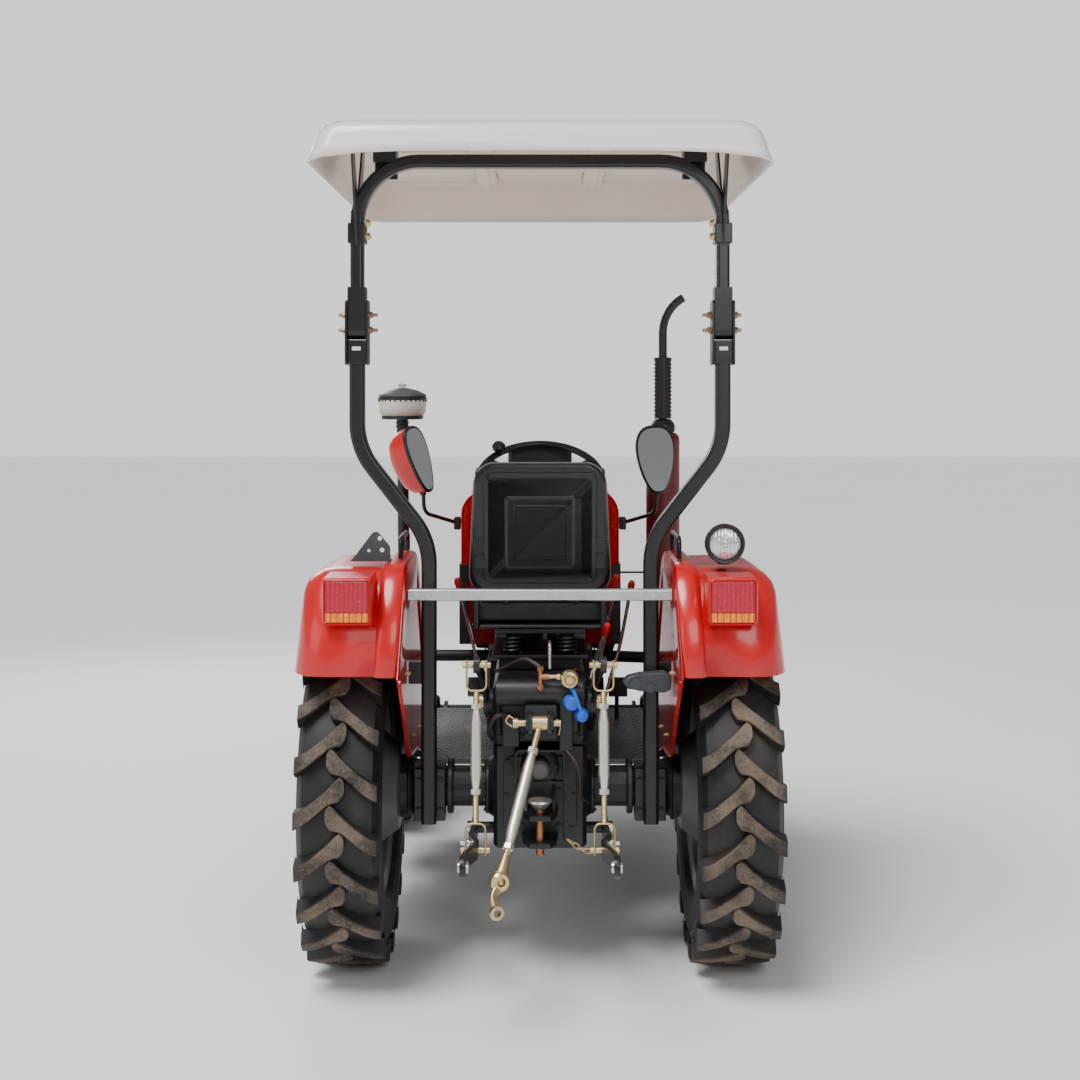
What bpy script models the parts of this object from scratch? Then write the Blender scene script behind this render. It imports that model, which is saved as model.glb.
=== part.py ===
"""Compact two-post-canopy farm tractor, as separate named sub-components.

Run with: blender --background --python part.py

Metres, +X to the tractor's right, +Y forward, +Z up.  Stations in this file are
measured from the point on the ground under the middle of the rear axle; an empty
named tractor then carries everything, so that the finished machine is centred
over the origin.  Each moving piece has its own origin on its joint's axis.
"""

import math

import bmesh
import bpy
from mathutils import Matrix, Vector

# ---------------------------------------------------------------- overall sizes
WHEELBASE = 1.62
REAR_REACH = 0.83  # rear axle back to the ends of the lower links
FRONT_REACH = WHEELBASE + 0.480  # rear axle forward to the front face of the weight bracket
OVERALL_HALF_WIDTH = 0.714  # outer edge of the fenders
GAP = 0.0003  # between two pieces that seat on each other

# ---------------------------------------------------------------- wheels
REAR_TRACK = 1.15
REAR_TYRE_RADIUS = 0.525
REAR_TYRE_WIDTH = 0.244
REAR_BEAD_RADIUS = 0.305
REAR_HUB_FACE = 0.430  # half the distance over the rear axle's hub flanges
REAR_HUB_RADIUS = 0.095
FRONT_TRACK = 1.22
FRONT_TYRE_RADIUS = 0.375
FRONT_TYRE_WIDTH = 0.165
FRONT_BEAD_RADIUS = 0.203
FRONT_HUB_FACE = 0.562
FRONT_HUB_RADIUS = 0.062
FLANGE_HEIGHT = 0.017  # rim flange above the bead seat
RIM_WALL = 0.010
WHEEL_STEPS = 28  # shared, so that tyre and rim seat facet to facet

# ---------------------------------------------------------------- drive line
AXLE_TUBE_RADIUS = 0.0625
HOUSING_HALF_WIDTH = 0.14
HOUSING_BACK = -0.19
HOUSING_FRONT = 0.19
HOUSING_BOTTOM = 0.38
HOUSING_TOP = 0.70
GEARBOX_HALF_WIDTH = 0.13
GEARBOX_TOP = 0.66
BELL_HALF_WIDTH = 0.19
BELL_LENGTH = 0.20
ENGINE_BACK = 0.95
ENGINE_FRONT = 1.48
ENGINE_HALF_WIDTH = 0.19
ENGINE_BOTTOM = 0.44
ENGINE_TOP = 1.12

# ---------------------------------------------------------------- front axle
FRAME_BOTTOM = 0.47
FRAME_TOP = 0.60
FRAME_RAIL = 0.015
FRAME_FRONT = FRONT_REACH - 0.080
BEAM_HEIGHT = 0.42
BEAM_RADIUS = 0.045
KINGPIN_X = 0.46
KINGPIN_RADIUS = 0.050
KINGPIN_BOTTOM = 0.365
KINGPIN_TOP = 0.490
STEER_ARM = 0.12  # kingpin axis back to the steering rod
ROD_HEIGHT = 0.285
ROD_RADIUS = 0.010
ROD_HALF_LENGTH = 0.435
RAM_RADIUS = 0.026
RAM_HALF_LENGTH = 0.12

# ---------------------------------------------------------------- platform and fenders
PLATE_TOP = 0.540
PLATE_THICKNESS = 0.018
PLATE_FRONT = 1.16
PLATE_BACK = 0.30
PLATE_STEP = 0.600  # the outer part of the floor starts here, in front of the tyre
PLATE_OUTER = 0.640
FENDER_INNER = 0.402
FENDER_TOP = 1.235
FENDER_WALL = 0.004
FENDER_TAIL = (-0.470, 0.935)
FENDER_FOOT = 0.645
FENDER_SHOULDER = 0.022
LAMP_SEAT = 0.0010  # level gap between a tail lamp and the sloping sheet
FOOT_GAP = 0.0009  # under the fender's slanting foot

# ---------------------------------------------------------------- roll-over frame and canopy
POST_WIDTH = 0.046
POST_BACK = -0.150
POST_FRONT = -0.0903
POST_LOWER_X = 0.337
POST_UPPER_X = 0.555
POST_FOOT = 0.44
BEND_START = 1.300
BEND_END = 1.580
BEND_RADIUS = 0.22
FOLD_HEIGHT = 1.938
FOLD_Y = -0.120
CHEEK_HALF = 0.035
CHEEK_WALL = 0.007
CHEEK_BOTTOM = 1.830
CHEEK_TOP = 2.030
HOOP_WIDTH = 0.040
HOOP_TOP = 2.455
HOOP_CORNER = 0.190
SLEEVE_BOTTOM = 2.200
SLEEVE_TOP = 2.330
CANOPY_BACK = -0.400
CANOPY_FRONT = 1.000
CANOPY_BACK_HALF = 0.682
CANOPY_FRONT_HALF = 0.645
CANOPY_TOP = 2.550
CANOPY_BACK_LIP = 2.425
CANOPY_FRONT_LIP = 2.387
CANOPY_WALL = 0.006
CANOPY_CORNER = 0.075
CROSSBAR_HEIGHT = 1.140
CROSSBAR_RADIUS = 0.0175
CROSSBAR_HALF = 0.395

# ---------------------------------------------------------------- seat
SEAT_HALF_WIDTH = 0.218
SEAT_BACK_TOP = 1.530
SEAT_TILT = math.radians(8.0)
SEAT_PAN_HEIGHT = 1.010
SEAT_PAN_FRONT = 0.400
SEAT_PAN_BACK = 0.000
CUSHION_THICKNESS = 0.080
BACK_THICKNESS = 0.075
SHELL_WALL = 0.016
DECK_TOP = 0.930
SPRING_RADIUS = 0.030

# ---------------------------------------------------------------- body
HOOD_HALF_WIDTH = 0.290
HOOD_NOSE_HALF = 0.255
HOOD_BACK = 1.000
HOOD_FRONT = FRAME_FRONT + 0.010
HOOD_BOTTOM = 0.840
HOOD_TOP = 1.400
HOOD_NOSE_TOP = 1.290
HOOD_CORNER = 0.090
HOOD_WALL = 0.004
COWL_BACK = 0.800
COWL_WALL = 0.012
TONGUE_REACH = 0.030  # the hinge tongue under the hood's rear edge
COWL_JOINT = 0.006  # open joint between the fixed cowl and the hood
GRILLE_HALF_WIDTH = 0.170
GRILLE_BOTTOM = 0.900
GRILLE_TOP = 1.150

# ---------------------------------------------------------------- steering wheel
WHEEL_CENTRE = (0.0, 0.50, 1.452)
WHEEL_TILT = math.radians(33.0)
WHEEL_RADIUS = 0.212
WHEEL_GRIP = 0.0125
COLUMN_RADIUS = 0.025
COLUMN_LENGTH = 0.24
CONSOLE_HALF_WIDTH = 0.160
CONSOLE_BACK = 0.600
CONSOLE_TOP = 1.500
BINNACLE_TOP = 1.565
BINNACLE_HALF_WIDTH = 0.115

# ---------------------------------------------------------------- engine pipes and mirrors
EXHAUST_X = 0.456
EXHAUST_Y = 0.960
MUFFLER_RADIUS = 0.0625
MUFFLER_BOTTOM = 0.900
MUFFLER_TOP = 1.600
SHIELD_RADIUS = 0.033
SHIELD_TOP = 1.910
TIP_RADIUS = 0.016
TIP_TOP = 2.115
PIPE_RADIUS = 0.022
PIPE_HEIGHT = 0.760
PIPE_Y = 1.050
CLEANER_X = -0.510
CLEANER_Y = 0.950
CLEANER_RADIUS = 0.092
CLEANER_BOTTOM = 1.650
CLEANER_TOP = 1.785
MIRROR_X = 0.420
MIRROR_Y = 0.740
MIRROR_HEIGHT = 1.510
MIRROR_HALF_WIDTH = 0.090
MIRROR_HALF_HEIGHT = 0.125
MIRROR_DEPTH = 0.045
MIRROR_TURN = {"left": math.radians(56.0), "right": math.radians(12.0)}  # about the rod
ARM_RADIUS = 0.008

# ---------------------------------------------------------------- three-point hitch
LIFT_SHAFT = (-0.170, 0.818)
LIFT_ARM_END = (-0.420, 0.970)
LIFT_ARM_X = 0.158
LIFT_ARM_WALL = 0.022
LINK_PIVOT = (-0.020, 0.400)
LINK_ROD_PIN = (-0.500, 0.465)
LINK_END = (-0.800, 0.505)
LINK_WALL = 0.018
LINK_DEPTH = 0.050
ROD_EYE = 0.022  # thickness of a lift rod's eye
ROD_CLEARANCE = 0.0008
TOP_PIN = (-0.350, 0.790)
TOP_LINK_END = (-0.640, 0.420)
TOP_LINK_LEAN = 0.110
LIFT_HOUSING_HALF = 0.140
LIFT_HOUSING_TOP = 0.880
PTO_HEIGHT = 0.630
PTO_RADIUS = 0.018
JAW_HEIGHTS = (0.420, 0.500)
JAW_WALL = 0.016

# The rear axle stands behind the middle, so that the machine is centred on Y = 0.
AXLE_Y = (REAR_REACH - FRONT_REACH) / 2

FINISHES = {
    "red_paint": ((0.52, 0.018, 0.018), 0.0, 0.35),
    "black_paint": ((0.018, 0.018, 0.020), 0.0, 0.45),
    "cast_grey": ((0.060, 0.062, 0.066), 0.3, 0.60),
    "rim_silver": ((0.56, 0.57, 0.58), 0.4, 0.40),
    "tyre_rubber": ((0.020, 0.019, 0.018), 0.0, 0.85),
    "canopy_white": ((0.80, 0.79, 0.74), 0.0, 0.40),
    "galvanised": ((0.58, 0.60, 0.61), 0.9, 0.38),
    "plated_gold": ((0.62, 0.48, 0.22), 0.9, 0.35),
    "black_plastic": ((0.022, 0.022, 0.023), 0.0, 0.55),
    "seat_vinyl": ((0.020, 0.020, 0.021), 0.0, 0.50),
    "lamp_red": ((0.62, 0.010, 0.030), 0.0, 0.15),
    "lamp_clear": ((0.75, 0.77, 0.78), 0.0, 0.10),
    "grey_plastic": ((0.42, 0.41, 0.38), 0.0, 0.50),
    "mirror_red": ((0.45, 0.020, 0.020), 0.0, 0.35),
}


# ================================================================ helpers
def clear_scene():
    for obj in list(bpy.data.objects):
        bpy.data.objects.remove(obj, do_unlink=True)


def new_collection(name):
    collection = bpy.data.collections.new(name)
    bpy.context.scene.collection.children.link(collection)
    return collection


clear_scene()
PARTS = new_collection("farm_tractor")
CUTTERS = new_collection("cutters")
TRACTOR = bpy.data.objects.new("tractor", None)
PARTS.objects.link(TRACTOR)
TRACTOR.location = (0.0, AXLE_Y, 0.0)


def finish_material(name):
    found = bpy.data.materials.get(name)
    if found:
        return found
    colour, metallic, roughness = FINISHES[name]
    made = bpy.data.materials.new(name)
    made.use_nodes = True
    shader = made.node_tree.nodes["Principled BSDF"]
    shader.inputs["Base Color"].default_value = (*colour, 1.0)
    shader.inputs["Metallic"].default_value = metallic
    shader.inputs["Roughness"].default_value = roughness
    return made


def place(bm, name, finish, origin=(0.0, 0.0, 0.0)):
    """Makes an object of a bmesh drawn at tractor stations, with its origin where asked."""
    bmesh.ops.recalc_face_normals(bm, faces=bm.faces[:])
    bmesh.ops.translate(bm, verts=bm.verts[:], vec=-Vector(origin))
    mesh = bpy.data.meshes.new(name)
    bm.to_mesh(mesh)
    bm.free()
    mesh.materials.append(finish_material(finish))
    mesh.shade_smooth()
    mesh.set_sharp_from_angle(angle=math.radians(35.0))
    obj = bpy.data.objects.new(name, mesh)
    PARTS.objects.link(obj)
    obj.parent = TRACTOR
    obj.location = origin
    return obj


def box_mesh(low, high, bevel=0.0, segments=1):
    """A bmesh box between two corners, with its edges rounded."""
    size = Vector(high) - Vector(low)
    middle = (Vector(high) + Vector(low)) / 2
    matrix = Matrix.Translation(middle) @ Matrix.Diagonal((*size, 1.0))
    bm = bmesh.new()
    bmesh.ops.create_cube(bm, size=1.0, matrix=matrix)
    if bevel:
        bmesh.ops.bevel(bm, geom=bm.edges[:], offset=bevel, segments=segments, profile=0.5, affect="EDGES")
    return bm


def add_cylinder(bm, start, end, radius, steps=16, end_radius=None):
    """Adds a closed cylinder or cone between two points."""
    start, end = Vector(start), Vector(end)
    along = end - start
    turn = Vector((0, 0, 1)).rotation_difference(along).to_matrix().to_4x4()
    matrix = Matrix.Translation((start + end) / 2) @ turn
    top = radius if end_radius is None else end_radius
    bmesh.ops.create_cone(
        bm, cap_ends=True, segments=steps, radius1=radius, radius2=top, depth=along.length, matrix=matrix
    )


def cylinder_mesh(start, end, radius, steps=16, end_radius=None):
    bm = bmesh.new()
    add_cylinder(bm, start, end, radius, steps, end_radius)
    return bm


def rounded(corners, steps=4):
    """Turns (a, b, radius) corners into points, each corner with a radius drawn as an arc."""
    points = []
    last = len(corners) - 1
    for index, (a, b, radius) in enumerate(corners):
        here = Vector((a, b))
        if radius <= 0.0:
            points.append((a, b))
            continue
        before = Vector(corners[index - 1][:2]) - here
        after = Vector(corners[0 if index == last else index + 1][:2]) - here
        half = before.angle(after) / 2
        cut = radius / math.tan(half)
        centre = here + (before.normalized() + after.normalized()).normalized() * (radius / math.sin(half))
        first = here + before.normalized() * cut - centre
        second = here + after.normalized() * cut - centre
        sweep = math.pi - 2 * half
        turn = 1.0 if first.x * second.y - first.y * second.x > 0 else -1.0
        for step in range(steps + 1):
            angle = turn * sweep * step / steps
            points.append(
                (
                    centre.x + first.x * math.cos(angle) - first.y * math.sin(angle),
                    centre.y + first.x * math.sin(angle) + first.y * math.cos(angle),
                )
            )
    return points


def band(path, width):
    """The closed outline of a strip of one width along an open path."""
    left, right = [], []
    for index, point in enumerate(path):
        here = Vector(point)
        before = (here - Vector(path[index - 1])).normalized() if index else None
        after = (Vector(path[index + 1]) - here).normalized() if index < len(path) - 1 else None
        ahead = ((before or after) + (after or before)).normalized()
        side = Vector((-ahead.y, ahead.x))
        reach = width / 2 / max(0.2, side.dot(Vector((-(after or before).y, (after or before).x))))
        left.append(here + side * reach)
        right.append(here - side * reach)
    return [tuple(p) for p in left + right[::-1]]


AXES = {"X": (1, 2, 0), "Y": (0, 2, 1), "Z": (0, 1, 2)}


def add_plate(bm, outline, axis, start, end):
    """Adds an outline pulled along one axis: (y, z) along X, (x, z) along Y or (x, y) along Z."""
    first, second, along = AXES[axis]
    corners = []
    for a, b in outline:
        point = [0.0, 0.0, 0.0]
        point[first], point[second], point[along] = a, b, start
        corners.append(bm.verts.new(point))
    face = bm.faces.new(corners)
    pulled = bmesh.ops.extrude_face_region(bm, geom=[face])
    shift = [0.0, 0.0, 0.0]
    shift[along] = end - start
    moved = [item for item in pulled["geom"] if isinstance(item, bmesh.types.BMVert)]
    bmesh.ops.translate(bm, verts=moved, vec=shift)


def plate_mesh(outline, axis, start, end):
    bm = bmesh.new()
    add_plate(bm, outline, axis, start, end)
    return bm


def soften(obj, width, segments=2, angle=40.0):
    bevel = obj.modifiers.new("rounded_edges", "BEVEL")
    bevel.width = width
    bevel.segments = segments
    bevel.limit_method = "ANGLE"
    bevel.angle_limit = math.radians(angle)
    return obj


def helper(bm, name):
    """An object that only cuts or joins another one."""
    obj = place(bm, name, "cast_grey")
    PARTS.objects.unlink(obj)
    CUTTERS.objects.link(obj)
    obj.hide_render = True
    obj.display_type = "WIRE"
    return obj


def combine(obj, bm, operation, label):
    modifier = obj.modifiers.new(label, "BOOLEAN")
    modifier.operation = operation
    modifier.object = helper(bm, obj.name + "_" + label)
    return obj


def join(obj, *meshes):
    for number, bm in enumerate(meshes):
        combine(obj, bm, "UNION", "join_%d" % number)
    return obj


def cut(obj, *meshes):
    for number, bm in enumerate(meshes):
        combine(obj, bm, "DIFFERENCE", "cut_%d" % number)
    return obj


def turned_mesh(profile, centre, direction, steps):
    """A bmesh spun from (radius, along) points about an axis through centre."""
    bm = bmesh.new()
    corners = [bm.verts.new((radius, 0.0, along)) for radius, along in profile]
    edges = [bm.edges.new(pair) for pair in zip(corners, corners[1:])]
    if profile[0][0] > 0.0:
        edges.append(bm.edges.new((corners[-1], corners[0])))
    around = {"axis": (0, 0, 1), "cent": (0, 0, 0), "angle": math.tau}
    bmesh.ops.spin(bm, geom=corners + edges, steps=steps, use_merge=True, **around)
    bmesh.ops.remove_doubles(bm, verts=bm.verts[:], dist=1e-6)
    turn = Vector((0, 0, 1)).rotation_difference(Vector(direction)).to_matrix().to_4x4()
    bmesh.ops.transform(bm, matrix=Matrix.Translation(centre) @ turn, verts=bm.verts[:])
    return bm


def turned(name, finish, profile, centre, direction, steps):
    """A turned piece: a profile of (radius, along) points with a Screw modifier."""
    mesh = bpy.data.meshes.new(name)
    bm = bmesh.new()
    corners = [bm.verts.new((radius, 0.0, along)) for radius, along in profile]
    for pair in zip(corners, corners[1:]):
        bm.edges.new(pair)
    if profile[0][0] > 0.0:
        bm.edges.new((corners[-1], corners[0]))
    bm.to_mesh(mesh)
    bm.free()
    mesh.materials.append(finish_material(finish))
    obj = bpy.data.objects.new(name, mesh)
    PARTS.objects.link(obj)
    obj.parent = TRACTOR
    obj.location = centre
    obj.rotation_mode = "QUATERNION"
    obj.rotation_quaternion = Vector((0, 0, 1)).rotation_difference(Vector(direction))
    screw = obj.modifiers.new("turned", "SCREW")
    screw.axis = "Z"
    screw.steps = steps
    screw.render_steps = steps
    screw.use_merge_vertices = True
    screw.merge_threshold = 0.0001
    screw.use_smooth_shade = True
    return obj


def tube(name, finish, points, radius, resolution=2, origin=(0.0, 0.0, 0.0)):
    """A round bar or pipe along a line of points."""
    curve = bpy.data.curves.new(name, "CURVE")
    curve.dimensions = "3D"
    curve.bevel_depth = radius
    curve.bevel_resolution = resolution
    curve.use_fill_caps = True
    spline = curve.splines.new("POLY")
    spline.points.add(len(points) - 1)
    for knot, point in zip(spline.points, points):
        knot.co = (*(Vector(point) - Vector(origin)), 1.0)
    curve.materials.append(finish_material(finish))
    obj = bpy.data.objects.new(name, curve)
    PARTS.objects.link(obj)
    obj.parent = TRACTOR
    obj.location = origin
    return obj


def tube_mesh(points, radius, resolution=2):
    """The closed mesh of a tube, for joining to another piece."""
    guide = tube("guide", "cast_grey", points, radius, resolution)
    guide.parent = None
    bpy.context.view_layer.update()
    evaluated = guide.evaluated_get(bpy.context.evaluated_depsgraph_get())
    mesh = bpy.data.meshes.new_from_object(evaluated)
    bm = bmesh.new()
    bm.from_mesh(mesh)
    bmesh.ops.remove_doubles(bm, verts=bm.verts[:], dist=1e-6)
    bpy.data.objects.remove(guide, do_unlink=True)
    bpy.data.meshes.remove(mesh)
    return bm


def bend(start, corner, end, radius, steps=5):
    """Points of a pipe that turns from start to end round a corner in space."""
    start, corner, end = Vector(start), Vector(corner), Vector(end)
    back = (start - corner).normalized()
    on = (end - corner).normalized()
    half = back.angle(on) / 2
    cut_back = radius / math.tan(half)
    centre = corner + (back + on).normalized() * (radius / math.sin(half))
    first = corner + back * cut_back - centre
    axis = first.cross(corner + on * cut_back - centre)
    sweep = math.pi - 2 * half
    arc = [centre + Matrix.Rotation(sweep * step / steps, 3, axis) @ first for step in range(steps + 1)]
    return [start, *arc, end]


def mirrored_x(side, low, high):
    """Corners of a box on one side: the x of low and high are distances from the middle."""
    x = sorted((side * low[0], side * high[0]))
    return (x[0], low[1], low[2]), (x[1], high[1], high[2])


def side_box(side, low, high, bevel=0.0):
    return box_mesh(*mirrored_x(side, low, high), bevel)


SIDES = (("left", -1), ("right", 1))


def link_inner():
    """Inner face of a lower link: outside the lift arm and the lift rod's eye."""
    return LIFT_ARM_X + LIFT_ARM_WALL / 2 + 2 * ROD_CLEARANCE + ROD_EYE


# ================================================================ drive line
def make_rear_axle_housing():
    housing = place(
        box_mesh(
            (-HOUSING_HALF_WIDTH, HOUSING_BACK, HOUSING_BOTTOM),
            (HOUSING_HALF_WIDTH, HOUSING_FRONT, HOUSING_TOP),
            0.012,
        ),
        "rear_axle_housing",
        "cast_grey",
    )
    height = REAR_TYRE_RADIUS
    pieces = [cylinder_mesh((-REAR_HUB_FACE, 0, height), (REAR_HUB_FACE, 0, height), AXLE_TUBE_RADIUS, 20)]
    for _, side in SIDES:
        face = side * REAR_HUB_FACE
        pieces.append(cylinder_mesh((face - side * 0.022, 0, height), (face, 0, height), REAR_HUB_RADIUS, 20))
        pin = (side * (link_inner() - GAP), *LINK_PIVOT)
        pieces.append(cylinder_mesh((side * (HOUSING_HALF_WIDTH - 0.01), *LINK_PIVOT), pin, 0.018, 12))
        pad_low = (POST_LOWER_X - 0.047, POST_FRONT + GAP, POST_FOOT)
        pieces.append(side_box(side, pad_low, (POST_LOWER_X + 0.047, -0.030, 0.610)))
    return join(housing, *pieces)


def make_transmission_housing():
    bell_back = ENGINE_BACK - BELL_LENGTH
    gearbox = place(
        box_mesh(
            (-GEARBOX_HALF_WIDTH, HOUSING_FRONT + GAP, HOUSING_BOTTOM + 0.01),
            (GEARBOX_HALF_WIDTH, ENGINE_BACK - GAP, GEARBOX_TOP),
            0.010,
        ),
        "transmission_housing",
        "cast_grey",
    )
    bell = box_mesh(
        (-BELL_HALF_WIDTH, bell_back, HOUSING_BOTTOM), (BELL_HALF_WIDTH, ENGINE_BACK - GAP, 0.800), 0.010
    )
    return join(gearbox, bell)


def make_engine_block():
    low = (-ENGINE_HALF_WIDTH, ENGINE_BACK, ENGINE_BOTTOM)
    high = (ENGINE_HALF_WIDTH, ENGINE_FRONT, ENGINE_TOP)
    return place(box_mesh(low, high, 0.015), "engine_block", "cast_grey")


def make_front_frame():
    rail_x = ENGINE_HALF_WIDTH + GAP
    outer = rail_x + FRAME_RAIL
    frame = place(
        box_mesh((-outer, ENGINE_FRONT + 0.010, FRAME_BOTTOM), (outer, FRAME_FRONT, FRAME_TOP)),
        "front_frame",
        "black_paint",
    )
    pieces = []
    for _, side in SIDES:
        low = (rail_x, ENGINE_BACK + 0.050, FRAME_BOTTOM)
        pieces.append(side_box(side, low, (outer, ENGINE_FRONT + 0.020, FRAME_TOP)))
    for lug in (WHEELBASE - 0.115, WHEELBASE + 0.095):
        low = (-0.060, lug, BEAM_HEIGHT - 0.050)
        pieces.append(box_mesh(low, (0.060, lug + 0.020, FRAME_BOTTOM + 0.010)))
    return join(frame, *pieces)


def make_weight_bracket():
    outline = rounded(
        [(-0.210, 0.455, 0.02), (0.210, 0.455, 0.02), (0.210, 0.615, 0.02), (-0.210, 0.615, 0.02)], 3
    )
    plate = plate_mesh(outline, "Y", FRAME_FRONT + GAP, FRAME_FRONT + 0.016)
    bracket = place(plate, "front_weight_bracket", "black_paint")
    hook = box_mesh((-0.160, FRAME_FRONT + 0.010, 0.480), (0.160, FRONT_REACH, 0.500))
    upright = box_mesh((-0.160, FRONT_REACH - 0.018, 0.480), (0.160, FRONT_REACH, 0.560))
    return join(bracket, hook, upright)


def make_radiator():
    low = (-0.215, ENGINE_FRONT + 0.060, FRAME_TOP + GAP)
    return place(box_mesh(low, (0.215, ENGINE_FRONT + 0.140, 1.170), 0.008), "radiator", "black_paint")


# ================================================================ wheels
def tyre_profile(bead, outer, width):
    """Half a tyre's section and its mirror image, closed through the bead."""
    half = width / 2
    seat = half - 0.034
    lip = bead + FLANGE_HEIGHT
    height = outer - lip
    side = [
        (bead + GAP, seat - GAP),
        (lip + 0.004, seat - GAP),
        (lip + 0.30 * height, half - 0.003),
        (lip + 0.66 * height, half),
        (outer - 0.004, half - 0.020),
    ]
    crown = [(outer, half * 0.35), (outer, -half * 0.35)]
    return side + crown + [(radius, -along) for radius, along in reversed(side)]


def rim_profile(bead, width, hub_face, hub_radius):
    """A dished disc wheel from its outer hub face round the barrel to its inner hub face."""
    seat = width / 2 - 0.034
    flange = bead + FLANGE_HEIGHT
    wall = RIM_WALL
    outer_disc = hub_face + 0.020
    return [
        (0.0, outer_disc),
        (hub_radius + 0.010, outer_disc),
        (bead * 0.70, -0.022),
        (bead - wall - 0.022, -0.010),
        (bead - wall - 0.012, seat - 0.006),
        (flange, seat + 0.009),
        (flange, seat + GAP),
        (bead, seat + GAP),
        (bead - 0.012, seat - 0.024),
        (bead - 0.012, -seat + 0.024),
        (bead, -seat - GAP),
        (flange, -seat - GAP),
        (flange, -seat - 0.009),
        (bead - wall - 0.012, -seat + 0.006),
        (bead - wall - 0.022, -0.026),
        (bead * 0.70, -0.040),
        (hub_radius + 0.022, hub_face),
        (0.0, hub_face),
    ]


def make_wheel(where, side, y, track, sizes):
    """A tyre and its rim, spun about the wheel's own centre."""
    outer, width, bead, hub_face, hub_radius = sizes
    label, name = where
    centre = (side * track / 2, y, outer)
    out = (side, 0.0, 0.0)
    face = hub_face - track / 2 + GAP
    sections = (
        ("tyre", "tyre_rubber", tyre_profile(bead, outer, width)),
        ("rim", "rim_silver", rim_profile(bead, width, face, hub_radius)),
    )
    for piece, finish, profile in sections:
        turned(label + "_" + piece + "_" + name, finish, profile, centre, out, WHEEL_STEPS)


REAR_SIZES = (REAR_TYRE_RADIUS, REAR_TYRE_WIDTH, REAR_BEAD_RADIUS, REAR_HUB_FACE, REAR_HUB_RADIUS)
FRONT_SIZES = (FRONT_TYRE_RADIUS, FRONT_TYRE_WIDTH, FRONT_BEAD_RADIUS, FRONT_HUB_FACE, FRONT_HUB_RADIUS)


# ================================================================ front axle
def make_front_axle_beam():
    y = WHEELBASE
    low = (-0.085, y - 0.090, BEAM_HEIGHT - 0.120)
    casing = box_mesh(low, (0.085, y + 0.090, FRAME_BOTTOM - 0.004), 0.020)
    beam = place(casing, "front_axle_beam", "cast_grey")
    pieces = [cylinder_mesh((-KINGPIN_X, y, BEAM_HEIGHT), (KINGPIN_X, y, BEAM_HEIGHT), BEAM_RADIUS)]
    for _, side in SIDES:
        x = side * KINGPIN_X
        pieces.append(cylinder_mesh((x, y, KINGPIN_BOTTOM), (x, y, KINGPIN_TOP), KINGPIN_RADIUS))
    pivot_half = 0.095 - GAP
    pieces.append(cylinder_mesh((0, y - pivot_half, BEAM_HEIGHT), (0, y + pivot_half, BEAM_HEIGHT), 0.024))
    ram_y = y - STEER_ARM
    hanger = (-0.030, ram_y - 0.012, ROD_HEIGHT + RAM_RADIUS - 0.008)
    pieces.append(box_mesh(hanger, (0.030, y - 0.060, BEAM_HEIGHT - 0.090)))
    pieces.append(
        cylinder_mesh((-RAM_HALF_LENGTH, ram_y, ROD_HEIGHT), (RAM_HALF_LENGTH, ram_y, ROD_HEIGHT), RAM_RADIUS)
    )
    join(beam, *pieces)
    reach = RAM_HALF_LENGTH + 0.010
    bore = cylinder_mesh((-reach, ram_y, ROD_HEIGHT), (reach, ram_y, ROD_HEIGHT), ROD_RADIUS + 0.001)
    return cut(beam, bore)


def make_steering_rod():
    y = WHEELBASE - STEER_ARM
    rod = cylinder_mesh((-ROD_HALF_LENGTH, y, ROD_HEIGHT), (ROD_HALF_LENGTH, y, ROD_HEIGHT), ROD_RADIUS)
    return place(rod, "steering_rod", "galvanised", (0.0, y, ROD_HEIGHT))


def make_knuckle(name, side):
    """The portal case below the kingpin, its hub and its steering arm."""
    y = WHEELBASE
    hub = FRONT_TYRE_RADIUS
    low = (KINGPIN_X - 0.045, y - 0.045, 0.255)
    high = (FRONT_HUB_FACE - 0.010, y + 0.045, KINGPIN_BOTTOM - GAP)
    pivot = (side * KINGPIN_X, y, 0.31)
    knuckle = place(side_box(side, low, high, 0.012), "knuckle_" + name, "cast_grey", pivot)
    inner = side * (KINGPIN_X + KINGPIN_RADIUS + 0.006)
    outer = side * (FRONT_HUB_FACE - 0.012)
    case = cylinder_mesh((inner, y, hub), (outer, y, hub), 0.070)
    flange = cylinder_mesh((outer, y, hub), (side * FRONT_HUB_FACE, y, hub), FRONT_HUB_RADIUS)
    arm_top = ROD_HEIGHT + ROD_RADIUS + 0.018
    arm_low = (KINGPIN_X - 0.045, y - STEER_ARM - 0.020, ROD_HEIGHT + ROD_RADIUS + GAP)
    arm = side_box(side, arm_low, (KINGPIN_X - 0.005, y - 0.030, arm_top))
    return join(knuckle, case, flange, arm)


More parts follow.
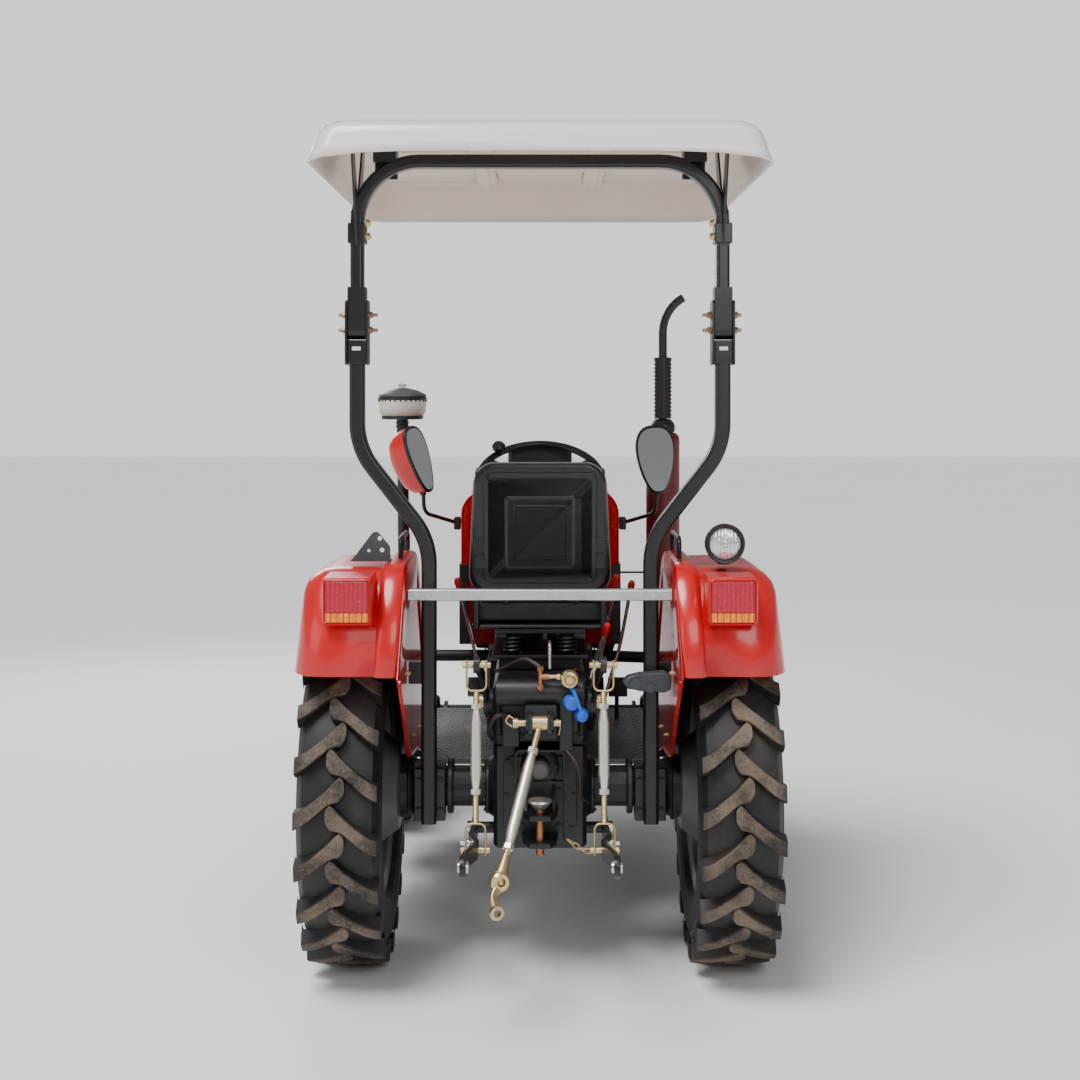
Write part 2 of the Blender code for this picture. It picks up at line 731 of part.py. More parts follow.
# ================================================================ floor and fenders
def make_platform(name, side):
    inner = GEARBOX_HALF_WIDTH + GAP
    bell = BELL_HALF_WIDTH + GAP
    bell_back = ENGINE_BACK - BELL_LENGTH - GAP
    outline = [
        (inner, PLATE_BACK),
        (FENDER_INNER - 0.004, PLATE_BACK),
        (FENDER_INNER - 0.004, PLATE_STEP),
        (PLATE_OUTER, PLATE_STEP),
        (PLATE_OUTER, PLATE_FRONT),
        (bell, PLATE_FRONT),
        (bell, bell_back),
        (inner, bell_back),
    ]
    outline = [(side * x, y) for x, y in outline]
    floor = plate_mesh(outline, "Z", PLATE_TOP - PLATE_THICKNESS, PLATE_TOP)
    platform = place(floor, "platform_" + name, "galvanised")
    rail = side_box(side, (bell, 0.990, 0.470), (PLATE_OUTER - 0.060, 1.030, PLATE_TOP - 0.010))
    front_edge = ENGINE_HALF_WIDTH + GAP + FRAME_RAIL + GAP
    clear = side_box(side, (0.0, ENGINE_BACK + 0.040, 0.400), (front_edge, PLATE_FRONT + 0.10, 0.620))
    join(platform, rail)
    return combine(platform, clear, "DIFFERENCE", "cut_frame")


def fender_path():
    """The fender's crown seen from the side, from its tail over the tyre to its foot."""
    return rounded(
        [
            (*FENDER_TAIL, 0.0),
            (-0.200, FENDER_TOP, 0.10),
            (0.320, FENDER_TOP, 0.16),
            (0.600, 0.880, 0.22),
            (FENDER_FOOT, PLATE_TOP + FOOT_GAP, 0.0),
        ],
        5,
    )


def make_fender(name, side):
    path = fender_path()
    bm = bmesh.new()
    crown = [bm.verts.new((side * FENDER_INNER, y, z)) for y, z in path]
    edges = [bm.edges.new(pair) for pair in zip(crown, crown[1:])]
    lower = [(0.420, PLATE_TOP + FOOT_GAP), (0.200, 0.600), (0.0, 0.625), (-0.100, 0.640)]
    below = [bm.verts.new((side * FENDER_INNER, y, z)) for y, z in lower]
    bm.faces.new(crown + below)
    strip = bmesh.ops.extrude_edge_only(bm, edges=edges)["geom"]
    outer = [item for item in strip if isinstance(item, bmesh.types.BMVert)]
    width = OVERALL_HALF_WIDTH - FENDER_INNER
    bmesh.ops.translate(bm, verts=outer, vec=(side * width, 0, 0))
    rim = [edge for edge in bm.edges if all(abs(v.co.x) > FENDER_INNER + 0.01 for v in edge.verts)]
    lip = bmesh.ops.extrude_edge_only(bm, edges=rim)["geom"]
    hem = [item for item in lip if isinstance(item, bmesh.types.BMVert)]
    axle = Vector((0.0, 0.0, REAR_TYRE_RADIUS))
    for vert in hem:
        inward = axle - vert.co
        inward.x = 0.0
        vert.co += inward.normalized() * 0.028
        vert.co.z = max(vert.co.z, PLATE_TOP + FOOT_GAP)
    bmesh.ops.recalc_face_normals(bm, faces=bm.faces[:])
    bm.faces.ensure_lookup_table()
    wall = max(bm.faces, key=lambda face: len(face.verts))
    if wall.normal.x * side > 0:
        bmesh.ops.reverse_faces(bm, faces=bm.faces[:])
    mesh = bpy.data.meshes.new("fender_" + name)
    bm.to_mesh(mesh)
    bm.free()
    mesh.materials.append(finish_material("red_paint"))
    fender = bpy.data.objects.new("fender_" + name, mesh)
    PARTS.objects.link(fender)
    fender.parent = TRACTOR
    soften(fender, FENDER_SHOULDER, 2, 60.0)
    shell = fender.modifiers.new("sheet", "SOLIDIFY")
    shell.thickness = FENDER_WALL
    shell.offset = -1.0
    return fender


def slope_y(height):
    """Where the fender's rear slope is at a height."""
    tail_y, tail_z = FENDER_TAIL
    return tail_y + (-0.200 - tail_y) * (height - tail_z) / (FENDER_TOP - tail_z)


def make_tail_lamp(name, side):
    """A lamp box whose front follows the fender's slope and whose lens stands upright."""
    low, high = 1.075, 1.215
    back = slope_y(low) - 0.045
    outline = [(back, low), (slope_y(low) - LAMP_SEAT, low), (slope_y(high) - LAMP_SEAT, high), (back, high)]
    x = sorted((side * 0.483, side * 0.629))
    return place(plate_mesh(outline, "X", x[0], x[1]), "tail_lamp_" + name, "lamp_red")


def make_work_lamp():
    x, y, z = 0.548, -0.200, 1.300
    lamp = place(cylinder_mesh((x, y - 0.055, z), (x, y, z), 0.060, 24), "work_lamp_right", "lamp_clear")
    back = cylinder_mesh((x, y - 0.001, z), (x, y + 0.045, z), 0.058, 24, 0.030)
    stem = box_mesh((x - 0.016, y - 0.012, FENDER_TOP + GAP), (x + 0.016, y + 0.020, z))
    foot = box_mesh((x - 0.016, y - 0.012, FENDER_TOP + GAP), (x + 0.016, y + 0.085, FENDER_TOP + 0.005))
    return join(lamp, back, stem, foot)


def make_lamp_bracket():
    """The bare bracket on the left fender, whose lamp is missing: a plate with three holes."""
    y = -0.120
    foot = FENDER_TOP + GAP
    corners = [(-0.575, foot, 0.0), (-0.455, foot, 0.0), (-0.455, 1.280, 0.01), (-0.500, 1.335, 0.015)]
    outline = rounded(corners, 3)
    bracket = place(plate_mesh(outline, "Y", y - 0.004, y), "lamp_bracket_left", "grey_plastic")
    base = box_mesh((-0.575, y - 0.004, foot), (-0.455, y + 0.050, foot + 0.004))
    join(bracket, base)
    holes = [
        cylinder_mesh((x, y - 0.020, z), (x, y + 0.020, z), radius, 16)
        for x, z, radius in ((-0.487, 1.305, 0.007), (-0.480, 1.270, 0.007), (-0.520, 1.268, 0.005))
    ]
    return cut(bracket, *holes)


# ================================================================ roll-over frame
def make_post(name, side):
    """A lower post: up from the axle, out in an S-bend, and up to the folding joint."""
    path = rounded(
        [
            (POST_LOWER_X, POST_FOOT, 0.0),
            (POST_LOWER_X, BEND_START, BEND_RADIUS),
            (POST_UPPER_X, BEND_END, BEND_RADIUS),
            (POST_UPPER_X, FOLD_HEIGHT - 0.043, 0.0),
        ],
        4,
    )
    outline = [(side * x, z) for x, z in band(path, POST_WIDTH)]
    post = place(plate_mesh(outline, "Y", POST_BACK, POST_FRONT), "rops_post_" + name, "black_paint")
    x = POST_UPPER_X
    cheek = rounded(
        [
            (POST_BACK - 0.006, CHEEK_BOTTOM, 0.010),
            (POST_FRONT + 0.006, CHEEK_BOTTOM, 0.010),
            (POST_FRONT + 0.006, CHEEK_TOP, 0.025),
            (POST_BACK - 0.006, CHEEK_TOP, 0.025),
        ],
        3,
    )
    pieces = [
        side_box(
            side,
            (x - CHEEK_HALF + 0.002, POST_BACK, CHEEK_BOTTOM + 0.003),
            (x + CHEEK_HALF - 0.002, POST_FRONT, FOLD_HEIGHT - 0.043),
        )
    ]
    for inner in (x - CHEEK_HALF, x + CHEEK_HALF - CHEEK_WALL):
        reach = sorted((side * inner, side * (inner + CHEEK_WALL)))
        pieces.append(plate_mesh(cheek, "X", reach[0], reach[1]))
    half = POST_WIDTH / 2
    foot_low = (POST_LOWER_X - 0.047, POST_FRONT - 0.016, POST_FOOT)
    pieces.append(side_box(side, foot_low, (POST_LOWER_X + 0.047, POST_FRONT, 0.600)))
    stay_low = (POST_LOWER_X + half - 0.004, POST_FRONT - 0.040, 0.860)
    pieces.append(side_box(side, stay_low, (FENDER_INNER - GAP, POST_FRONT - 0.010, 0.930)))
    return join(post, *pieces)


def make_crossbar():
    y = POST_BACK - GAP - CROSSBAR_RADIUS
    ends = [(x, y, CROSSBAR_HEIGHT) for x in (-CROSSBAR_HALF, CROSSBAR_HALF)]
    bar = cylinder_mesh(*ends, CROSSBAR_RADIUS)
    return place(bar, "crossbar", "galvanised")


def make_hoop():
    """The upper hoop, with its hinge blocks, sleeves, corner plates and canopy brackets."""
    x = POST_UPPER_X
    middle = HOOP_TOP - HOOP_WIDTH / 2
    start = FOLD_HEIGHT + 0.080
    path = rounded([(-x, start, 0.0), (-x, middle, HOOP_CORNER), (x, middle, HOOP_CORNER), (x, start, 0.0)], 6)
    origin = (0.0, FOLD_Y, FOLD_HEIGHT)
    frame = plate_mesh(band(path, HOOP_WIDTH), "Y", POST_BACK, POST_FRONT)
    hoop = place(frame, "rops_hoop", "black_paint", origin)
    radius = (POST_FRONT - POST_BACK) / 2
    block = rounded(
        [
            (FOLD_Y - radius, FOLD_HEIGHT - radius, radius * 0.98),
            (FOLD_Y + radius, FOLD_HEIGHT - radius, radius * 0.98),
            (FOLD_Y + radius, start + 0.060, 0.0),
            (FOLD_Y - radius, start + 0.060, 0.0),
        ],
        5,
    )
    roof = CANOPY_TOP - CANOPY_WALL - GAP
    brace = [(POST_BACK + 0.004, 2.190), (POST_FRONT - 0.004, 2.190), (0.080, roof), (-0.320, roof)]
    window = rounded([(-0.120, 2.370, 0.008), (-0.020, 2.480, 0.012), (-0.220, 2.480, 0.012)], 3)
    pieces = []
    for _, side in SIDES:
        half = CHEEK_HALF - CHEEK_WALL - GAP
        reach = sorted((side * (x - half), side * (x + half)))
        pieces.append(plate_mesh(block, "X", reach[0], reach[1]))
        low = (x - 0.030, POST_BACK - 0.005, SLEEVE_BOTTOM)
        pieces.append(side_box(side, low, (x + 0.030, POST_FRONT + 0.005, SLEEVE_TOP - 0.070)))
        reach = sorted((side * (x - 0.004), side * (x + 0.004)))
        pieces.append(plate_mesh(brace, "X", reach[0], reach[1]))
        pieces.append(side_box(side, (0.330, POST_BACK, HOOP_TOP - 0.010), (0.370, POST_FRONT, roof)))
    join(hoop, *pieces)
    windows = [plate_mesh(window, "X", *sorted((side * (x - 0.008), side * (x + 0.008)))) for _, side in SIDES]
    return cut(hoop, *windows)


def make_canopy():
    """A rounded fibreglass roof, open below, with a skirt that drops a little to the front."""
    low = (-CANOPY_BACK_HALF, CANOPY_BACK, CANOPY_BACK_LIP)
    bm = box_mesh(low, (CANOPY_BACK_HALF, CANOPY_FRONT, CANOPY_TOP))
    for vert in bm.verts:
        if vert.co.y > 0:
            vert.co.x *= CANOPY_FRONT_HALF / CANOPY_BACK_HALF
            if vert.co.z < CANOPY_TOP - 0.01:
                vert.co.z = CANOPY_FRONT_LIP
    upright = [edge for edge in bm.edges if abs(edge.verts[0].co.z - edge.verts[1].co.z) > 0.05]
    bmesh.ops.bevel(bm, geom=upright, offset=CANOPY_CORNER, segments=4, profile=0.5, affect="EDGES")
    top = [edge for edge in bm.edges if all(v.co.z > CANOPY_TOP - 0.01 for v in edge.verts)]
    bmesh.ops.bevel(bm, geom=top, offset=0.030, segments=3, profile=0.5, affect="EDGES")
    under = [face for face in bm.faces if face.normal.z < -0.5]
    bmesh.ops.delete(bm, geom=under, context="FACES_ONLY")
    canopy = place(bm, "canopy", "canopy_white", (0.0, FOLD_Y, FOLD_HEIGHT))
    shell = canopy.modifiers.new("fibreglass", "SOLIDIFY")
    shell.thickness = CANOPY_WALL
    shell.offset = -1.0
    shell.use_even_offset = True
    return canopy


# ================================================================ seat
def make_seat_base():
    """The deck plate, two spring towers and the plate that the seat pan stands on."""
    base = place(
        box_mesh((-0.150, 0.0, DECK_TOP - 0.014), (0.150, 0.340, DECK_TOP), 0.003), "seat_base", "black_paint"
    )
    pieces = [box_mesh((-0.130, 0.020, LIFT_HOUSING_TOP + GAP), (0.130, 0.300, DECK_TOP - 0.010))]
    for x in (-0.085, 0.085):
        for y in (0.060, 0.280):
            foot, head = (x, y, DECK_TOP - 0.005), (x, y, SEAT_PAN_HEIGHT - 0.010)
            pieces.append(cylinder_mesh(foot, head, SPRING_RADIUS, 16))
    top = SEAT_PAN_HEIGHT - GAP
    pieces.append(box_mesh((-0.140, 0.010, SEAT_PAN_HEIGHT - 0.016), (0.140, 0.330, top)))
    return join(base, *pieces)


def seat_back_line(height, forward):
    """A point on the reclined back, by its height and its distance in front of the shell."""
    lean = math.tan(SEAT_TILT)
    return (SEAT_PAN_BACK - (height - SEAT_PAN_HEIGHT) * lean + forward, height)


def make_seat_shell():
    """An L-shaped plastic pan: the floor under the cushion and the reclined back."""
    low = SEAT_PAN_HEIGHT
    top = SEAT_BACK_TOP
    outline = [
        seat_back_line(low, 0.0),
        (SEAT_PAN_FRONT, low),
        (SEAT_PAN_FRONT, low + SHELL_WALL),
        seat_back_line(low + SHELL_WALL, SHELL_WALL),
        seat_back_line(top, SHELL_WALL),
        seat_back_line(top, 0.0),
    ]
    half = SEAT_HALF_WIDTH
    shell = place(plate_mesh(outline, "X", -half, half), "seat_shell", "black_plastic")
    return soften(shell, 0.004, 1)


def make_seat_cushion():
    low = SEAT_PAN_HEIGHT + SHELL_WALL + GAP
    back = seat_back_line(low, SHELL_WALL)[0] + 0.010
    half = SEAT_HALF_WIDTH - 0.004
    high = (half, SEAT_PAN_FRONT + 0.015, low + CUSHION_THICKNESS)
    cushion = box_mesh((-half, back, low), high, 0.022, 3)
    return place(cushion, "seat_cushion", "seat_vinyl")


def make_seat_back():
    low = SEAT_PAN_HEIGHT + SHELL_WALL + CUSHION_THICKNESS + 0.008
    top = SEAT_BACK_TOP - 0.004
    front = SHELL_WALL + BACK_THICKNESS
    back = SHELL_WALL + GAP * 2
    outline = rounded(
        [
            (*seat_back_line(low, back), 0.0),
            (*seat_back_line(low, front), 0.025),
            (*seat_back_line(top, front), 0.030),
            (*seat_back_line(top, back), 0.0),
        ],
        3,
    )
    half = SEAT_HALF_WIDTH - 0.006
    return place(plate_mesh(outline, "X", -half, half), "seat_back", "seat_vinyl")


# ================================================================ hood, cowl and dash
def body_mesh(back, front, back_half, front_half, front_top, round_nose):
    """The common shape of hood and cowl: a rounded box, open below."""
    bm = box_mesh((-back_half, back, HOOD_BOTTOM), (back_half, front, HOOD_TOP))
    for vert in bm.verts:
        if vert.co.y > (back + front) / 2:
            vert.co.x *= front_half / back_half
            if vert.co.z > HOOD_TOP - 0.01:
                vert.co.z = front_top
    shoulder = [
        edge
        for edge in bm.edges
        if abs(edge.verts[0].co.y - edge.verts[1].co.y) > 0.05 and edge.verts[0].co.z > HOOD_BOTTOM + 0.1
    ]
    bmesh.ops.bevel(bm, geom=shoulder, offset=HOOD_CORNER, segments=4, profile=0.5, affect="EDGES")
    if round_nose:
        nose = [
            edge
            for edge in bm.edges
            if all(v.co.y > front - 0.001 for v in edge.verts) and max(v.co.z for v in edge.verts) > HOOD_BOTTOM + 0.1
        ]
        bmesh.ops.bevel(bm, geom=nose, offset=0.050, segments=3, profile=0.5, affect="EDGES")
    return bm


def make_hood():
    """The tilting hood: sides, crown and nose in one sheet, open below and behind."""
    bm = body_mesh(HOOD_BACK, HOOD_FRONT, HOOD_HALF_WIDTH, HOOD_NOSE_HALF, HOOD_NOSE_TOP, True)
    bmesh.ops.recalc_face_normals(bm, faces=bm.faces[:])
    gone = [face for face in bm.faces if face.normal.z < -0.5 or face.normal.y < -0.5]
    bmesh.ops.delete(bm, geom=gone, context="FACES_ONLY")
    hood = place(bm, "hood", "red_paint", (0.0, HOOD_BACK, HOOD_TOP))
    shell = hood.modifiers.new("sheet", "SOLIDIFY")
    shell.thickness = HOOD_WALL
    shell.offset = -1.0
    shell.use_even_offset = True
    window = box_mesh(
        (-GRILLE_HALF_WIDTH, HOOD_FRONT - 0.1, GRILLE_BOTTOM),
        (GRILLE_HALF_WIDTH, HOOD_FRONT + 0.1, GRILLE_TOP),
    )
    return cut(hood, window)


def make_grille():
    half = GRILLE_HALF_WIDTH - GAP
    low = (-half, HOOD_FRONT - 0.020, GRILLE_BOTTOM + GAP)
    high = (half, HOOD_FRONT - 0.002, GRILLE_TOP - GAP)
    return place(box_mesh(low, high), "grille", "black_plastic", (0.0, HOOD_BACK, HOOD_TOP))


def make_cowl():
    """The fixed shroud behind the hood, with the tongue that carries the hood's hinge."""
    front = HOOD_BACK - COWL_JOINT
    bm = body_mesh(COWL_BACK, front, HOOD_HALF_WIDTH, HOOD_HALF_WIDTH, HOOD_TOP, False)
    cowl = place(bm, "cowl", "red_paint")
    fall = (HOOD_TOP - HOOD_NOSE_TOP) / (HOOD_FRONT - HOOD_BACK)
    roof = HOOD_TOP - HOOD_WALL - 2 * GAP
    tip = HOOD_BACK + TONGUE_REACH
    under = [(front - 0.020, roof), (HOOD_BACK, roof), (tip, roof - fall * TONGUE_REACH)]
    under += [(tip, roof - 0.030), (front - 0.020, roof - 0.030)]
    tongue = plate_mesh(under, "X", -0.060, 0.060)
    join(cowl, tongue)
    wall = COWL_WALL
    bay = box_mesh(
        (-HOOD_HALF_WIDTH + wall, COWL_BACK + wall, HOOD_BOTTOM - 0.02),
        (HOOD_HALF_WIDTH - wall, front + 0.10, HOOD_TOP - HOOD_CORNER - wall),
    )
    return cut(cowl, bay)


def column_point(distance):
    """A point down the steering column from the middle of the wheel."""
    x, y, z = WHEEL_CENTRE
    return (x, y + distance * math.sin(WHEEL_TILT), z - distance * math.cos(WHEEL_TILT))


def make_dash_console():
    """The console under the wheel, whose sloping face is square to the steering column."""
    _, face_y, face_z = column_point(COLUMN_LENGTH)
    rise = math.tan(WHEEL_TILT)
    low_face = (CONSOLE_BACK, face_z + (CONSOLE_BACK - face_y) * rise)
    high_y = CONSOLE_BACK + 0.110
    high_face = (high_y, face_z + (high_y - face_y) * rise)
    front = COWL_BACK - GAP
    outline = [
        (CONSOLE_BACK + 0.060, 0.802),
        (CONSOLE_BACK, 1.100),
        low_face,
        high_face,
        (high_y + 0.030, CONSOLE_TOP),
        (front, CONSOLE_TOP),
        (front, 0.802),
    ]
    half = CONSOLE_HALF_WIDTH
    console = place(plate_mesh(outline, "X", -half, half), "dash_console", "black_plastic")
    soften(console, 0.008, 2)
    start = column_point(0.050)
    column = cylinder_mesh(start, column_point(COLUMN_LENGTH + 0.010), COLUMN_RADIUS, 16)
    foot = box_mesh((-0.100, CONSOLE_BACK + 0.155, 0.8003), (0.100, front, 0.860))
    low = (-BINNACLE_HALF_WIDTH, front - 0.070, CONSOLE_TOP - 0.040)
    binnacle = box_mesh(low, (BINNACLE_HALF_WIDTH, front - 0.006, BINNACLE_TOP), 0.018, 3)
    return join(console, column, foot, binnacle)


def make_steering_wheel():
    """A round grip, three flat spokes and a hub."""
    turn = Matrix.Translation(WHEEL_CENTRE) @ Matrix.Rotation(WHEEL_TILT, 4, "X")
    grip = bmesh.new()
    ring = bmesh.ops.create_circle(
        grip,
        segments=8,
        radius=WHEEL_GRIP,
        matrix=Matrix.Translation((WHEEL_RADIUS, 0, 0)) @ Matrix.Rotation(math.pi / 2, 4, "X"),
    )
    edges = list({edge for vert in ring["verts"] for edge in vert.link_edges})
    bmesh.ops.spin(
        grip,
        geom=ring["verts"] + edges,
        axis=(0, 0, 1),
        cent=(0, 0, 0),
        angle=math.tau,
        steps=28,
        use_merge=True,
    )
    bmesh.ops.remove_doubles(grip, verts=grip.verts[:], dist=1e-6)
    bmesh.ops.transform(grip, matrix=turn, verts=grip.verts[:])
    wheel = place(grip, "steering_wheel", "black_plastic", WHEEL_CENTRE)
    hub = bmesh.new()
    add_cylinder(hub, (0, 0, -0.050 + GAP), (0, 0, 0.012), 0.042, 20, 0.036)
    bmesh.ops.transform(hub, matrix=turn, verts=hub.verts[:])
    pieces = [hub]
    for number in range(3):
        spoke = box_mesh((-0.016, 0.020, -0.008), (0.016, WHEEL_RADIUS, 0.002))
        angle = math.radians(60.0 + 120.0 * number)
        bmesh.ops.transform(spoke, matrix=turn @ Matrix.Rotation(angle, 4, "Z"), verts=spoke.verts[:])
        pieces.append(spoke)
    return join(wheel, *pieces)


# ================================================================ pipes and mirrors
def make_exhaust():
    """The upright muffler, its perforated guard, the bent tail and the pipe from the engine."""
    r = MUFFLER_RADIUS
    profile = [
        (0.0, SHIELD_TOP),
        (SHIELD_RADIUS, SHIELD_TOP),
        (SHIELD_RADIUS, MUFFLER_TOP + 0.050),
        (0.045, MUFFLER_TOP + 0.050),
        (0.045, MUFFLER_TOP + 0.006),
        (r - 0.014, MUFFLER_TOP),
        (r, MUFFLER_TOP - 0.020),
        (r, MUFFLER_BOTTOM + 0.020),
        (r - 0.014, MUFFLER_BOTTOM),
        (0.0, MUFFLER_BOTTOM),
    ]
    exhaust = place(
        turned_mesh(profile, (EXHAUST_X, EXHAUST_Y, 0.0), (0, 0, 1), 20), "exhaust", "black_paint"
    )
    tail_start = (EXHAUST_X, EXHAUST_Y, SHIELD_TOP - 0.020)
    tail_corner = (EXHAUST_X, EXHAUST_Y, TIP_TOP - 0.065)
    tail_end = (EXHAUST_X + 0.078, EXHAUST_Y, TIP_TOP - 0.012)
    tail = tube_mesh(bend(tail_start, tail_corner, tail_end, 0.060), TIP_RADIUS)
    pipe_end = (ENGINE_HALF_WIDTH + GAP, PIPE_Y, PIPE_HEIGHT)
    pipe_mid = (EXHAUST_X, PIPE_Y - 0.060, PIPE_HEIGHT)
    pipe_start = (EXHAUST_X, EXHAUST_Y, MUFFLER_BOTTOM + 0.020)
    pipe = tube_mesh(bend(pipe_start, pipe_mid, pipe_end, 0.060), PIPE_RADIUS)
    join(exhaust, tail, pipe)
    trim = box_mesh((0.0, PIPE_Y - 0.2, 0.60), (ENGINE_HALF_WIDTH + GAP, PIPE_Y + 0.2, 0.84))
    return combine(exhaust, trim, "DIFFERENCE", "cut_face")


def make_precleaner():
    """The cyclone bowl on its upright intake pipe, which turns in under the hood."""
    r = CLEANER_RADIUS
    base, top = CLEANER_BOTTOM, CLEANER_TOP
    profile = [
        (0.0, top),
        (0.012, top),
        (0.014, top - 0.012),
        (r - 0.006, top - 0.026),
        (r, top - 0.034),
        (r, top - 0.050),
        (r - 0.004, top - 0.052),
        (r - 0.012, base + 0.022),
        (r - 0.024, base),
        (0.0, base),
    ]
    cleaner = place(
        turned_mesh(profile, (CLEANER_X, CLEANER_Y, 0.0), (0, 0, 1), 24), "air_precleaner", "grey_plastic"
    )
    start = (CLEANER_X, CLEANER_Y, base + 0.015)
    corner = (CLEANER_X, PIPE_Y, PIPE_HEIGHT)
    end = (-ENGINE_HALF_WIDTH - GAP, PIPE_Y, PIPE_HEIGHT)
    join(cleaner, tube_mesh(bend(start, corner, end, 0.080), PIPE_RADIUS))
    trim = box_mesh((-ENGINE_HALF_WIDTH - GAP, PIPE_Y - 0.2, 0.60), (0.0, PIPE_Y + 0.2, 0.84))
    return combine(cleaner, trim, "DIFFERENCE", "cut_face")


def make_mirror(name, side):
    """A drop-shaped mirror head on a bent rod clamped to the cowl's side."""
    x, z = side * MIRROR_X, MIRROR_HEIGHT
    wide, tall = MIRROR_HALF_WIDTH, MIRROR_HALF_HEIGHT
    outline = rounded(
        [
            (x - wide, z + tall, 0.055),
            (x - wide * 0.55, z - tall, 0.040),
            (x + wide * 0.55, z - tall, 0.040),
            (x + wide, z + tall, 0.055),
        ],
        4,
    )
    rod_y = MIRROR_Y + MIRROR_DEPTH / 2
    shell = plate_mesh(outline, "Y", MIRROR_Y, MIRROR_Y + MIRROR_DEPTH)
    turn = Matrix.Rotation(MIRROR_TURN[name], 3, "Z")
    bmesh.ops.rotate(shell, verts=shell.verts[:], cent=(x, rod_y, z), matrix=turn)
    head = place(shell, "mirror_" + name, "mirror_red")
    clamp_x = side * (HOOD_HALF_WIDTH + GAP)
    clamp_y, clamp_z = 0.900, 1.270
    start = (clamp_x + side * 0.016, clamp_y, clamp_z)
    corner = (x, rod_y, clamp_z + 0.050)
    end = (x, rod_y, z - tall + 0.030)
    clamp = side_box(side, (HOOD_HALF_WIDTH + GAP, 0.875, 1.245), (HOOD_HALF_WIDTH + 0.028, 0.925, 1.295))
    return join(head, tube_mesh(bend(start, corner, end, 0.035), ARM_RADIUS), clamp)


# ================================================================ hitch
def bar_outline(start, end, depth, eye):
    """A flat bar seen from the side, with a round eye at each end."""
    start, end = Vector(start), Vector(end)
    along = (end - start).normalized()
    up = Vector((-along.y, along.x))
    points = []
    for centre, ahead, radius in ((start, -along, eye), (end, along, eye)):
        side = Vector((-ahead.y, ahead.x))
        waist = depth / 2
        reach = math.sqrt(max(radius * radius - waist * waist, 0.0))
        first = math.atan2(waist, -reach)
        for step in range(9):
            angle = -first + 2 * first * step / 8
            points.append(tuple(centre + (ahead * math.cos(angle) + side * math.sin(angle)) * radius))
    return points


def make_lift_housing():
    housing = place(
        box_mesh(
            (-LIFT_HOUSING_HALF, -0.230, HOUSING_TOP + GAP),
            (LIFT_HOUSING_HALF, 0.320, LIFT_HOUSING_TOP),
            0.012,
        ),
        "lift_housing",
        "cast_grey",
    )
    half = LIFT_HOUSING_HALF
    y, z = LIFT_SHAFT
    boss = LIFT_ARM_X - LIFT_ARM_WALL / 2 - GAP
    pieces = [cylinder_mesh((-boss, y, z), (boss, y, z), 0.040)]
    pieces.append(box_mesh((-half + 0.020, -0.280, 0.740), (half - 0.020, -0.220, 0.850), 0.010))
    pin_y, pin_z = TOP_PIN
    for x in (-0.034, 0.022):
        cheek = [(-0.270, 0.735), (-0.270, 0.845)]
        cheek += [(pin_y - 0.010, pin_z + 0.026), (pin_y - 0.026, pin_z - 0.026)]
        pieces.append(plate_mesh(cheek, "X", x, x + 0.012))
    return join(housing, *pieces)


def make_lift_arm(name, side):
    outline = bar_outline(LIFT_SHAFT, LIFT_ARM_END, 0.046, 0.036)
    middle = side * LIFT_ARM_X
    half = LIFT_ARM_WALL / 2
    arm = plate_mesh(outline, "X", middle - half, middle + half)
    return place(arm, "lift_arm_" + name, "black_paint", (0.0, *LIFT_SHAFT))


def make_lift_rod(name, side):
    """A threaded rod with a turnbuckle body between two round eyes beside arm and link."""
    x = side * (LIFT_ARM_X + LIFT_ARM_WALL / 2 + ROD_CLEARANCE + ROD_EYE / 2)
    top = Vector((x, *LIFT_ARM_END))
    low = Vector((x, *LINK_ROD_PIN))
    body = cylinder_mesh(top.lerp(low, 0.14), top.lerp(low, 0.62), 0.017, 16)
    rod = place(body, "lift_rod_" + name, "plated_gold", (0.0, *LIFT_ARM_END))
    shank = cylinder_mesh(top.lerp(low, 0.02), top.lerp(low, 0.98), 0.010, 12)
    half = Vector((ROD_EYE / 2, 0, 0))
    return join(rod, shank, *[cylinder_mesh(at - half, at + half, 0.024, 16) for at in (top, low)])


def make_lower_link(name, side):
    x = sorted((side * link_inner(), side * (link_inner() + LINK_WALL)))
    outline = bar_outline(LINK_PIVOT, LINK_END, LINK_DEPTH * 0.8, 0.030)
    bar = plate_mesh(outline, "X", x[0], x[1])
    link = place(bar, "lower_link_" + name, "black_paint", (0.0, *LINK_PIVOT))
    bore = cylinder_mesh((x[0] - 0.01, *LINK_END), (x[1] + 0.01, *LINK_END), 0.011, 16)
    return cut(link, bore)


def make_top_link():
    """The top link hangs from its pin, leaning back, down and a little to the left."""
    pin_y, pin_z = TOP_PIN
    end_y, end_z = TOP_LINK_END
    start = Vector((0.0, pin_y, pin_z))
    end = Vector((-TOP_LINK_LEAN, end_y, end_z))
    sleeve = cylinder_mesh(start.lerp(end, 0.22), start.lerp(end, 0.80), 0.017, 16)
    link = place(sleeve, "top_link", "plated_gold", start)
    shank = cylinder_mesh(start.lerp(end, 0.03), start.lerp(end, 0.97), 0.010, 12)
    eye = cylinder_mesh((-0.0214, pin_y, pin_z), (0.0214, pin_y, pin_z), 0.022, 16)
    ball = cylinder_mesh(end - Vector((0.018, 0, 0)), end + Vector((0.018, 0, 0)), 0.024, 16)
    return join(link, shank, eye, ball)


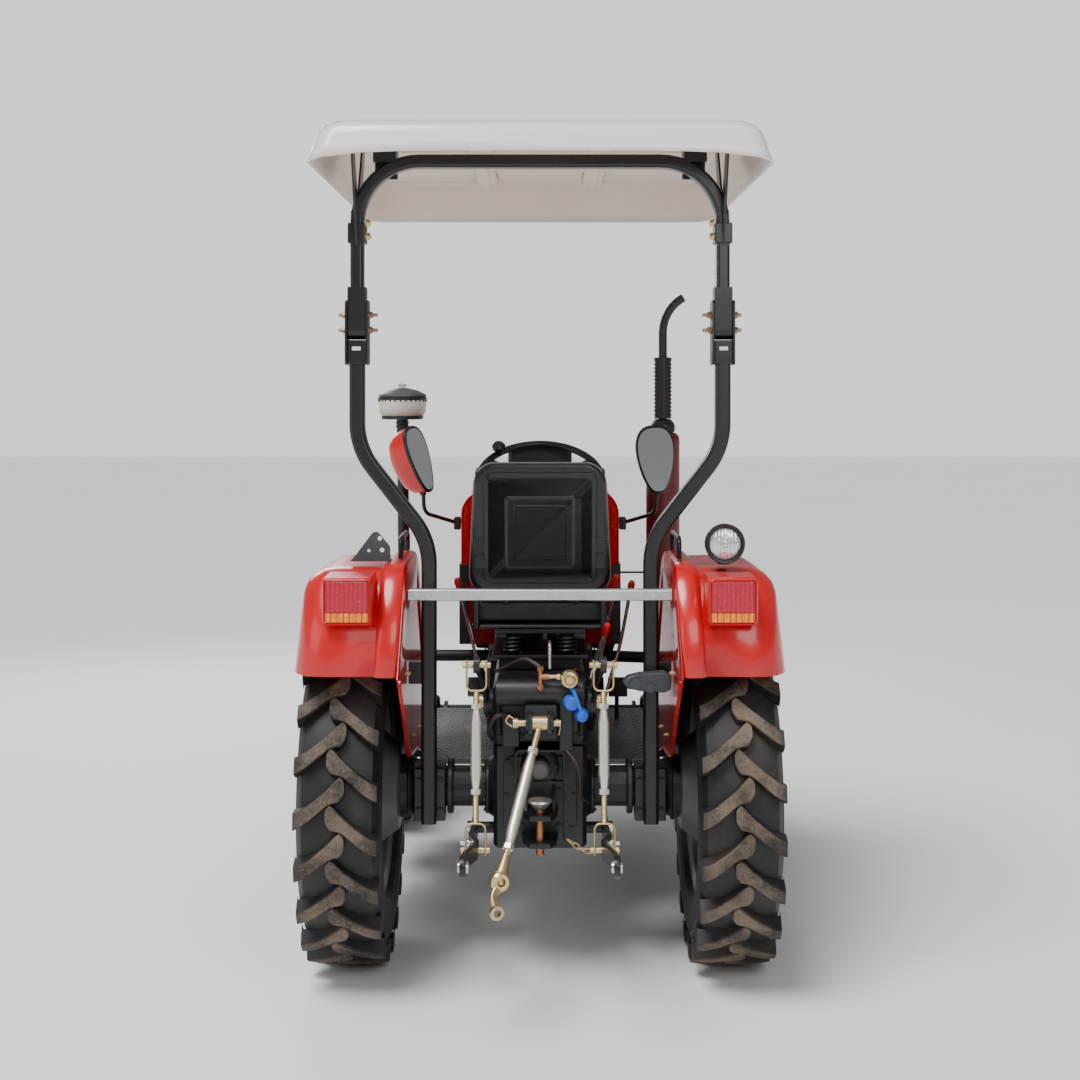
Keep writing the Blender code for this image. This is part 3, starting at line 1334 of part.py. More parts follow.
def make_drawbar():
    """The trailer hitch: an upright plate on the housing with two jaws and a pin."""
    back = HOUSING_BACK - GAP
    plate = box_mesh((-0.070, back - 0.020, 0.400), (0.070, back, 0.590), 0.003)
    hitch = place(plate, "drawbar", "cast_grey")
    jaws = []
    for z in JAW_HEIGHTS:
        jaws.append(box_mesh((-0.055, back - 0.150, z), (0.055, back - 0.010, z + JAW_WALL), 0.003))
    pin = cylinder_mesh((0, back - 0.110, 0.395), (0, back - 0.110, 0.550), 0.012, 16)
    return join(hitch, *jaws, pin)


def make_pto():
    back = HOUSING_BACK - GAP
    shaft = cylinder_mesh((0, back, PTO_HEIGHT), (0, back - 0.070, PTO_HEIGHT), PTO_RADIUS, 16)
    pto = place(shaft, "pto_shaft", "galvanised")
    guard = [(-0.075, 0.600), (-0.075, 0.695), (0.075, 0.695)]
    guard += [(0.075, 0.600), (0.068, 0.600), (0.068, 0.688)]
    guard += [(-0.068, 0.688), (-0.068, 0.600)]
    hood = plate_mesh(guard, "Y", back - 0.080, back)
    return join(pto, hood, box_mesh((-0.074, back - 0.012, 0.602), (0.074, back, 0.694)))


# ================================================================ assembly
make_rear_axle_housing()
make_transmission_housing()
make_engine_block()
make_front_frame()
make_weight_bracket()
make_radiator()
make_front_axle_beam()
make_steering_rod()
make_crossbar()
make_hoop()
make_canopy()
make_seat_base()
make_seat_shell()
make_seat_cushion()
make_seat_back()
make_hood()
make_grille()
make_cowl()
make_dash_console()
make_steering_wheel()
make_exhaust()
make_precleaner()
make_work_lamp()
make_lamp_bracket()
make_lift_housing()
make_top_link()
make_drawbar()
make_pto()
for side_name, side_sign in SIDES:
    make_wheel(("rear", side_name), side_sign, 0.0, REAR_TRACK, REAR_SIZES)
    make_wheel(("front", side_name), side_sign, WHEELBASE, FRONT_TRACK, FRONT_SIZES)
    make_knuckle(side_name, side_sign)
    make_platform(side_name, side_sign)
    make_fender(side_name, side_sign)
    make_tail_lamp(side_name, side_sign)
    make_post(side_name, side_sign)
    make_mirror(side_name, side_sign)
    make_lift_arm(side_name, side_sign)
    make_lift_rod(side_name, side_sign)
    make_lower_link(side_name, side_sign)
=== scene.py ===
"""Looks of the compact farm tractor, built round its fixed frame.

Laid out as an add-on and run as a script.  Shapes are drawn at tractor stations:
metres, +X to the right, +Y forward from the rear axle and +Z up from the ground.
"""

import math

import bmesh
import bpy
from mathutils import Matrix, Vector, noise


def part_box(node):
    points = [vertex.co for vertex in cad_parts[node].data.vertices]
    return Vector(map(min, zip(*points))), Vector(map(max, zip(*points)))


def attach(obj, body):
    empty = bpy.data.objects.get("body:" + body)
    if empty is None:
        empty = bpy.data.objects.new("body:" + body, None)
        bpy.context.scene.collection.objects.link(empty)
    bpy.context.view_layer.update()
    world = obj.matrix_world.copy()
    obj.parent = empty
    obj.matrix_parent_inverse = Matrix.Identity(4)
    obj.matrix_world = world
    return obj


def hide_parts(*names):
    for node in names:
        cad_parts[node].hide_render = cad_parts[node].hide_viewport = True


bl_info = {
    "name": "Compact farm tractor looks", "version": (1, 0, 0), "blender": (4, 5, 0),
    "location": "View3D > Sidebar > Tractor",
    "description": "Tyres, bodywork, seat, hitch and finishes for the farm tractor", "category": "Object",
}

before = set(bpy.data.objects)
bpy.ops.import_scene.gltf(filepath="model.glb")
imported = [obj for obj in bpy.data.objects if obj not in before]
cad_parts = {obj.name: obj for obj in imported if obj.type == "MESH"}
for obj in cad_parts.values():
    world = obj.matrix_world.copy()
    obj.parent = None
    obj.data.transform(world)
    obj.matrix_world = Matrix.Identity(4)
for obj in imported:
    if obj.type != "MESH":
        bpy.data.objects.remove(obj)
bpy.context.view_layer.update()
SIDES = (("left", -1), ("right", 1))


def station_box(node):
    """A node's low and high corners at tractor stations."""
    low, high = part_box(node)
    return low - ORIGIN, high - ORIGIN


TYRE_LOW, TYRE_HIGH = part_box("rear_tyre_right")
REAR_RADIUS = (TYRE_HIGH.z - TYRE_LOW.z) / 2
ORIGIN = Vector((0.0, (TYRE_LOW.y + TYRE_HIGH.y) / 2, 0.0))
FRONT_LOW, FRONT_HIGH = station_box("front_tyre_right")
WHEELBASE = (FRONT_LOW.y + FRONT_HIGH.y) / 2
FRONT_RADIUS = (FRONT_HIGH.z - FRONT_LOW.z) / 2
FENDER_LOW, FENDER_HIGH = station_box("fender_right")
CANOPY_LOW, CANOPY_HIGH = station_box("canopy")
SHELL_LOW, SHELL_HIGH = station_box("seat_shell")
HOOD_LOW, HOOD_HIGH = station_box("hood")
COWL_LOW, COWL_HIGH = station_box("cowl")
POST_LOW, POST_HIGH = station_box("rops_post_right")
PLATE_LOW, PLATE_HIGH = station_box("platform_right")


# ================================================================ settings
class TractorSizes(bpy.types.PropertyGroup):
    """Sizes of the details that are added to the frame."""

    lug_height: bpy.props.FloatProperty(
        name="Lug height", description="Depth of the rear tyres' tread", default=0.03, unit="LENGTH"
    )
    rear_lugs: bpy.props.IntProperty(
        name="Rear lugs", description="Tread bars on each half of a rear tyre", default=21, min=12, max=28
    )
    front_lugs: bpy.props.IntProperty(
        name="Front lugs", description="Tread bars on each half of a front tyre", default=18, min=10, max=24
    )
    tube_corner: bpy.props.FloatProperty(
        name="Tube corner", description="Corner radius of the roll frame's tube", default=0.01, unit="LENGTH"
    )
    canopy_ribs: bpy.props.FloatProperty(
        name="Canopy rib height", description="How far the ribs stand below the roof",
        default=0.03, unit="LENGTH"
    )
    spring_radius: bpy.props.FloatProperty(
        name="Seat spring radius", description="Radius of the two coil springs", default=0.026, unit="LENGTH"
    )


class TractorColours(bpy.types.PropertyGroup):
    """Base colours of the finishes."""

    red: bpy.props.FloatVectorProperty(
        name="Body red", description="Paint of hood and fenders", subtype="COLOR", default=(
            0.58, 0.002, 0.005
        )
    )
    black: bpy.props.FloatVectorProperty(
        name="Frame black", description="Paint of the roll frame", subtype="COLOR", default=(
            0.005, 0.005, 0.007
        )
    )
    canopy: bpy.props.FloatVectorProperty(
        name="Canopy white", description="Gel coat of the roof", subtype="COLOR", default=(0.84, 0.82, 0.77)
    )
    zinc: bpy.props.FloatVectorProperty(
        name="Yellow zinc", description="Plating of the hitch rods", subtype="COLOR", default=(
            0.66, 0.52, 0.27
        )
    )
    dust: bpy.props.FloatVectorProperty(
        name="Dust", description="Dry soil on tread and castings", subtype="COLOR", default=(
            0.3, 0.225, 0.155
        )
    )


def sizes():
    return bpy.context.scene.tractor_sizes


def colours():
    return bpy.context.scene.tractor_colours


# ================================================================ shader maths
class Value:
    """A shader socket; arithmetic on it adds Math nodes."""

    def __init__(self, graph, socket):
        self.graph = graph
        self.socket = socket

    def _join(self, operation, first, second):
        node = self.graph.add("ShaderNodeMath", {"operation": operation}, {0: first, 1: second})
        return Value(self.graph, node.outputs[0])

    def __add__(self, other):
        return self._join("ADD", self, other)

    def __radd__(self, other):
        return self._join("ADD", other, self)

    def __sub__(self, other):
        return self._join("SUBTRACT", self, other)

    def __rsub__(self, other):
        return self._join("SUBTRACT", other, self)

    def __mul__(self, other):
        return self._join("MULTIPLY", self, other)

    def __rmul__(self, other):
        return self._join("MULTIPLY", other, self)

    def __truediv__(self, other):
        return self._join("DIVIDE", self, other)

    def __pow__(self, other):
        return self._join("POWER", self, other)

    def over(self, low, high):
        """0 below low, 1 above high, smooth between."""
        node = self.graph.add(
            "ShaderNodeMapRange", {"interpolation_type": "SMOOTHSTEP"},
            {"Value": self, "From Min": low, "From Max": high},
        )
        return Value(self.graph, node.outputs["Result"])


class Finish:
    """A node material under construction."""

    def __init__(self, name):
        self.material = bpy.data.materials.new(name)
        self.material.use_nodes = True
        self.tree = self.material.node_tree
        self.shader = self.tree.nodes["Principled BSDF"]
        place = self.tree.nodes.new("ShaderNodeTexCoord")
        self.position = Value(self, place.outputs["Object"])

    def add(self, kind, settings, inputs):
        node = self.tree.nodes.new(kind)
        for name, value in settings.items():
            setattr(node, name, value)
        for name, value in inputs.items():
            self.plug(node.inputs[name], value)
        return node

    def plug(self, socket, value):
        if isinstance(value, Value):
            self.tree.links.new(value.socket, socket)
        else:
            socket.default_value = value

    def noise(self, scale, detail=3.0, rough=0.55, where=None):
        inputs = {"Vector": where or self.position, "Scale": scale, "Detail": detail, "Roughness": rough}
        return Value(self, self.add("ShaderNodeTexNoise", {}, inputs).outputs["Fac"])

    def cells(self, scale, feature="F1", where=None):
        inputs = {"Vector": where or self.position, "Scale": scale}
        return Value(self, self.add("ShaderNodeTexVoronoi", {"feature": feature}, inputs).outputs["Distance"])

    def wave(self, scale, direction="X", where=None, distortion=0.0):
        settings = {"wave_type": "BANDS", "bands_direction": direction}
        inputs = {"Vector": where or self.position, "Scale": scale, "Distortion": distortion}
        return Value(self, self.add("ShaderNodeTexWave", settings, inputs).outputs["Fac"])

    def stretched(self, scale):
        node = self.add("ShaderNodeMapping", {}, {"Vector": self.position, "Scale": scale})
        return Value(self, node.outputs[0])

    def parts(self, where=None):
        node = self.add("ShaderNodeSeparateXYZ", {}, {0: where or self.position})
        return [Value(self, socket) for socket in node.outputs]

    def blend(self, share, first, second):
        node = self.tree.nodes.new("ShaderNodeMix")
        node.data_type = "RGBA"
        for name, value in (("Factor", share), ("A", first), ("B", second)):
            kind = "VALUE" if name == "Factor" else "RGBA"
            socket = next(item for item in node.inputs if item.name == name and item.type == kind)
            if isinstance(value, Value) or kind == "VALUE":
                self.plug(socket, value)
            else:
                socket.default_value = (*value, 1.0)
        return Value(self, next(item for item in node.outputs if item.type == "RGBA"))

    def relief(self, height, strength, distance):
        inputs = {"Height": height, "Strength": strength, "Distance": distance}
        node = self.add("ShaderNodeBump", {}, inputs)
        self.plug(self.shader.inputs["Normal"], Value(self, node.outputs[0]))

    def done(self, colour, roughness, metallic=0.0, **constants):
        if isinstance(colour, tuple):
            colour = (*colour[:3], 1.0)
        self.plug(self.shader.inputs["Base Color"], colour)
        self.plug(self.shader.inputs["Roughness"], roughness)
        self.plug(self.shader.inputs["Metallic"], metallic)
        for name, value in constants.items():
            self.shader.inputs[name.replace("_", " ")].default_value = value
        return self.material


def scaled(colour, factor):
    return tuple(min(1.0, part * factor) for part in colour[:3])


def toward(colour, other, share):
    return tuple(a + (b - a) * share for a, b in zip(colour[:3], other[:3]))


MADE = {}


def finish(name):
    """The material of that name, made when it is first asked for."""
    if name not in MADE:
        for maker, table in ((moulded, MOULDED), (bare_metal, METALS), (lens, LENSES)):
            if name in table:
                MADE[name] = maker(name, *table[name])
                return MADE[name]
        MADE[name] = next(maker for maker in FINISHES if maker.__name__ == name)(name)
    return MADE[name]


def paint(name, colour, gloss, dust_share, coat):
    """Sprayed paint: slight orange peel, cloudy tone, dust that gathers in patches."""
    made = Finish(name)
    cloud = made.noise(3.1, 4.0)
    speck = made.noise(85.0, 5.0, 0.7)
    dust = (cloud * 0.6 + speck * 0.4).over(0.5, 0.72) * dust_share
    tone = made.blend(cloud, scaled(colour, 0.9), scaled(colour, 1.06))
    tone = made.blend(dust, tone, tuple(colours().dust))
    made.relief(made.noise(420.0, 2.0), 0.06, 0.0006)
    return made.done(tone, dust * 0.5 + cloud * 0.08 + gloss, 0.0, Coat_Weight=coat, Coat_Roughness=0.06)


def red_paint(name):
    return paint(name, tuple(colours().red), 0.24, 0.03, 0.3)


def black_paint(name):
    return paint(name, tuple(colours().black), 0.32, 0.05, 0.08)


def silver_paint(name):
    # Silver-grey rim paint set dark grey: painted shade on the rims, with dust in patches.
    return paint(name, (0.075, 0.075, 0.078), 0.4, 0.3, 0.1)


def casting(name):
    """Painted iron casting: coarse skin, oily dark tone and dry dust in patches."""
    made = Finish(name)
    grain = made.noise(160.0, 5.0, 0.65)
    patch = made.noise(6.0, 5.0, 0.6)
    dust = (patch * 0.7 + grain * 0.3).over(0.52, 0.7)
    tone = made.blend(dust * 0.25, (0.007, 0.008, 0.01), scaled(tuple(colours().dust), 0.35))
    made.relief(grain, 0.35, 0.0012)
    return made.done(tone, dust * 0.3 + 0.4, 0.0)


def bare_metal(name, colour, rough, stretch, wear):
    """Bare or plated steel with drawn streaks and dull patches."""
    made = Finish(name)
    streak = made.noise(60.0, 4.0, 0.6, made.stretched(stretch))
    patch = made.noise(14.0, 5.0, 0.65)
    dull = patch.over(0.45, 0.7) * wear
    tone = made.blend(streak, scaled(colour, 0.82), scaled(colour, 1.12))
    tone = made.blend(dull, tone, scaled(colour, 0.45))
    made.relief(streak, 0.1, 0.0004)
    return made.done(tone, streak * 0.12 + dull * 0.25 + rough, 0.9)


def yellow_zinc(name):
    return bare_metal(name, tuple(colours().zinc), 0.26, (5.0, 5.0, 1.0), 0.45)


def tread_plate(name):
    """Grey floor plate with raised bars."""
    made = Finish(name)
    patch = made.noise(9.0, 5.0, 0.6)
    tone = made.blend(patch, (0.1, 0.105, 0.11), (0.24, 0.25, 0.26))
    made.relief(made.noise(200.0, 3.0), 0.15, 0.0005)
    return made.done(tone, patch * 0.25 + 0.32, 0.75)


def tyre(name, radius, height):
    """Black rubber whose bar faces, by distance from the wheel's axis, are lightened in soil-coloured
    patches: partly dry soil, partly a painted highlight on the lug tops.
    """
    made = Finish(name)
    _, y, z = made.parts()
    centre_y, centre_z = (ORIGIN.y, REAR_RADIUS) if radius == REAR_RADIUS else (
        ORIGIN.y + WHEELBASE, FRONT_RADIUS
    )
    reach = ((y - centre_y) ** 2 + (z - centre_z) ** 2) ** 0.5
    face = reach.over(radius - height * 0.36, radius - height * 0.06)
    patch = made.noise(7.0, 5.0, 0.62)
    fine = made.noise(130.0, 4.0, 0.7)
    soil = (patch * 0.65 + fine * 0.35).over(0.36, 0.64)
    base = made.blend(
        patch.over(0.42, 0.75) * 0.25, (0.006, 0.006, 0.007), scaled(tuple(colours().dust), 0.35)
    )
    # Bar faces lightened towards soil colour in patches: partly dry soil, partly a painted highlight on the
    # lug tops.
    tone = made.blend(face * soil * 0.92, base, scaled(tuple(colours().dust), 0.55))
    made.relief(fine, 0.3, 0.0012)
    return made.done(tone, face * 0.2 + patch * 0.15 + 0.5, 0.0)


def rear_rubber(name):
    return tyre(name, REAR_RADIUS, sizes().lug_height)


def front_rubber(name):
    return tyre(name, FRONT_RADIUS, sizes().lug_height * FRONT_LUG_SHARE)


def gel_coat(name):
    """White outer gel coat with a faint fibre in its gloss."""
    made = Finish(name)
    fibre = made.noise(95.0, 5.0, 0.7, made.stretched((1.0, 3.0, 1.0)))
    cloud = made.noise(2.3, 3.0)
    white = tuple(colours().canopy)
    tone = made.blend(cloud * 0.6 + fibre * 0.15, white, scaled(white, 0.93))
    made.relief(fibre, 0.05, 0.0006)
    return made.done(tone, cloud * 0.12 + 0.26, 0.0, Coat_Weight=0.5, Coat_Roughness=0.1)


def laminate(name):
    made = Finish(name)
    fibre = made.noise(120.0, 5.0, 0.75, made.stretched((1.0, 2.0, 1.0)))
    cloud = made.noise(4.0, 4.0)
    tone = made.blend(cloud * 0.7 + fibre * 0.3, (0.8, 0.73, 0.64), (0.68, 0.6, 0.51))
    made.relief(fibre, 0.35, 0.0012)
    return made.done(tone, fibre * 0.15 + 0.5, 0.0)


def vinyl(name):
    """Black seat vinyl: leather-like pebbles and soft sheen."""
    made = Finish(name)
    pebble = made.cells(420.0, "DISTANCE_TO_EDGE")
    cloud = made.noise(12.0, 3.0)
    tone = made.blend(cloud, (0.006, 0.006, 0.007), (0.016, 0.016, 0.018))
    made.relief(pebble.over(0.0, 0.25) + cloud * 0.3, 0.3, 0.0007)
    return made.done(tone, cloud * 0.14 + 0.26, 0.0)


def moulded(name, colour, rough):
    """Moulded plastic with a fine spark-eroded grain."""
    made = Finish(name)
    grain = made.noise(620.0, 2.0)
    cloud = made.noise(9.0, 4.0)
    tone = made.blend(cloud.over(0.35, 0.75), colour, toward(colour, (0.25, 0.23, 0.2), 0.03))
    made.relief(grain, 0.18, 0.0005)
    return made.done(tone, cloud * 0.14 + rough, 0.0)


def bowl_plastic(name):
    """Milky bowl plastic, stained beige towards its foot."""
    made = Finish(name)
    _, _, z = made.parts()
    cloud = made.noise(22.0, 4.0)
    foot = (z + cloud * 0.02).over(1.665, 1.725)
    tone = made.blend(foot, (0.42, 0.36, 0.27), (0.68, 0.68, 0.64))
    return made.done(tone, cloud * 0.12 + 0.26, 0.0)


def dial_face(name):
    """Dark dial behind glass, with fine radial marks."""
    made = Finish(name)
    mark = made.cells(260.0, "DISTANCE_TO_EDGE")
    tone = made.blend(mark.over(0.0, 0.06), (0.16, 0.16, 0.16), (0.01, 0.01, 0.012))
    return made.done(tone, mark * 0.1 + 0.08, 0.0)


def lens(name, colour, ribs):
    """Coloured lens with moulded ribs and a lit depth."""
    made = Finish(name)
    rib = made.wave(ribs, "X")
    cell = made.cells(210.0)
    tone = made.blend(rib * 0.5 + cell * 0.6, scaled(colour, 0.55), scaled(colour, 1.15))
    made.relief(rib + cell * 0.8, 0.35, 0.0012)
    return made.done(tone, 0.16, 0.0, Coat_Weight=0.25, Emission_Strength=0.1, Emission_Color=(*colour, 1.0))


def clear_lens(name):
    """Pressed glass over a bright bowl: vertical flutes and a soft cell pattern."""
    made = Finish(name)
    flute = made.wave(30.0, "X")
    cell = made.cells(120.0)
    tone = made.blend(flute * 0.6 + cell * 0.5, (0.42, 0.44, 0.46), (0.93, 0.95, 0.96))
    made.relief(flute + cell, 0.5, 0.0015)
    return made.done(tone, 0.08, 0.55, Coat_Weight=1.0)


def mirror_glass(name):
    made = Finish(name)
    haze = made.noise(18.0, 3.0)
    tone = made.blend(haze * 0.3, (0.8, 0.82, 0.84), (0.62, 0.64, 0.66))
    return made.done(tone, haze * 0.05 + 0.02, 1.0)


def heat_paint(name):
    """Matt black heat paint with a rust bloom."""
    made = Finish(name)
    patch = made.noise(16.0, 6.0, 0.68)
    rust = patch.over(0.56, 0.74)
    tone = made.blend(rust * 0.45, (0.016, 0.014, 0.014), (0.17, 0.055, 0.025))
    made.relief(patch, 0.25, 0.001)
    return made.done(tone, rust * 0.2 + 0.46, 0.1)


def muffler_red(name):
    """Dark red and near-black patches on the muffler's can: the red is a painted reflection of the red hood.
    """
    made = Finish(name)
    patch = made.noise(13.0, 5.0, 0.65)
    tone = made.blend(patch.over(0.42, 0.72) * 0.9, (0.16, 0.007, 0.009), (0.025, 0.01, 0.01))
    made.relief(patch, 0.12, 0.0008)
    return made.done(tone, patch * 0.2 + 0.32, 0.0)


def radiator_fins(name):
    made = Finish(name)
    fin = made.wave(160.0, "Z")
    tone = made.blend(fin, (0.012, 0.012, 0.013), (0.075, 0.075, 0.08))
    made.relief(fin, 0.8, 0.002)
    return made.done(tone, 0.5, 0.3)


def studio_floor(name):
    made = Finish(name)
    cloud = made.noise(0.7, 2.0)
    tone = made.blend(cloud, (0.86, 0.86, 0.86), (0.9, 0.9, 0.9))
    return made.done(tone, 0.6)


# Finishes with a function of their own.
FINISHES = (
    red_paint, black_paint, silver_paint, casting, yellow_zinc, tread_plate, rear_rubber, front_rubber
)
FINISHES += (gel_coat, laminate, vinyl, bowl_plastic, dial_face, clear_lens, mirror_glass, heat_paint)
FINISHES += (muffler_red, radiator_fins, studio_floor)

# Plastics and plain paints: colour, roughness.
MOULDED = {
    "black_plastic": ((0.006, 0.006, 0.007), 0.36), "shell_plastic": ((0.004, 0.005, 0.008), 0.26),
    "grey_plastic": ((0.085, 0.085, 0.08), 0.34), "piping_grey": ((0.16, 0.16, 0.16), 0.4),
    # The brown-grey strip colour below stands for the shade beside the canopy ribs: painted shade.
    "dark_seam": ((0.28, 0.22, 0.17), 0.6), "blue_plastic": ((0.01, 0.11, 0.62), 0.26),
    "red_plastic": ((0.6, 0.008, 0.012), 0.18), "slate_paint": ((0.04, 0.052, 0.06), 0.45),
    "cable_brown": ((0.03, 0.02, 0.016), 0.45), "grip_plastic": ((0.55, 0.01, 0.012), 0.28),
    "label_white": ((0.78, 0.78, 0.76), 0.4),
}

# Bare and plated metals: colour, roughness, stretch of the streaks, wear.
METALS = {
    "galvanised": ((0.62, 0.64, 0.66), 0.26, (1.0, 8.0, 8.0), 0.35),
    "pale_zinc": ((0.78, 0.76, 0.66), 0.3, (5.0, 5.0, 1.0), 0.3),
    "bright_steel": ((0.66, 0.67, 0.69), 0.18, (4.0, 4.0, 1.0), 0.25),
    "bronze_zinc": ((0.36, 0.24, 0.15), 0.34, (3.0, 3.0, 1.0), 0.55),
    "copper": ((0.42, 0.18, 0.09), 0.32, (3.0, 3.0, 1.0), 0.5),
}

# Lamp lenses: colour, scale of the ribs.
LENSES = {"red_lens": ((0.46, 0.003, 0.03), 24.0), "amber_lens": ((0.9, 0.22, 0.01), 24.0)}


# ================================================================ shapes
def piece(bm, name, look, stands_for=(), body="root", turn_out=True, crease=35.0):
    """Turns a bmesh drawn at tractor stations into a piece that rides on a body."""
    if turn_out:
        bmesh.ops.recalc_face_normals(bm, faces=bm.faces[:])
    bmesh.ops.translate(bm, verts=bm.verts[:], vec=ORIGIN)
    mesh = bpy.data.meshes.new(name)
    bm.to_mesh(mesh)
    bm.free()
    mesh.materials.append(finish(look))
    mesh.shade_smooth()
    mesh.set_sharp_from_angle(angle=math.radians(crease))
    obj = bpy.data.objects.new(name, mesh)
    bpy.context.scene.collection.objects.link(obj)
    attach(obj, body)
    if stands_for:
        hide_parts(*stands_for)
    if turn_out and crease < 60.0:
        obj.modifiers.new("flat faces", "WEIGHTED_NORMAL").keep_sharp = True
    return obj


def shell_wall(obj, thickness, offset=-1.0):
    wall = obj.modifiers.new("wall", "SOLIDIFY")
    wall.thickness = thickness
    wall.offset = offset
    wall.use_even_offset = True
    return obj


def bevel_edges(bm, edges, offset, segments):
    bmesh.ops.bevel(
        bm, geom=edges, offset=offset, segments=segments,
        profile=0.5, affect="EDGES", material=-1, clamp_overlap=True
    )


def box(bm, low, high, bevel=0.0, segments=2):
    """Adds a box between two corners, with rounded edges."""
    low, high = Vector(low), Vector(high)
    matrix = Matrix.Translation((low + high) / 2) @ Matrix.Diagonal((*(high - low), 1.0))
    made = bmesh.ops.create_cube(bm, size=1.0, matrix=matrix)["verts"]
    if bevel:
        edges = list({edge for vert in made for edge in vert.link_edges})
        bevel_edges(bm, edges, bevel, segments)
    return made


def side_box(bm, side, low, high, bevel=0.0, segments=2):
    x = sorted((side * low[0], side * high[0]))
    return box(bm, (x[0], low[1], low[2]), (x[1], high[1], high[2]), bevel, segments)


def facing(start, end):
    along = Vector(end) - Vector(start)
    turn = Vector((0, 0, 1)).rotation_difference(along).to_matrix().to_4x4()
    return Matrix.Translation((Vector(start) + Vector(end)) / 2) @ turn, along.length


def rod(bm, start, end, radius, steps=24, end_radius=None):
    """Adds a closed cylinder or cone between two points."""
    matrix, length = facing(start, end)
    top = radius if end_radius is None else end_radius
    return bmesh.ops.create_cone(
        bm, cap_ends=True, segments=steps, radius1=radius, radius2=top, depth=length, matrix=matrix
    )["verts"]


def lathe(bm, profile, centre, direction, steps=48, closed=False):
    """Adds a turned shape from (radius, along) points about an axis through centre."""
    corners = [bm.verts.new((radius, 0.0, along)) for radius, along in profile]
    edges = [bm.edges.new(pair) for pair in zip(corners, corners[1:])]
    if closed:
        edges.append(bm.edges.new((corners[-1], corners[0])))
    bmesh.ops.spin(
        bm, geom=corners + edges, axis=(0, 0, 1), cent=(0, 0, 0), angle=math.tau, steps=steps, use_merge=True
    )
    made = list(joined_to(corners))
    bmesh.ops.remove_doubles(bm, verts=made, dist=1e-6)
    made = [vert for vert in made if vert.is_valid]
    turn = Vector((0, 0, 1)).rotation_difference(Vector(direction)).to_matrix().to_4x4()
    bmesh.ops.transform(bm, matrix=Matrix.Translation(Vector(centre)) @ turn, verts=made)
    return made


def joined_to(verts):
    """Every vertex that edges connect to these."""
    found = set(verts)
    stack = list(verts)
    while stack:
        for edge in stack.pop().link_edges:
            for vert in edge.verts:
                if vert not in found:
                    found.add(vert)
                    stack.append(vert)
    return found


def ring_of(bm, points):
    corners = [bm.verts.new(point) for point in points]
    return corners, [bm.edges.new((corners[i], corners[i - 1])) for i in range(len(corners))]


def loft(bm, rings, capped=True):
    """Bridges closed rings of equal count, and closes both ends."""
    made = [ring_of(bm, points) for points in rings]
    for (_, first), (_, second) in zip(made, made[1:]):
        bmesh.ops.bridge_loops(bm, edges=first + second)
    if capped:
        bm.faces.new(made[0][0])
        bm.faces.new(made[-1][0])
    return [vert for corners, _ in made for vert in corners]


def spaced(count, offset=0.0):
    """(cosine, sine) of evenly spaced angles round a full turn."""
    angles = [math.tau * (number + offset) / count for number in range(count)]
    return [(math.cos(angle), math.sin(angle)) for angle in angles]


def circle(radius, steps):
    return [(radius * a, radius * b) for a, b in spaced(steps)]


def rounded(width, depth, corner, steps=4):
    points = []
    for quarter in range(4):
        sign_a = 1 if quarter in (0, 3) else -1
        sign_b = 1 if quarter in (0, 1) else -1
        for step in range(steps + 1):
            angle = math.pi / 2 * (quarter + step / steps)
            a = sign_a * (width / 2 - corner) + corner * math.cos(angle)
            b = sign_b * (depth / 2 - corner) + corner * math.sin(angle)
            points.append((a, b))
    return points


def sweep(bm, path, section, first_side=(0, 1, 0)):
    """Carries a flat section along a path, with its second direction kept near first_side."""
    path = [Vector(point) for point in path]
    rings = []
    side = Vector(first_side)
    for index, here in enumerate(path):
        before = (here - path[index - 1]).normalized() if index else (path[1] - here).normalized()
        after = (path[index + 1] - here).normalized() if index < len(path) - 1 else before
        ahead = (before + after).normalized()
        side = (side - ahead * side.dot(ahead)).normalized()
        across = side.cross(ahead).normalized()
        stretch = 1.0 / max(0.5, ahead.dot(after))
        if (after - before).length <= 1e-6:
            stretch = 1.0
        rings.append([here + across * a * stretch + side * b for a, b in section])
    return loft(bm, rings)


def bent(corners, steps=8):
    """Points of a path through (x, y, z, radius) corners, each turned as an arc."""
    points = []
    for index, corner in enumerate(corners):
        here = Vector(corner[:3])
        radius = corner[3]
        if radius <= 0 or index in (0, len(corners) - 1):
            points.append(here)
            continue
        back = (Vector(corners[index - 1][:3]) - here).normalized()
        on = (Vector(corners[index + 1][:3]) - here).normalized()
        half = back.angle(on) / 2
        centre = here + (back + on).normalized() * (radius / math.sin(half))
        first = here + back * (radius / math.tan(half)) - centre
        axis = first.cross(here + on * (radius / math.tan(half)) - centre)
        sweep_angle = math.pi - 2 * half
        points += [
            centre + Matrix.Rotation(sweep_angle * i / steps, 3, axis) @ first for i in range(steps + 1)
        ]
    return points


def curve(points, per_span=6):
    """A Catmull-Rom curve through given points."""
    points = [Vector(point) for point in points]
    ends = [points[0] * 2 - points[1]] + points + [points[-1] * 2 - points[-2]]
    made = []
    for a, b, c, d in zip(ends, ends[1:], ends[2:], ends[3:]):
        for step in range(per_span):
            t = step / per_span
            made.append(
                0.5 * (
                    2 * b + (c - a) * t + (2 * a - 5 * b + 4 * c - d) * t * t
                    + (3 * b - a - 3 * c + d) * t ** 3
                )
            )
    return made + [points[-1]]


def pipe(bm, path, radius, steps=12):
    return sweep(bm, path, circle(radius, steps), (0.13, 0.31, 0.94))


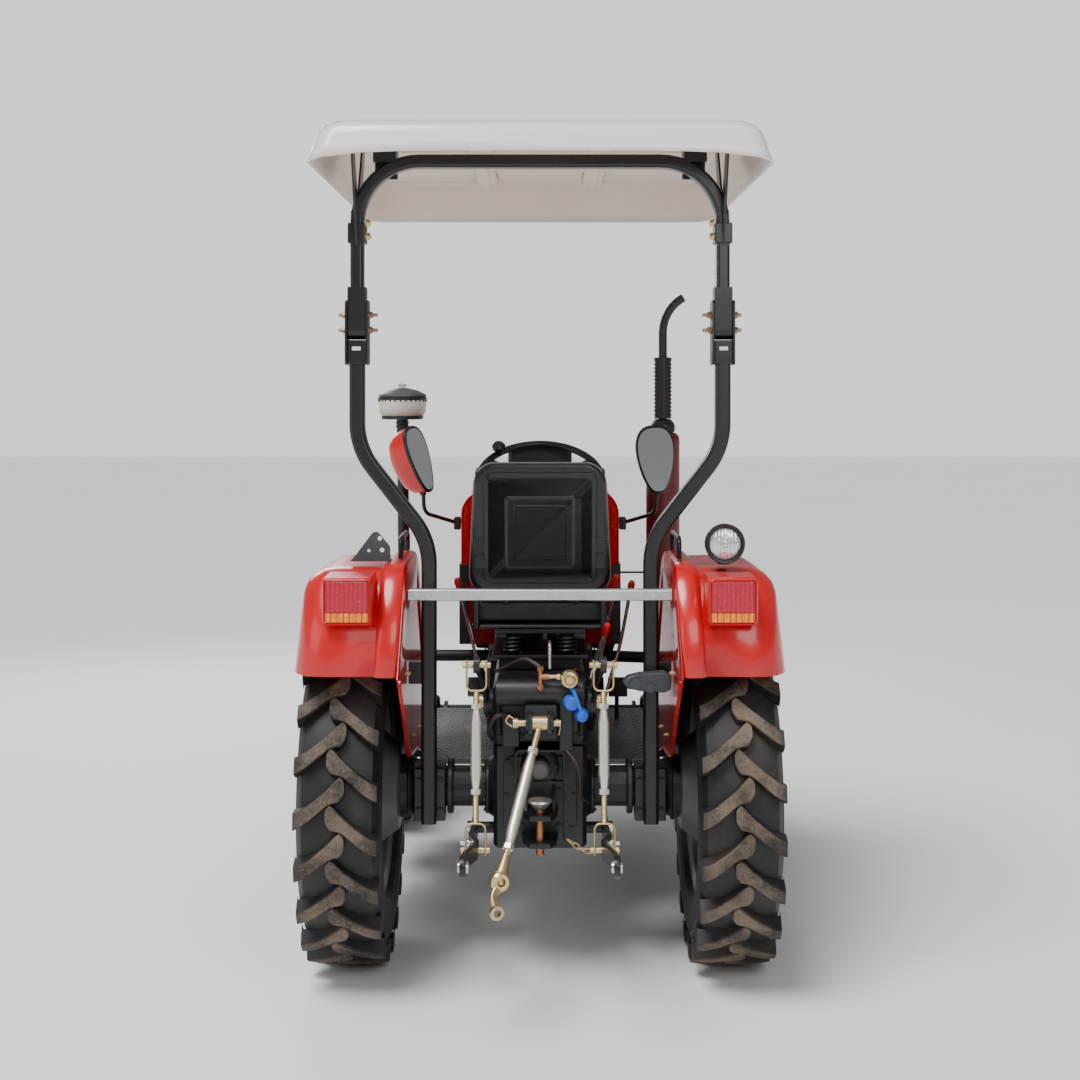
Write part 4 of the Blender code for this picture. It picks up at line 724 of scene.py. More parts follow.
def slab(bm, outline, axis, start, end, bevel=0.0, segments=2):
    """Pulls an outline along an axis: (y, z) along X, (x, z) along Y, (x, y) along Z."""
    first, second, along = {"X": (1, 2, 0), "Y": (0, 2, 1), "Z": (0, 1, 2)}[axis]
    rings = []
    for level in (start, end):
        ring = []
        for a, b in outline:
            point = [0.0, 0.0, 0.0]
            point[first], point[second], point[along] = a, b, level
            ring.append(point)
        rings.append(ring)
    made = loft(bm, rings)
    if bevel:
        rims = [edge for vert in made for edge in vert.link_edges]
        rims = [edge for edge in set(rims) if abs(edge.verts[0].co[along] - edge.verts[1].co[along]) < 1e-6]
        bevel_edges(bm, rims, bevel, segments)
    return made


def bolt(bm, at, direction, size, washer=True):
    """A hexagon head on a washer, its underside at a point on a surface."""
    at, direction = Vector(at), Vector(direction).normalized()
    base = at
    if washer:
        rod(bm, at - direction * 0.001, at + direction * size * 0.16, size * 1.15, 16)
        base = at + direction * size * 0.14
    rod(bm, base, base + direction * size * 0.75, size, 6)
    rod(bm, base + direction * size * 0.7, base + direction * size * 1.05, size * 0.55, 12)


def turned_about(bm, verts, angle, axis, centre):
    bmesh.ops.rotate(bm, verts=verts, cent=centre, matrix=Matrix.Rotation(angle, 3, axis))


def repaint(look, *nodes):
    """Gives CAD nodes that stay as they are their finish."""
    for node in nodes:
        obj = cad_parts[node]
        for slot_number in range(max(1, len(obj.material_slots))):
            if not obj.material_slots:
                obj.data.materials.append(finish(look))
            obj.material_slots[slot_number].material = finish(look)


# ================================================================ wheels
def lug_rings(radius, height, half):
    """Rings of one tread bar from its round knob near the middle to its foot on the shoulder."""
    rings = []
    for t in (0.0, 0.015, 0.045, 0.09, 0.16, 0.24, 0.34, 0.46, 0.6, 0.75, 0.88, 1.0):
        x = 0.22 * half - 1.2 * half * t
        drop = 0.8 * half * (0.6 * (3.0 - 2.0 * t) * t * t + 0.4 * t)
        knob = math.exp(-(((t - 0.1) / 0.15) ** 2))
        end = min(1.0, 0.42 + 0.58 * math.sqrt(t / 0.09))
        width = half * (0.33 + 0.2 * knob + 0.06 * t * t) * end
        top = radius - 0.0002 - height * 0.24 * t ** 4
        root = radius - height * 1.25 - height * 0.55 * t ** 3
        levels = ((root, 1.34), (top - 0.004, 1.07), (top, 0.92))
        ring = [(x, drop - width / 2 * spread, level) for level, spread in levels]
        ring += [(x, drop + width / 2 * spread, level) for level, spread in reversed(levels)]
        rings.append(ring)
    low = radius - height * 2.3
    foot = [
        (-half * 0.995, along, min(level - height * 0.6, low + (level - low) * 0.6)) for _, along,
        level in rings[-1]
    ]
    return rings + [foot]


def add_tread(bm, radius, height, half, count):
    """Two staggered rows of bars, wrapped round the wheel's axis."""
    for side in (-1, 1):
        for number in range(count):
            start = math.tau * (number + (0.25 if side > 0 else -0.25)) / count
            rings = []
            for ring in lug_rings(radius, height, half):
                points = []
                for x, along, level in ring:
                    angle = start - along / radius
                    points.append((x * -side, -level * math.cos(angle), level * math.sin(angle)))
                rings.append(points)
            loft(bm, rings)


def add_carcass(bm, radius, height, half, bead, steps=96):
    crown = radius - height
    tall = crown - bead
    outer = [
        (bead, half * 0.7), (bead + 0.016, half * 0.72), (bead + 0.022, half * 0.8),
        (bead + tall * 0.22, half * 0.93), (bead + tall * 0.42, half * 0.985),
        (bead + tall * 0.6, half * 0.985), (bead + tall * 0.78, half * 0.93),
        (bead + tall * 0.9, half * 0.82), (bead + tall * 0.97, half * 0.55), (crown, half * 0.2),
    ]
    profile = outer + [(r, -x) for r, x in reversed(outer)]
    lathe(bm, profile, (0, 0, 0), (1, 0, 0), steps, closed=True)
    for side in (-1, 1):
        for share, size in ((0.3, 0.0022), (0.36, 0.0016), (0.68, 0.0022)):
            r = bead + tall * share
            x = half * (0.955 if share < 0.5 else 0.968) * side
            bump = [(r - size * 2, x * 0.985), (r, x * 0.985 + side * size * 1.6), (r + size * 2, x * 0.985)]
            lathe(bm, bump, (0, 0, 0), (1, 0, 0), steps)


BEAD_SHARE = {"rear": 0.585, "front": 0.545}
FRONT_LUG_SHARE = 0.7


def make_tyre(name, label, radius, height, count, look, centre_y):
    low, high = station_box(label + "_tyre_" + name)
    half = (high.x - low.x) / 2
    bead = radius * BEAD_SHARE[label]
    bm = bmesh.new()
    add_carcass(bm, radius, height, half, bead)
    add_tread(bm, radius, height, half * 0.985, count)
    centre = ((low.x + high.x) / 2, centre_y, radius)
    bmesh.ops.translate(bm, verts=bm.verts[:], vec=centre)
    body = label + "_wheel_" + name
    return piece(
        bm, label + "_tread_" + name, look, [label + "_tyre_" + name], body=body,
        crease=28.0
    )


def make_rim(name, side, label, radius, centre_y, hub, bolts, pitch):
    """A dished steel disc wheel with flanges, bolts and hub cap."""
    low, high = station_box(label + "_rim_" + name)
    tyre_low, tyre_high = station_box(label + "_tyre_" + name)
    centre = Vector(((tyre_low.x + tyre_high.x) / 2, centre_y, radius))
    half = (tyre_high.x - tyre_low.x) / 2
    bead = radius * BEAD_SHARE[label]
    seat = half * 0.7
    inner = (high.x if side < 0 else low.x) - centre.x
    hub_face = inner * side
    flange = bead + 0.015
    profile = [
        (0.0, hub_face + 0.016), (hub * 1.05, hub_face + 0.016), (hub * 1.35, hub_face + 0.02),
        (bead * 0.66, -0.03), (bead * 0.74, -0.018), (bead - 0.034, -0.014), (bead - 0.024, -0.004),
        (bead - 0.026, seat * 0.55), (bead - 0.012, seat * 0.78), (bead - 0.01, seat * 0.98),
        (flange - 0.006, seat + 0.006), (flange, seat + 0.01), (flange + 0.001, seat + 0.004),
        (flange - 0.004, seat), (bead, seat - 0.004), (bead - 0.014, seat * 0.5),
        (bead - 0.014, -seat * 0.5), (bead, -seat + 0.004), (flange - 0.004, -seat),
        (flange + 0.001, -seat - 0.004), (flange, -seat - 0.01), (flange - 0.006, -seat - 0.006),
        (bead - 0.01, -seat * 0.98), (bead - 0.026, -seat * 0.6), (bead - 0.028, -0.026),
        (bead * 0.74, -0.03), (bead * 0.66, -0.042), (hub * 1.35, hub_face + 0.004),
        (hub * 1.05, hub_face), (0.0, hub_face),
    ]
    bm = bmesh.new()
    out = Vector((side, 0, 0))
    lathe(bm, profile, centre, out, 72)
    body = label + "_wheel_" + name
    made = piece(bm, label + "_disc_" + name, "silver_paint", [label + "_rim_" + name], body=body)
    bm = bmesh.new()
    face = centre + out * (hub_face + 0.016)
    for a, b in spaced(bolts):
        bolt(bm, face + Vector((0, a, b)) * pitch, out, 0.013 if label == "rear" else 0.01)
    cap = [(0.0, 0.06), (hub * 0.3, 0.058), (hub * 0.42, 0.048), (hub * 0.46, 0.006), (hub * 0.62, 0.0)]
    lathe(bm, cap, face, out, 32)
    valve = centre + out * (seat * 0.55) + Vector((0, 0.0, -(bead - 0.03)))
    rod(bm, valve, valve + out * 0.04 + Vector((0, 0, 0.012)), 0.005, 12)
    piece(bm, label + "_wheel_bolts_" + name, "bright_steel", body=body)
    return made


def make_tyres():
    height = sizes().lug_height
    for name, _ in SIDES:
        make_tyre(name, "rear", REAR_RADIUS, height, sizes().rear_lugs, "rear_rubber", 0.0)
        make_tyre(
            name, "front", FRONT_RADIUS, height * FRONT_LUG_SHARE, sizes().front_lugs, "front_rubber",
            WHEELBASE
        )


def make_rims():
    for name, side in SIDES:
        make_rim(name, side, "rear", REAR_RADIUS, 0.0, 0.095, 8, 0.072)
        make_rim(name, side, "front", FRONT_RADIUS, WHEELBASE, 0.066, 6, 0.05)


# ================================================================ fenders and lamps
FENDER_TAIL = (FENDER_LOW.y + 0.003, 0.935)
FENDER_BEND = -0.2
FENDER_FRONT = FENDER_HIGH.y - 0.003


def fender_crown(lift=0.0):
    top = FENDER_HIGH.z - lift
    corners = [
        (0.0, FENDER_TAIL[0], FENDER_TAIL[1], 0.0), (0.0, FENDER_BEND, top, 0.14), (0.0, 0.32, top, 0.2),
        (0.0, 0.6, 0.88, 0.26), (0.0, FENDER_FRONT - 0.004, PLATE_HIGH.z + 0.004, 0.0),
    ]
    return bent(corners, 9)


def make_fender(name, side):
    inner, outer = FENDER_LOW.x, FENDER_HIGH.x
    section = [
        (inner + 0.0005, -0.15), (inner + 0.0005, -0.016), (inner + 0.006, -0.004), (inner + 0.018, 0.0)
    ]
    section += [
        (inner + 0.056, 0.0), (inner + 0.066, -0.004), (inner + 0.074, -0.016), (outer - 0.11, -0.014)
    ]
    section += [
        (outer - 0.066, -0.018), (outer - 0.036, -0.032), (outer - 0.016, -0.052), (outer - 0.005, -0.076)
    ]
    section += [(outer - 0.0005, -0.105), (outer - 0.003, -0.112), (outer - 0.014, -0.114)]
    crown = fender_crown()
    crown.insert(0, crown[0] * 2 - crown[1])
    rings = []
    for index, here in enumerate(crown):
        ahead = (crown[min(len(crown) - 1, index + 1)] - crown[max(0, index - 1)]).normalized()
        out = Vector((0, -ahead.z, ahead.y))
        rings.append([(side * x, here.y + out.y * depth, here.z + out.z * depth) for x, depth in section])
    bm = bmesh.new()
    skin(bm, rings)
    tail = {"plane_co": (0, 0, FENDER_TAIL[1] + 0.006), "plane_no": (0, 0, -1), "clear_outer": True}
    back = [face for face in bm.faces if face.calc_center_median().y < 0]
    around = {item for face in back for item in (face, *face.edges, *face.verts)}
    bmesh.ops.bisect_plane(bm, geom=list(around), dist=1e-6, **tail)
    outward(bm)
    made = piece(bm, "fender_skin_" + name, "red_paint", ["fender_" + name], turn_out=False)
    shell_wall(made, 0.003)
    bm = bmesh.new()
    wall = [(point.y, point.z) for point in fender_crown(0.018)]
    below = [(0.42, PLATE_HIGH.z + 0.002), (0.2, 0.6), (0.0, 0.622), (-0.11, 0.64), (-0.3, 0.8)]
    x = sorted((side * (inner + 0.0008), side * (inner + 0.0036)))
    slab(bm, wall + below, "X", x[0], x[1])
    hem = [
        (side * (inner - 0.004), y, z) for y, z in [(wall[0][0] + 0.004, wall[0][1] - 0.006)] + below[::-1]
    ]
    pipe(bm, hem, 0.0038, 8)
    piece(bm, "fender_wall_" + name, "red_paint")


def make_tail_lamp(name, side):
    low, high = station_box("tail_lamp_" + name)
    face = low.y
    bm = bmesh.new()
    slope = [(face + 0.022, low.z), (face + 0.044, low.z), (high.y - 0.002, high.z), (face + 0.022, high.z)]
    slab(bm, slope, "X", low.x + 0.004, high.x - 0.004, 0.003)
    piece(bm, "lamp_back_" + name, "red_plastic", ["tail_lamp_" + name])
    bm = bmesh.new()
    middle, level = (low.x + high.x) / 2, (low.z + high.z) / 2
    half, tall = (high.x - low.x) / 2, (high.z - low.z) / 2
    rings = []
    steps = (
        (0.026, 0.0, 0.012), (0.01, 0.001, 0.014), (0.004, 0.004, 0.014), (0.002, 0.007, 0.012),
        (0.008, 0.009, 0.01)
    )
    for depth, inset, corner in steps:
        ring = rounded(2 * (half - inset), 2 * (tall - inset), corner)
        rings.append([(middle + a, face + depth, level + b) for a, b in ring])
    loft(bm, rings)
    piece(bm, "lamp_bezel_" + name, "red_plastic")
    edge = 0.011
    split = low.z + 0.038
    for label, look, bottom, top in (
        ("amber", "amber_lens", low.z + edge, split), ("red", "red_lens", split + 0.001, high.z - edge),
    ):
        bm = bmesh.new()
        count = 7 if label == "amber" else 1
        wide = 2 * (half - edge)
        for number in range(count):
            left = low.x + edge + wide * number / count
            box(bm, (left, face + 0.0005, bottom), (left + wide / count - 0.001, face + 0.012, top), 0.003, 3)
        piece(bm, "lens_" + label + "_" + name, look)
    bm = bmesh.new()
    for x in (-0.032, 0.032):
        bowl = [(0.0, 0.0), (0.018, 0.001), (0.024, 0.006)]
        lathe(bm, bowl, (middle + x, face + 0.0062, high.z - 0.044), (0, -1, 0), 32)
    piece(bm, "lens_bowls_" + name, "red_lens")


def make_work_lamp():
    low, high = station_box("work_lamp_right")
    x = (low.x + high.x) / 2
    z = high.z - 0.06
    front = low.y
    bm = bmesh.new()
    bowl = [
        (0.0, -0.098), (0.018, -0.097), (0.034, -0.09), (0.05, -0.062), (0.0585, -0.03),
        (0.0598, -0.006), (0.0575, -0.0005), (0.05, -0.003), (0.049, -0.012), (0.0, -0.013),
    ]
    lathe(bm, bowl, (x, front, z), (0, -1, 0), 48)
    side_plate = [
        (x - 0.013, FENDER_HIGH.z), (x + 0.013, FENDER_HIGH.z), (x + 0.01, z - 0.03), (x - 0.01, z - 0.03)
    ]
    slab(bm, side_plate, "Y", front + 0.046, front + 0.05)
    box(
        bm, (x - 0.016, front + 0.044, FENDER_HIGH.z), (x + 0.016, front + 0.125, FENDER_HIGH.z + 0.004),
        0.001
    )
    bolt(bm, (x, front + 0.095, FENDER_HIGH.z + 0.004), (0, 0, 1), 0.007)
    piece(bm, "work_lamp_body", "black_plastic", ["work_lamp_right"])
    bm = bmesh.new()
    lathe(
        bm, [(0.0, 0.004), (0.02, 0.003), (0.04, 0.0), (0.0495, -0.006)], (x, front + 0.008, z), (0, -1, 0),
        48
    )
    piece(bm, "work_lamp_glass", "clear_lens")
    bm = bmesh.new()
    lathe(
        bm, [(0.0, 0.01), (0.009, 0.008), (0.012, 0.002), (0.012, -0.004)], (x, front + 0.008, z),
        (0, -1, 0), 24
    )
    piece(bm, "work_lamp_bulb", "bright_steel")


def make_fender_fittings():
    for name, side in SIDES:
        bm = bmesh.new()
        for y, z in ((-0.12, 0.895), (0.1, 0.66), (0.33, 0.64), (0.52, 0.6)):
            bolt(bm, (side * (FENDER_LOW.x - 0.0005), y, z), (-side, 0, 0), 0.007)
        piece(bm, "fender_bolts_" + name, "yellow_zinc")
        bm = bmesh.new()
        x = side * (FENDER_LOW.x + 0.03)
        rail = bent(
            [(x, -0.02, FENDER_HIGH.z + 0.001, 0), (x, -0.02, FENDER_HIGH.z + 0.06, 0.03)]
            + [(x, 0.24, FENDER_HIGH.z + 0.06, 0.03), (x, 0.24, FENDER_HIGH.z + 0.001, 0)]
        )
        pipe(bm, rail, 0.008, 12)
        piece(bm, "grab_rail_" + name, "black_paint")


# ================================================================ roll frame and canopy
POST_DEPTH = 0.058
POST_Y = (POST_LOW.y + POST_HIGH.y) / 2
LOWER_X = 0.337
UPPER_X = 0.555
HOOP_TUBE_TOP = 2.45
FOLD = 1.938
FOLD_Y = -0.12


def tube_section(width, depth):
    return rounded(width, depth, sizes().tube_corner)


def make_post(name, side):
    bm = bmesh.new()
    corners = [(LOWER_X, 0.442, 0), (LOWER_X, 1.3, 0.22), (UPPER_X, 1.58, 0.22), (UPPER_X, FOLD - 0.045, 0)]
    path = bent([(side * x, POST_Y, z, radius) for x, z, radius in corners], 12)
    sweep(bm, path, tube_section(0.045, POST_DEPTH), (0, 1, 0))
    low = (UPPER_X - 0.028, POST_Y - 0.031, 1.835)
    side_box(bm, side, low, (UPPER_X + 0.028, POST_Y + 0.031, FOLD - 0.031), 0.004)
    cheek = [(POST_Y + a, 1.93 + b) for a, b in rounded(0.07, 0.196, 0.014)]
    for x in (UPPER_X - 0.0315, UPPER_X + 0.0315):
        flat = sorted((side * (x - 0.0034), side * (x + 0.0034)))
        slab(bm, cheek, "X", flat[0], flat[1], 0.001)
    low = (LOWER_X - 0.047, POST_Y + 0.012, 0.442)
    side_box(bm, side, low, (LOWER_X + 0.047, POST_Y + 0.0295, 0.6), 0.003)
    low = (LOWER_X + 0.018, POST_Y, 0.862)
    side_box(bm, side, low, (FENDER_LOW.x - 0.002, POST_Y + 0.02, 0.928), 0.002)
    for dx in (-0.033, 0.033):
        for z in (0.475, 0.565):
            bolt(bm, (side * LOWER_X + dx, POST_Y + 0.012, z), (0, -1, 0), 0.01)
    piece(bm, "post_tube_" + name, "black_paint", ["rops_post_" + name])
    bm = bmesh.new()
    for height in (FOLD + 0.046, FOLD):
        for direction in (-1, 1):
            at = (side * UPPER_X + direction * 0.035, POST_Y, height)
            bolt(bm, at, (direction, 0, 0), 0.0115)
        tail = side * UPPER_X + side * 0.047
        rod(bm, (tail, POST_Y, height), (tail + side * 0.01, POST_Y, height), 0.0052, 12)
        rod(
            bm, (side * UPPER_X - side * 0.047, POST_Y, height),
            (side * UPPER_X - side * 0.062, POST_Y, height), 0.0052, 12
        )
    piece(bm, "hinge_bolts_" + name, "bronze_zinc")
    bm = bmesh.new()
    x = side * UPPER_X
    box(bm, (x - 0.013, POST_Y - 0.0316, 1.876), (x + 0.013, POST_Y - 0.0308, 1.887))
    piece(bm, "blank_label_" + name, "label_white")


def make_hoop():
    body = "folding_roof"
    bm = bmesh.new()
    top = HOOP_TUBE_TOP
    start = FOLD + 0.06
    corners = [
        (-UPPER_X, POST_Y, start, 0), (-UPPER_X, POST_Y, top, 0.19), (UPPER_X, POST_Y, top, 0.19),
        (UPPER_X, POST_Y, start, 0),
    ]
    sweep(bm, bent(corners, 12), tube_section(0.04, POST_DEPTH - 0.002), (0, 1, 0))
    for _, side in SIDES:
        block = [
            (FOLD_Y + 0.029 * math.cos(angle), FOLD + 0.029 * math.sin(angle))
            for angle in [math.pi + math.pi * i / 12 for i in range(13)]
        ]
        block += [(FOLD_Y + 0.029, start + 0.07), (FOLD_Y - 0.029, start + 0.07)]
        flat = sorted((side * (UPPER_X - 0.0275), side * (UPPER_X + 0.0275)))
        slab(bm, block, "X", flat[0], flat[1], 0.002)
        side_box(
            bm, side, (UPPER_X - 0.027, POST_Y - 0.033, 2.2), (UPPER_X + 0.027, POST_Y + 0.033, 2.262),
            0.004
        )
    piece(bm, "hoop_tube", "black_paint", ["rops_hoop"], body=body)
    bm = bmesh.new()
    roof = CANOPY_HIGH.z - 0.008
    for _, side in SIDES:
        x = side * UPPER_X
        outer = [(POST_Y - 0.026, 2.19), (POST_Y + 0.026, 2.19), (0.08, roof), (-0.32, roof)]
        inner = [
            (POST_Y - 0.004, 2.33), (POST_Y + 0.004, 2.33), (-0.005, roof - 0.045), (-0.235, roof - 0.045)
        ]
        edges = [ring_of(bm, [(x - 0.003, y, z) for y, z in ring])[1] for ring in (outer, inner)]
        plate = bmesh.ops.bridge_loops(bm, edges=edges[0] + edges[1])["faces"]
        pulled = bmesh.ops.extrude_face_region(bm, geom=plate)["geom"]
        pulled = [item for item in pulled if isinstance(item, bmesh.types.BMVert)]
        bmesh.ops.translate(bm, verts=pulled, vec=(0.006, 0, 0))
        for dx in (-0.015, 0.015):
            box(bm, (x + dx - 0.002, POST_Y - 0.028, 2.19), (x + dx + 0.002, POST_Y + 0.028, 2.3), 0.001)
        arm = side * 0.47
        box(
            bm, (arm - 0.035, POST_Y - 0.03, HOOP_TUBE_TOP - 0.004), (arm + 0.035, POST_Y + 0.06, roof),
            0.002
        )
        box(
            bm, (arm - 0.035, POST_Y + 0.028, HOOP_TUBE_TOP - 0.05), (arm + 0.035, POST_Y + 0.033, roof),
            0.002
        )
    piece(bm, "canopy_brackets", "black_paint", body=body)
    bm = bmesh.new()
    for _, side in SIDES:
        for height in (2.222, 2.262):
            at = (side * (UPPER_X - 0.027), POST_Y - 0.01, height)
            bolt(bm, at, (-side, 0, 0), 0.0125)
        for dx in (-0.02, 0.02):
            rod(
                bm, (side * 0.47 + dx, POST_Y + 0.045, roof - 0.004),
                (side * 0.47 + dx, POST_Y + 0.045, roof - 0.026), 0.012, 12
            )
    piece(bm, "hoop_bolts", "yellow_zinc", body=body)


def canopy_ring(inset, rise, lift):
    """One level of the roof: a rounded, tapering plan whose rear lip is arched."""
    low, high = CANOPY_LOW, CANOPY_HIGH
    plan = [(high.x - inset, low.y + inset, 0.055), (0.645 - inset, high.y - inset, 0.11)]
    plan += [(-x, y, corner) for x, y, corner in reversed(plan)]
    arcs = []
    for number, (x, y, corner) in enumerate(plan):
        before, after = plan[number - 1], plan[(number + 1) % 4]
        trio = [(*before[:2], 0, 0), (x, y, 0, corner + inset * 0.3), (*after[:2], 0, 0)]
        arcs += bent(trio, 8)[1:-1]
    ring = []
    for here, ahead in zip(arcs, arcs[1:] + arcs[:1]):
        steps = 12 if (ahead - here).length > 0.3 else 1
        ring += [here.lerp(ahead, step / steps) for step in range(steps)]
    for point in ring:
        share = (point.y - low.y) / (high.y - low.y)
        arch = 0.03 * (1.0 - (point.x / high.x) ** 6) * max(0.0, 1.0 - share * 2.5) ** 2
        lip = 2.414 + (low.z - 2.414) * share + arch
        crown = high.z - lift - 0.004 * share
        point.z = crown - (crown - lip) * (0.125 - rise) / 0.125
    return ring


def canopy_sheet(levels, lift, up):
    """Bridges the levels of the roof's outside, or of its lining, and closes the top."""
    bm = bmesh.new()
    made = [ring_of(bm, canopy_ring(inset, rise, lift)) for inset, rise in levels]
    for (_, first), (_, second) in zip(made, made[1:]):
        bmesh.ops.bridge_loops(bm, edges=first + second)
    bm.faces.new(made[-1][0])
    outward(bm, up)
    return bm


def make_canopy():
    body = "folding_roof"
    levels = [(0.0, 0.0), (0.012, 0.03), (0.024, 0.07), (0.031, 0.088), (0.043, 0.104), (0.06, 0.115)]
    levels += [(0.085, 0.121), (0.15, 0.1225), (0.3, 0.124)]
    bm = canopy_sheet(levels, 0.0015, True)
    roof = piece(bm, "canopy_gel_coat", "gel_coat", ["canopy"], body=body, turn_out=False, crease=60.0)
    shell_wall(roof, 0.005)
    levels = [(0.007, 0.004), (0.018, 0.03), (0.031, 0.07), (0.05, 0.1), (0.085, 0.11), (0.2, 0.112)]
    bm = canopy_sheet(levels, 0.0065, False)
    lining = piece(bm, "canopy_lining", "laminate", body=body, turn_out=False, crease=60.0)
    shell_wall(lining, 0.0015, 1.0)
    bm = bmesh.new()
    rise = sizes().canopy_ribs
    roof = CANOPY_HIGH.z - 0.017
    back, front = CANOPY_LOW.y + 0.1, CANOPY_HIGH.y - 0.08

    def rib(start, end, wide, tall):
        ends = [(*start, roof - tall / 2), (*end, roof - tall / 2)]
        sweep(bm, ends, rounded(wide, tall, min(wide, tall) * 0.35, 3), (0, 0, 1))

    for x in (-0.19, 0.19):
        rib((x, back), (x, front), 0.07, rise)
        rib((x, back + 0.02), (x, front - 0.02), 0.03, rise + 0.006)
        rib((x * 3.1, back + 0.05), (x * 2.9, front - 0.05), 0.03, rise * 0.6)
        rib((x * 1.15, back + 0.12), (x * 2.85, front - 0.12), 0.028, rise * 0.6)
    for y in (back + 0.2, 0.12, 0.52, front - 0.04):
        rib((-0.56, y), (0.56, y), 0.05, rise * 0.8)
    piece(bm, "canopy_ribs", "laminate", body=body)
    # Thin brown-grey strips, most of them along the edges of the ribs: painted shade of the ribs on the
    # lining.
    bm = bmesh.new()
    rib((0.0, back), (0.0, front), 0.006, 0.006)
    for x in (-0.228, -0.172, -0.152, 0.152, 0.172, 0.228):
        rib((x, back), (x, front), 0.004, 0.01)
    for y in (0.092, 0.492):
        rib((-0.56, y), (0.56, y), 0.004, 0.01)
    for side in (-1, 1):
        rib((side * 0.23, back + 0.12), (side * 0.56, front - 0.12), 0.004, 0.012)
    piece(bm, "canopy_painted_rib_shade", "dark_seam", body=body)


def make_crossbar():
    low, high = station_box("crossbar")
    y, z = (low.y + high.y) / 2, (low.z + high.z) / 2
    bm = bmesh.new()
    ring = rounded(0.0345, 0.0335, 0.006)
    sweep(bm, [(low.x, y, z), (high.x, y, z)], ring, (0, 1, 0))
    piece(bm, "crossbar_tube", "galvanised", ["crossbar"])
    bm = bmesh.new()
    for x in (-LOWER_X, LOWER_X):
        bolt(bm, (x, low.y + 0.001, z), (0, -1, 0), 0.009)
    for x in (low.x, high.x):
        out = -1 if x < 0 else 1
        box(bm, (x - 0.001, y - 0.0165, z - 0.017), (x + 0.001, y + 0.0165, z + 0.017), 0.0005, 1)
        rod(bm, (x - out * 0.025, low.y - 0.001, z), (x - out * 0.025, low.y + 0.002, z), 0.006, 16)
    piece(bm, "crossbar_bolts", "bright_steel")


# ================================================================ seat
SEAT_LEAN = math.radians(8.0)


def on_back(x, height, behind):
    """A point behind the reclined back: across, up, and out towards the rear."""
    y = -(height - SHELL_LOW.z) * math.tan(SEAT_LEAN)
    return (x, y - behind, height)


def back_panel(bm, half, low, high, behind, raised, corner, wall):
    """A raised rounded rectangle on the back of the seat shell."""
    rings = []
    middle = (low + high) / 2
    for out, inset in ((-0.004, 0.0), (raised - 0.003, 0.001), (raised, 0.005)):
        ring = rounded(2 * (half - inset), high - low - 2 * inset, corner)
        rings.append([on_back(a, middle + b, behind + out) for a, b in ring])
    if wall:
        for out, inset in ((raised, wall), (raised - 0.006, wall + 0.004)):
            ring = rounded(2 * (half - inset), high - low - 2 * inset, max(0.004, corner - wall * 0.5))
            rings.append([on_back(a, middle + b, behind + out) for a, b in ring])
    loft(bm, rings)


def make_seat_shell():
    low, high = SHELL_LOW, SHELL_HIGH
    half = high.x
    bm = bmesh.new()
    bottom, top = low.z + 0.112, high.z
    middle, tall = (bottom + top) / 2, top - bottom

    def outline(inset, corner, steps):
        ring = rounded(2 * (half - inset), tall - 2 * inset, corner, steps)
        return [(a * (1.0 - 0.17 * max(0.0, b / tall + 0.15) ** 1.3), middle + b) for a, b in ring]

    rings = []
    for behind, inset, corner in (
        (-0.034, 0.004, 0.06), (-0.016, 0.0, 0.062), (-0.006, 0.006, 0.06), (-0.001, 0.02, 0.05)
    ):
        rings.append([on_back(a, b, behind) for a, b in outline(inset, corner, 6)])
    loft(bm, rings)
    box(bm, (-half * 0.98, 0.002, low.z + 0.0005), (half * 0.98, high.y - 0.004, low.z + 0.015), 0.006, 3)
    for side in (-1, 1):
        side_box(
            bm, side, (half - 0.03, -0.006, low.z + 0.004), (half - 0.008, 0.014, bottom + 0.03), 0.006, 3
        )
    back_panel(bm, 0.176, bottom + 0.034, 1.502, -0.0015, 0.01, 0.026, 0.016)
    back_panel(bm, 0.111, 1.2, 1.432, 0.003, 0.008, 0.012, 0.012)
    back_panel(bm, 0.084, 1.228, 1.404, 0.007, 0.006, 0.01, 0.006)
    for side in (-1, 1):
        for step in range(2):
            at = on_back(side * 0.187, bottom + 0.08 + step * 0.052, 0.0)
            box(
                bm, (at[0] - 0.016, at[1] - 0.01, at[2]), (at[0] + 0.016, at[1] + 0.014, at[2] + 0.046),
                0.004, 2
            )
    piece(bm, "seat_back_shell", "shell_plastic", ["seat_shell"])
    bm = bmesh.new()
    line = [Vector(on_back(a, b, -0.024)) for a, b in outline(-0.001, 0.061, 8)]
    rings = []
    for index, here in enumerate(line):
        ahead = (line[(index + 1) % len(line)] - line[index - 1]).normalized()
        side = Vector((0, 1, 0))
        side = (side - ahead * side.dot(ahead)).normalized()
        across = ahead.cross(side)
        rings.append([here + (across * a + side * b) for a, b in circle(0.003, 8)])
    made = [ring_of(bm, ring) for ring in rings]
    for (_, first), (_, second) in zip(made, made[1:] + made[:1]):
        bmesh.ops.bridge_loops(bm, edges=first + second)
    piece(bm, "seat_piping", "piping_grey")


CUSHION_VOXEL = 0.0065
CUSHION_PRESSURE = 4.0
CUSHION_STIFFNESS = 12.0
CUSHION_FRAMES = 20


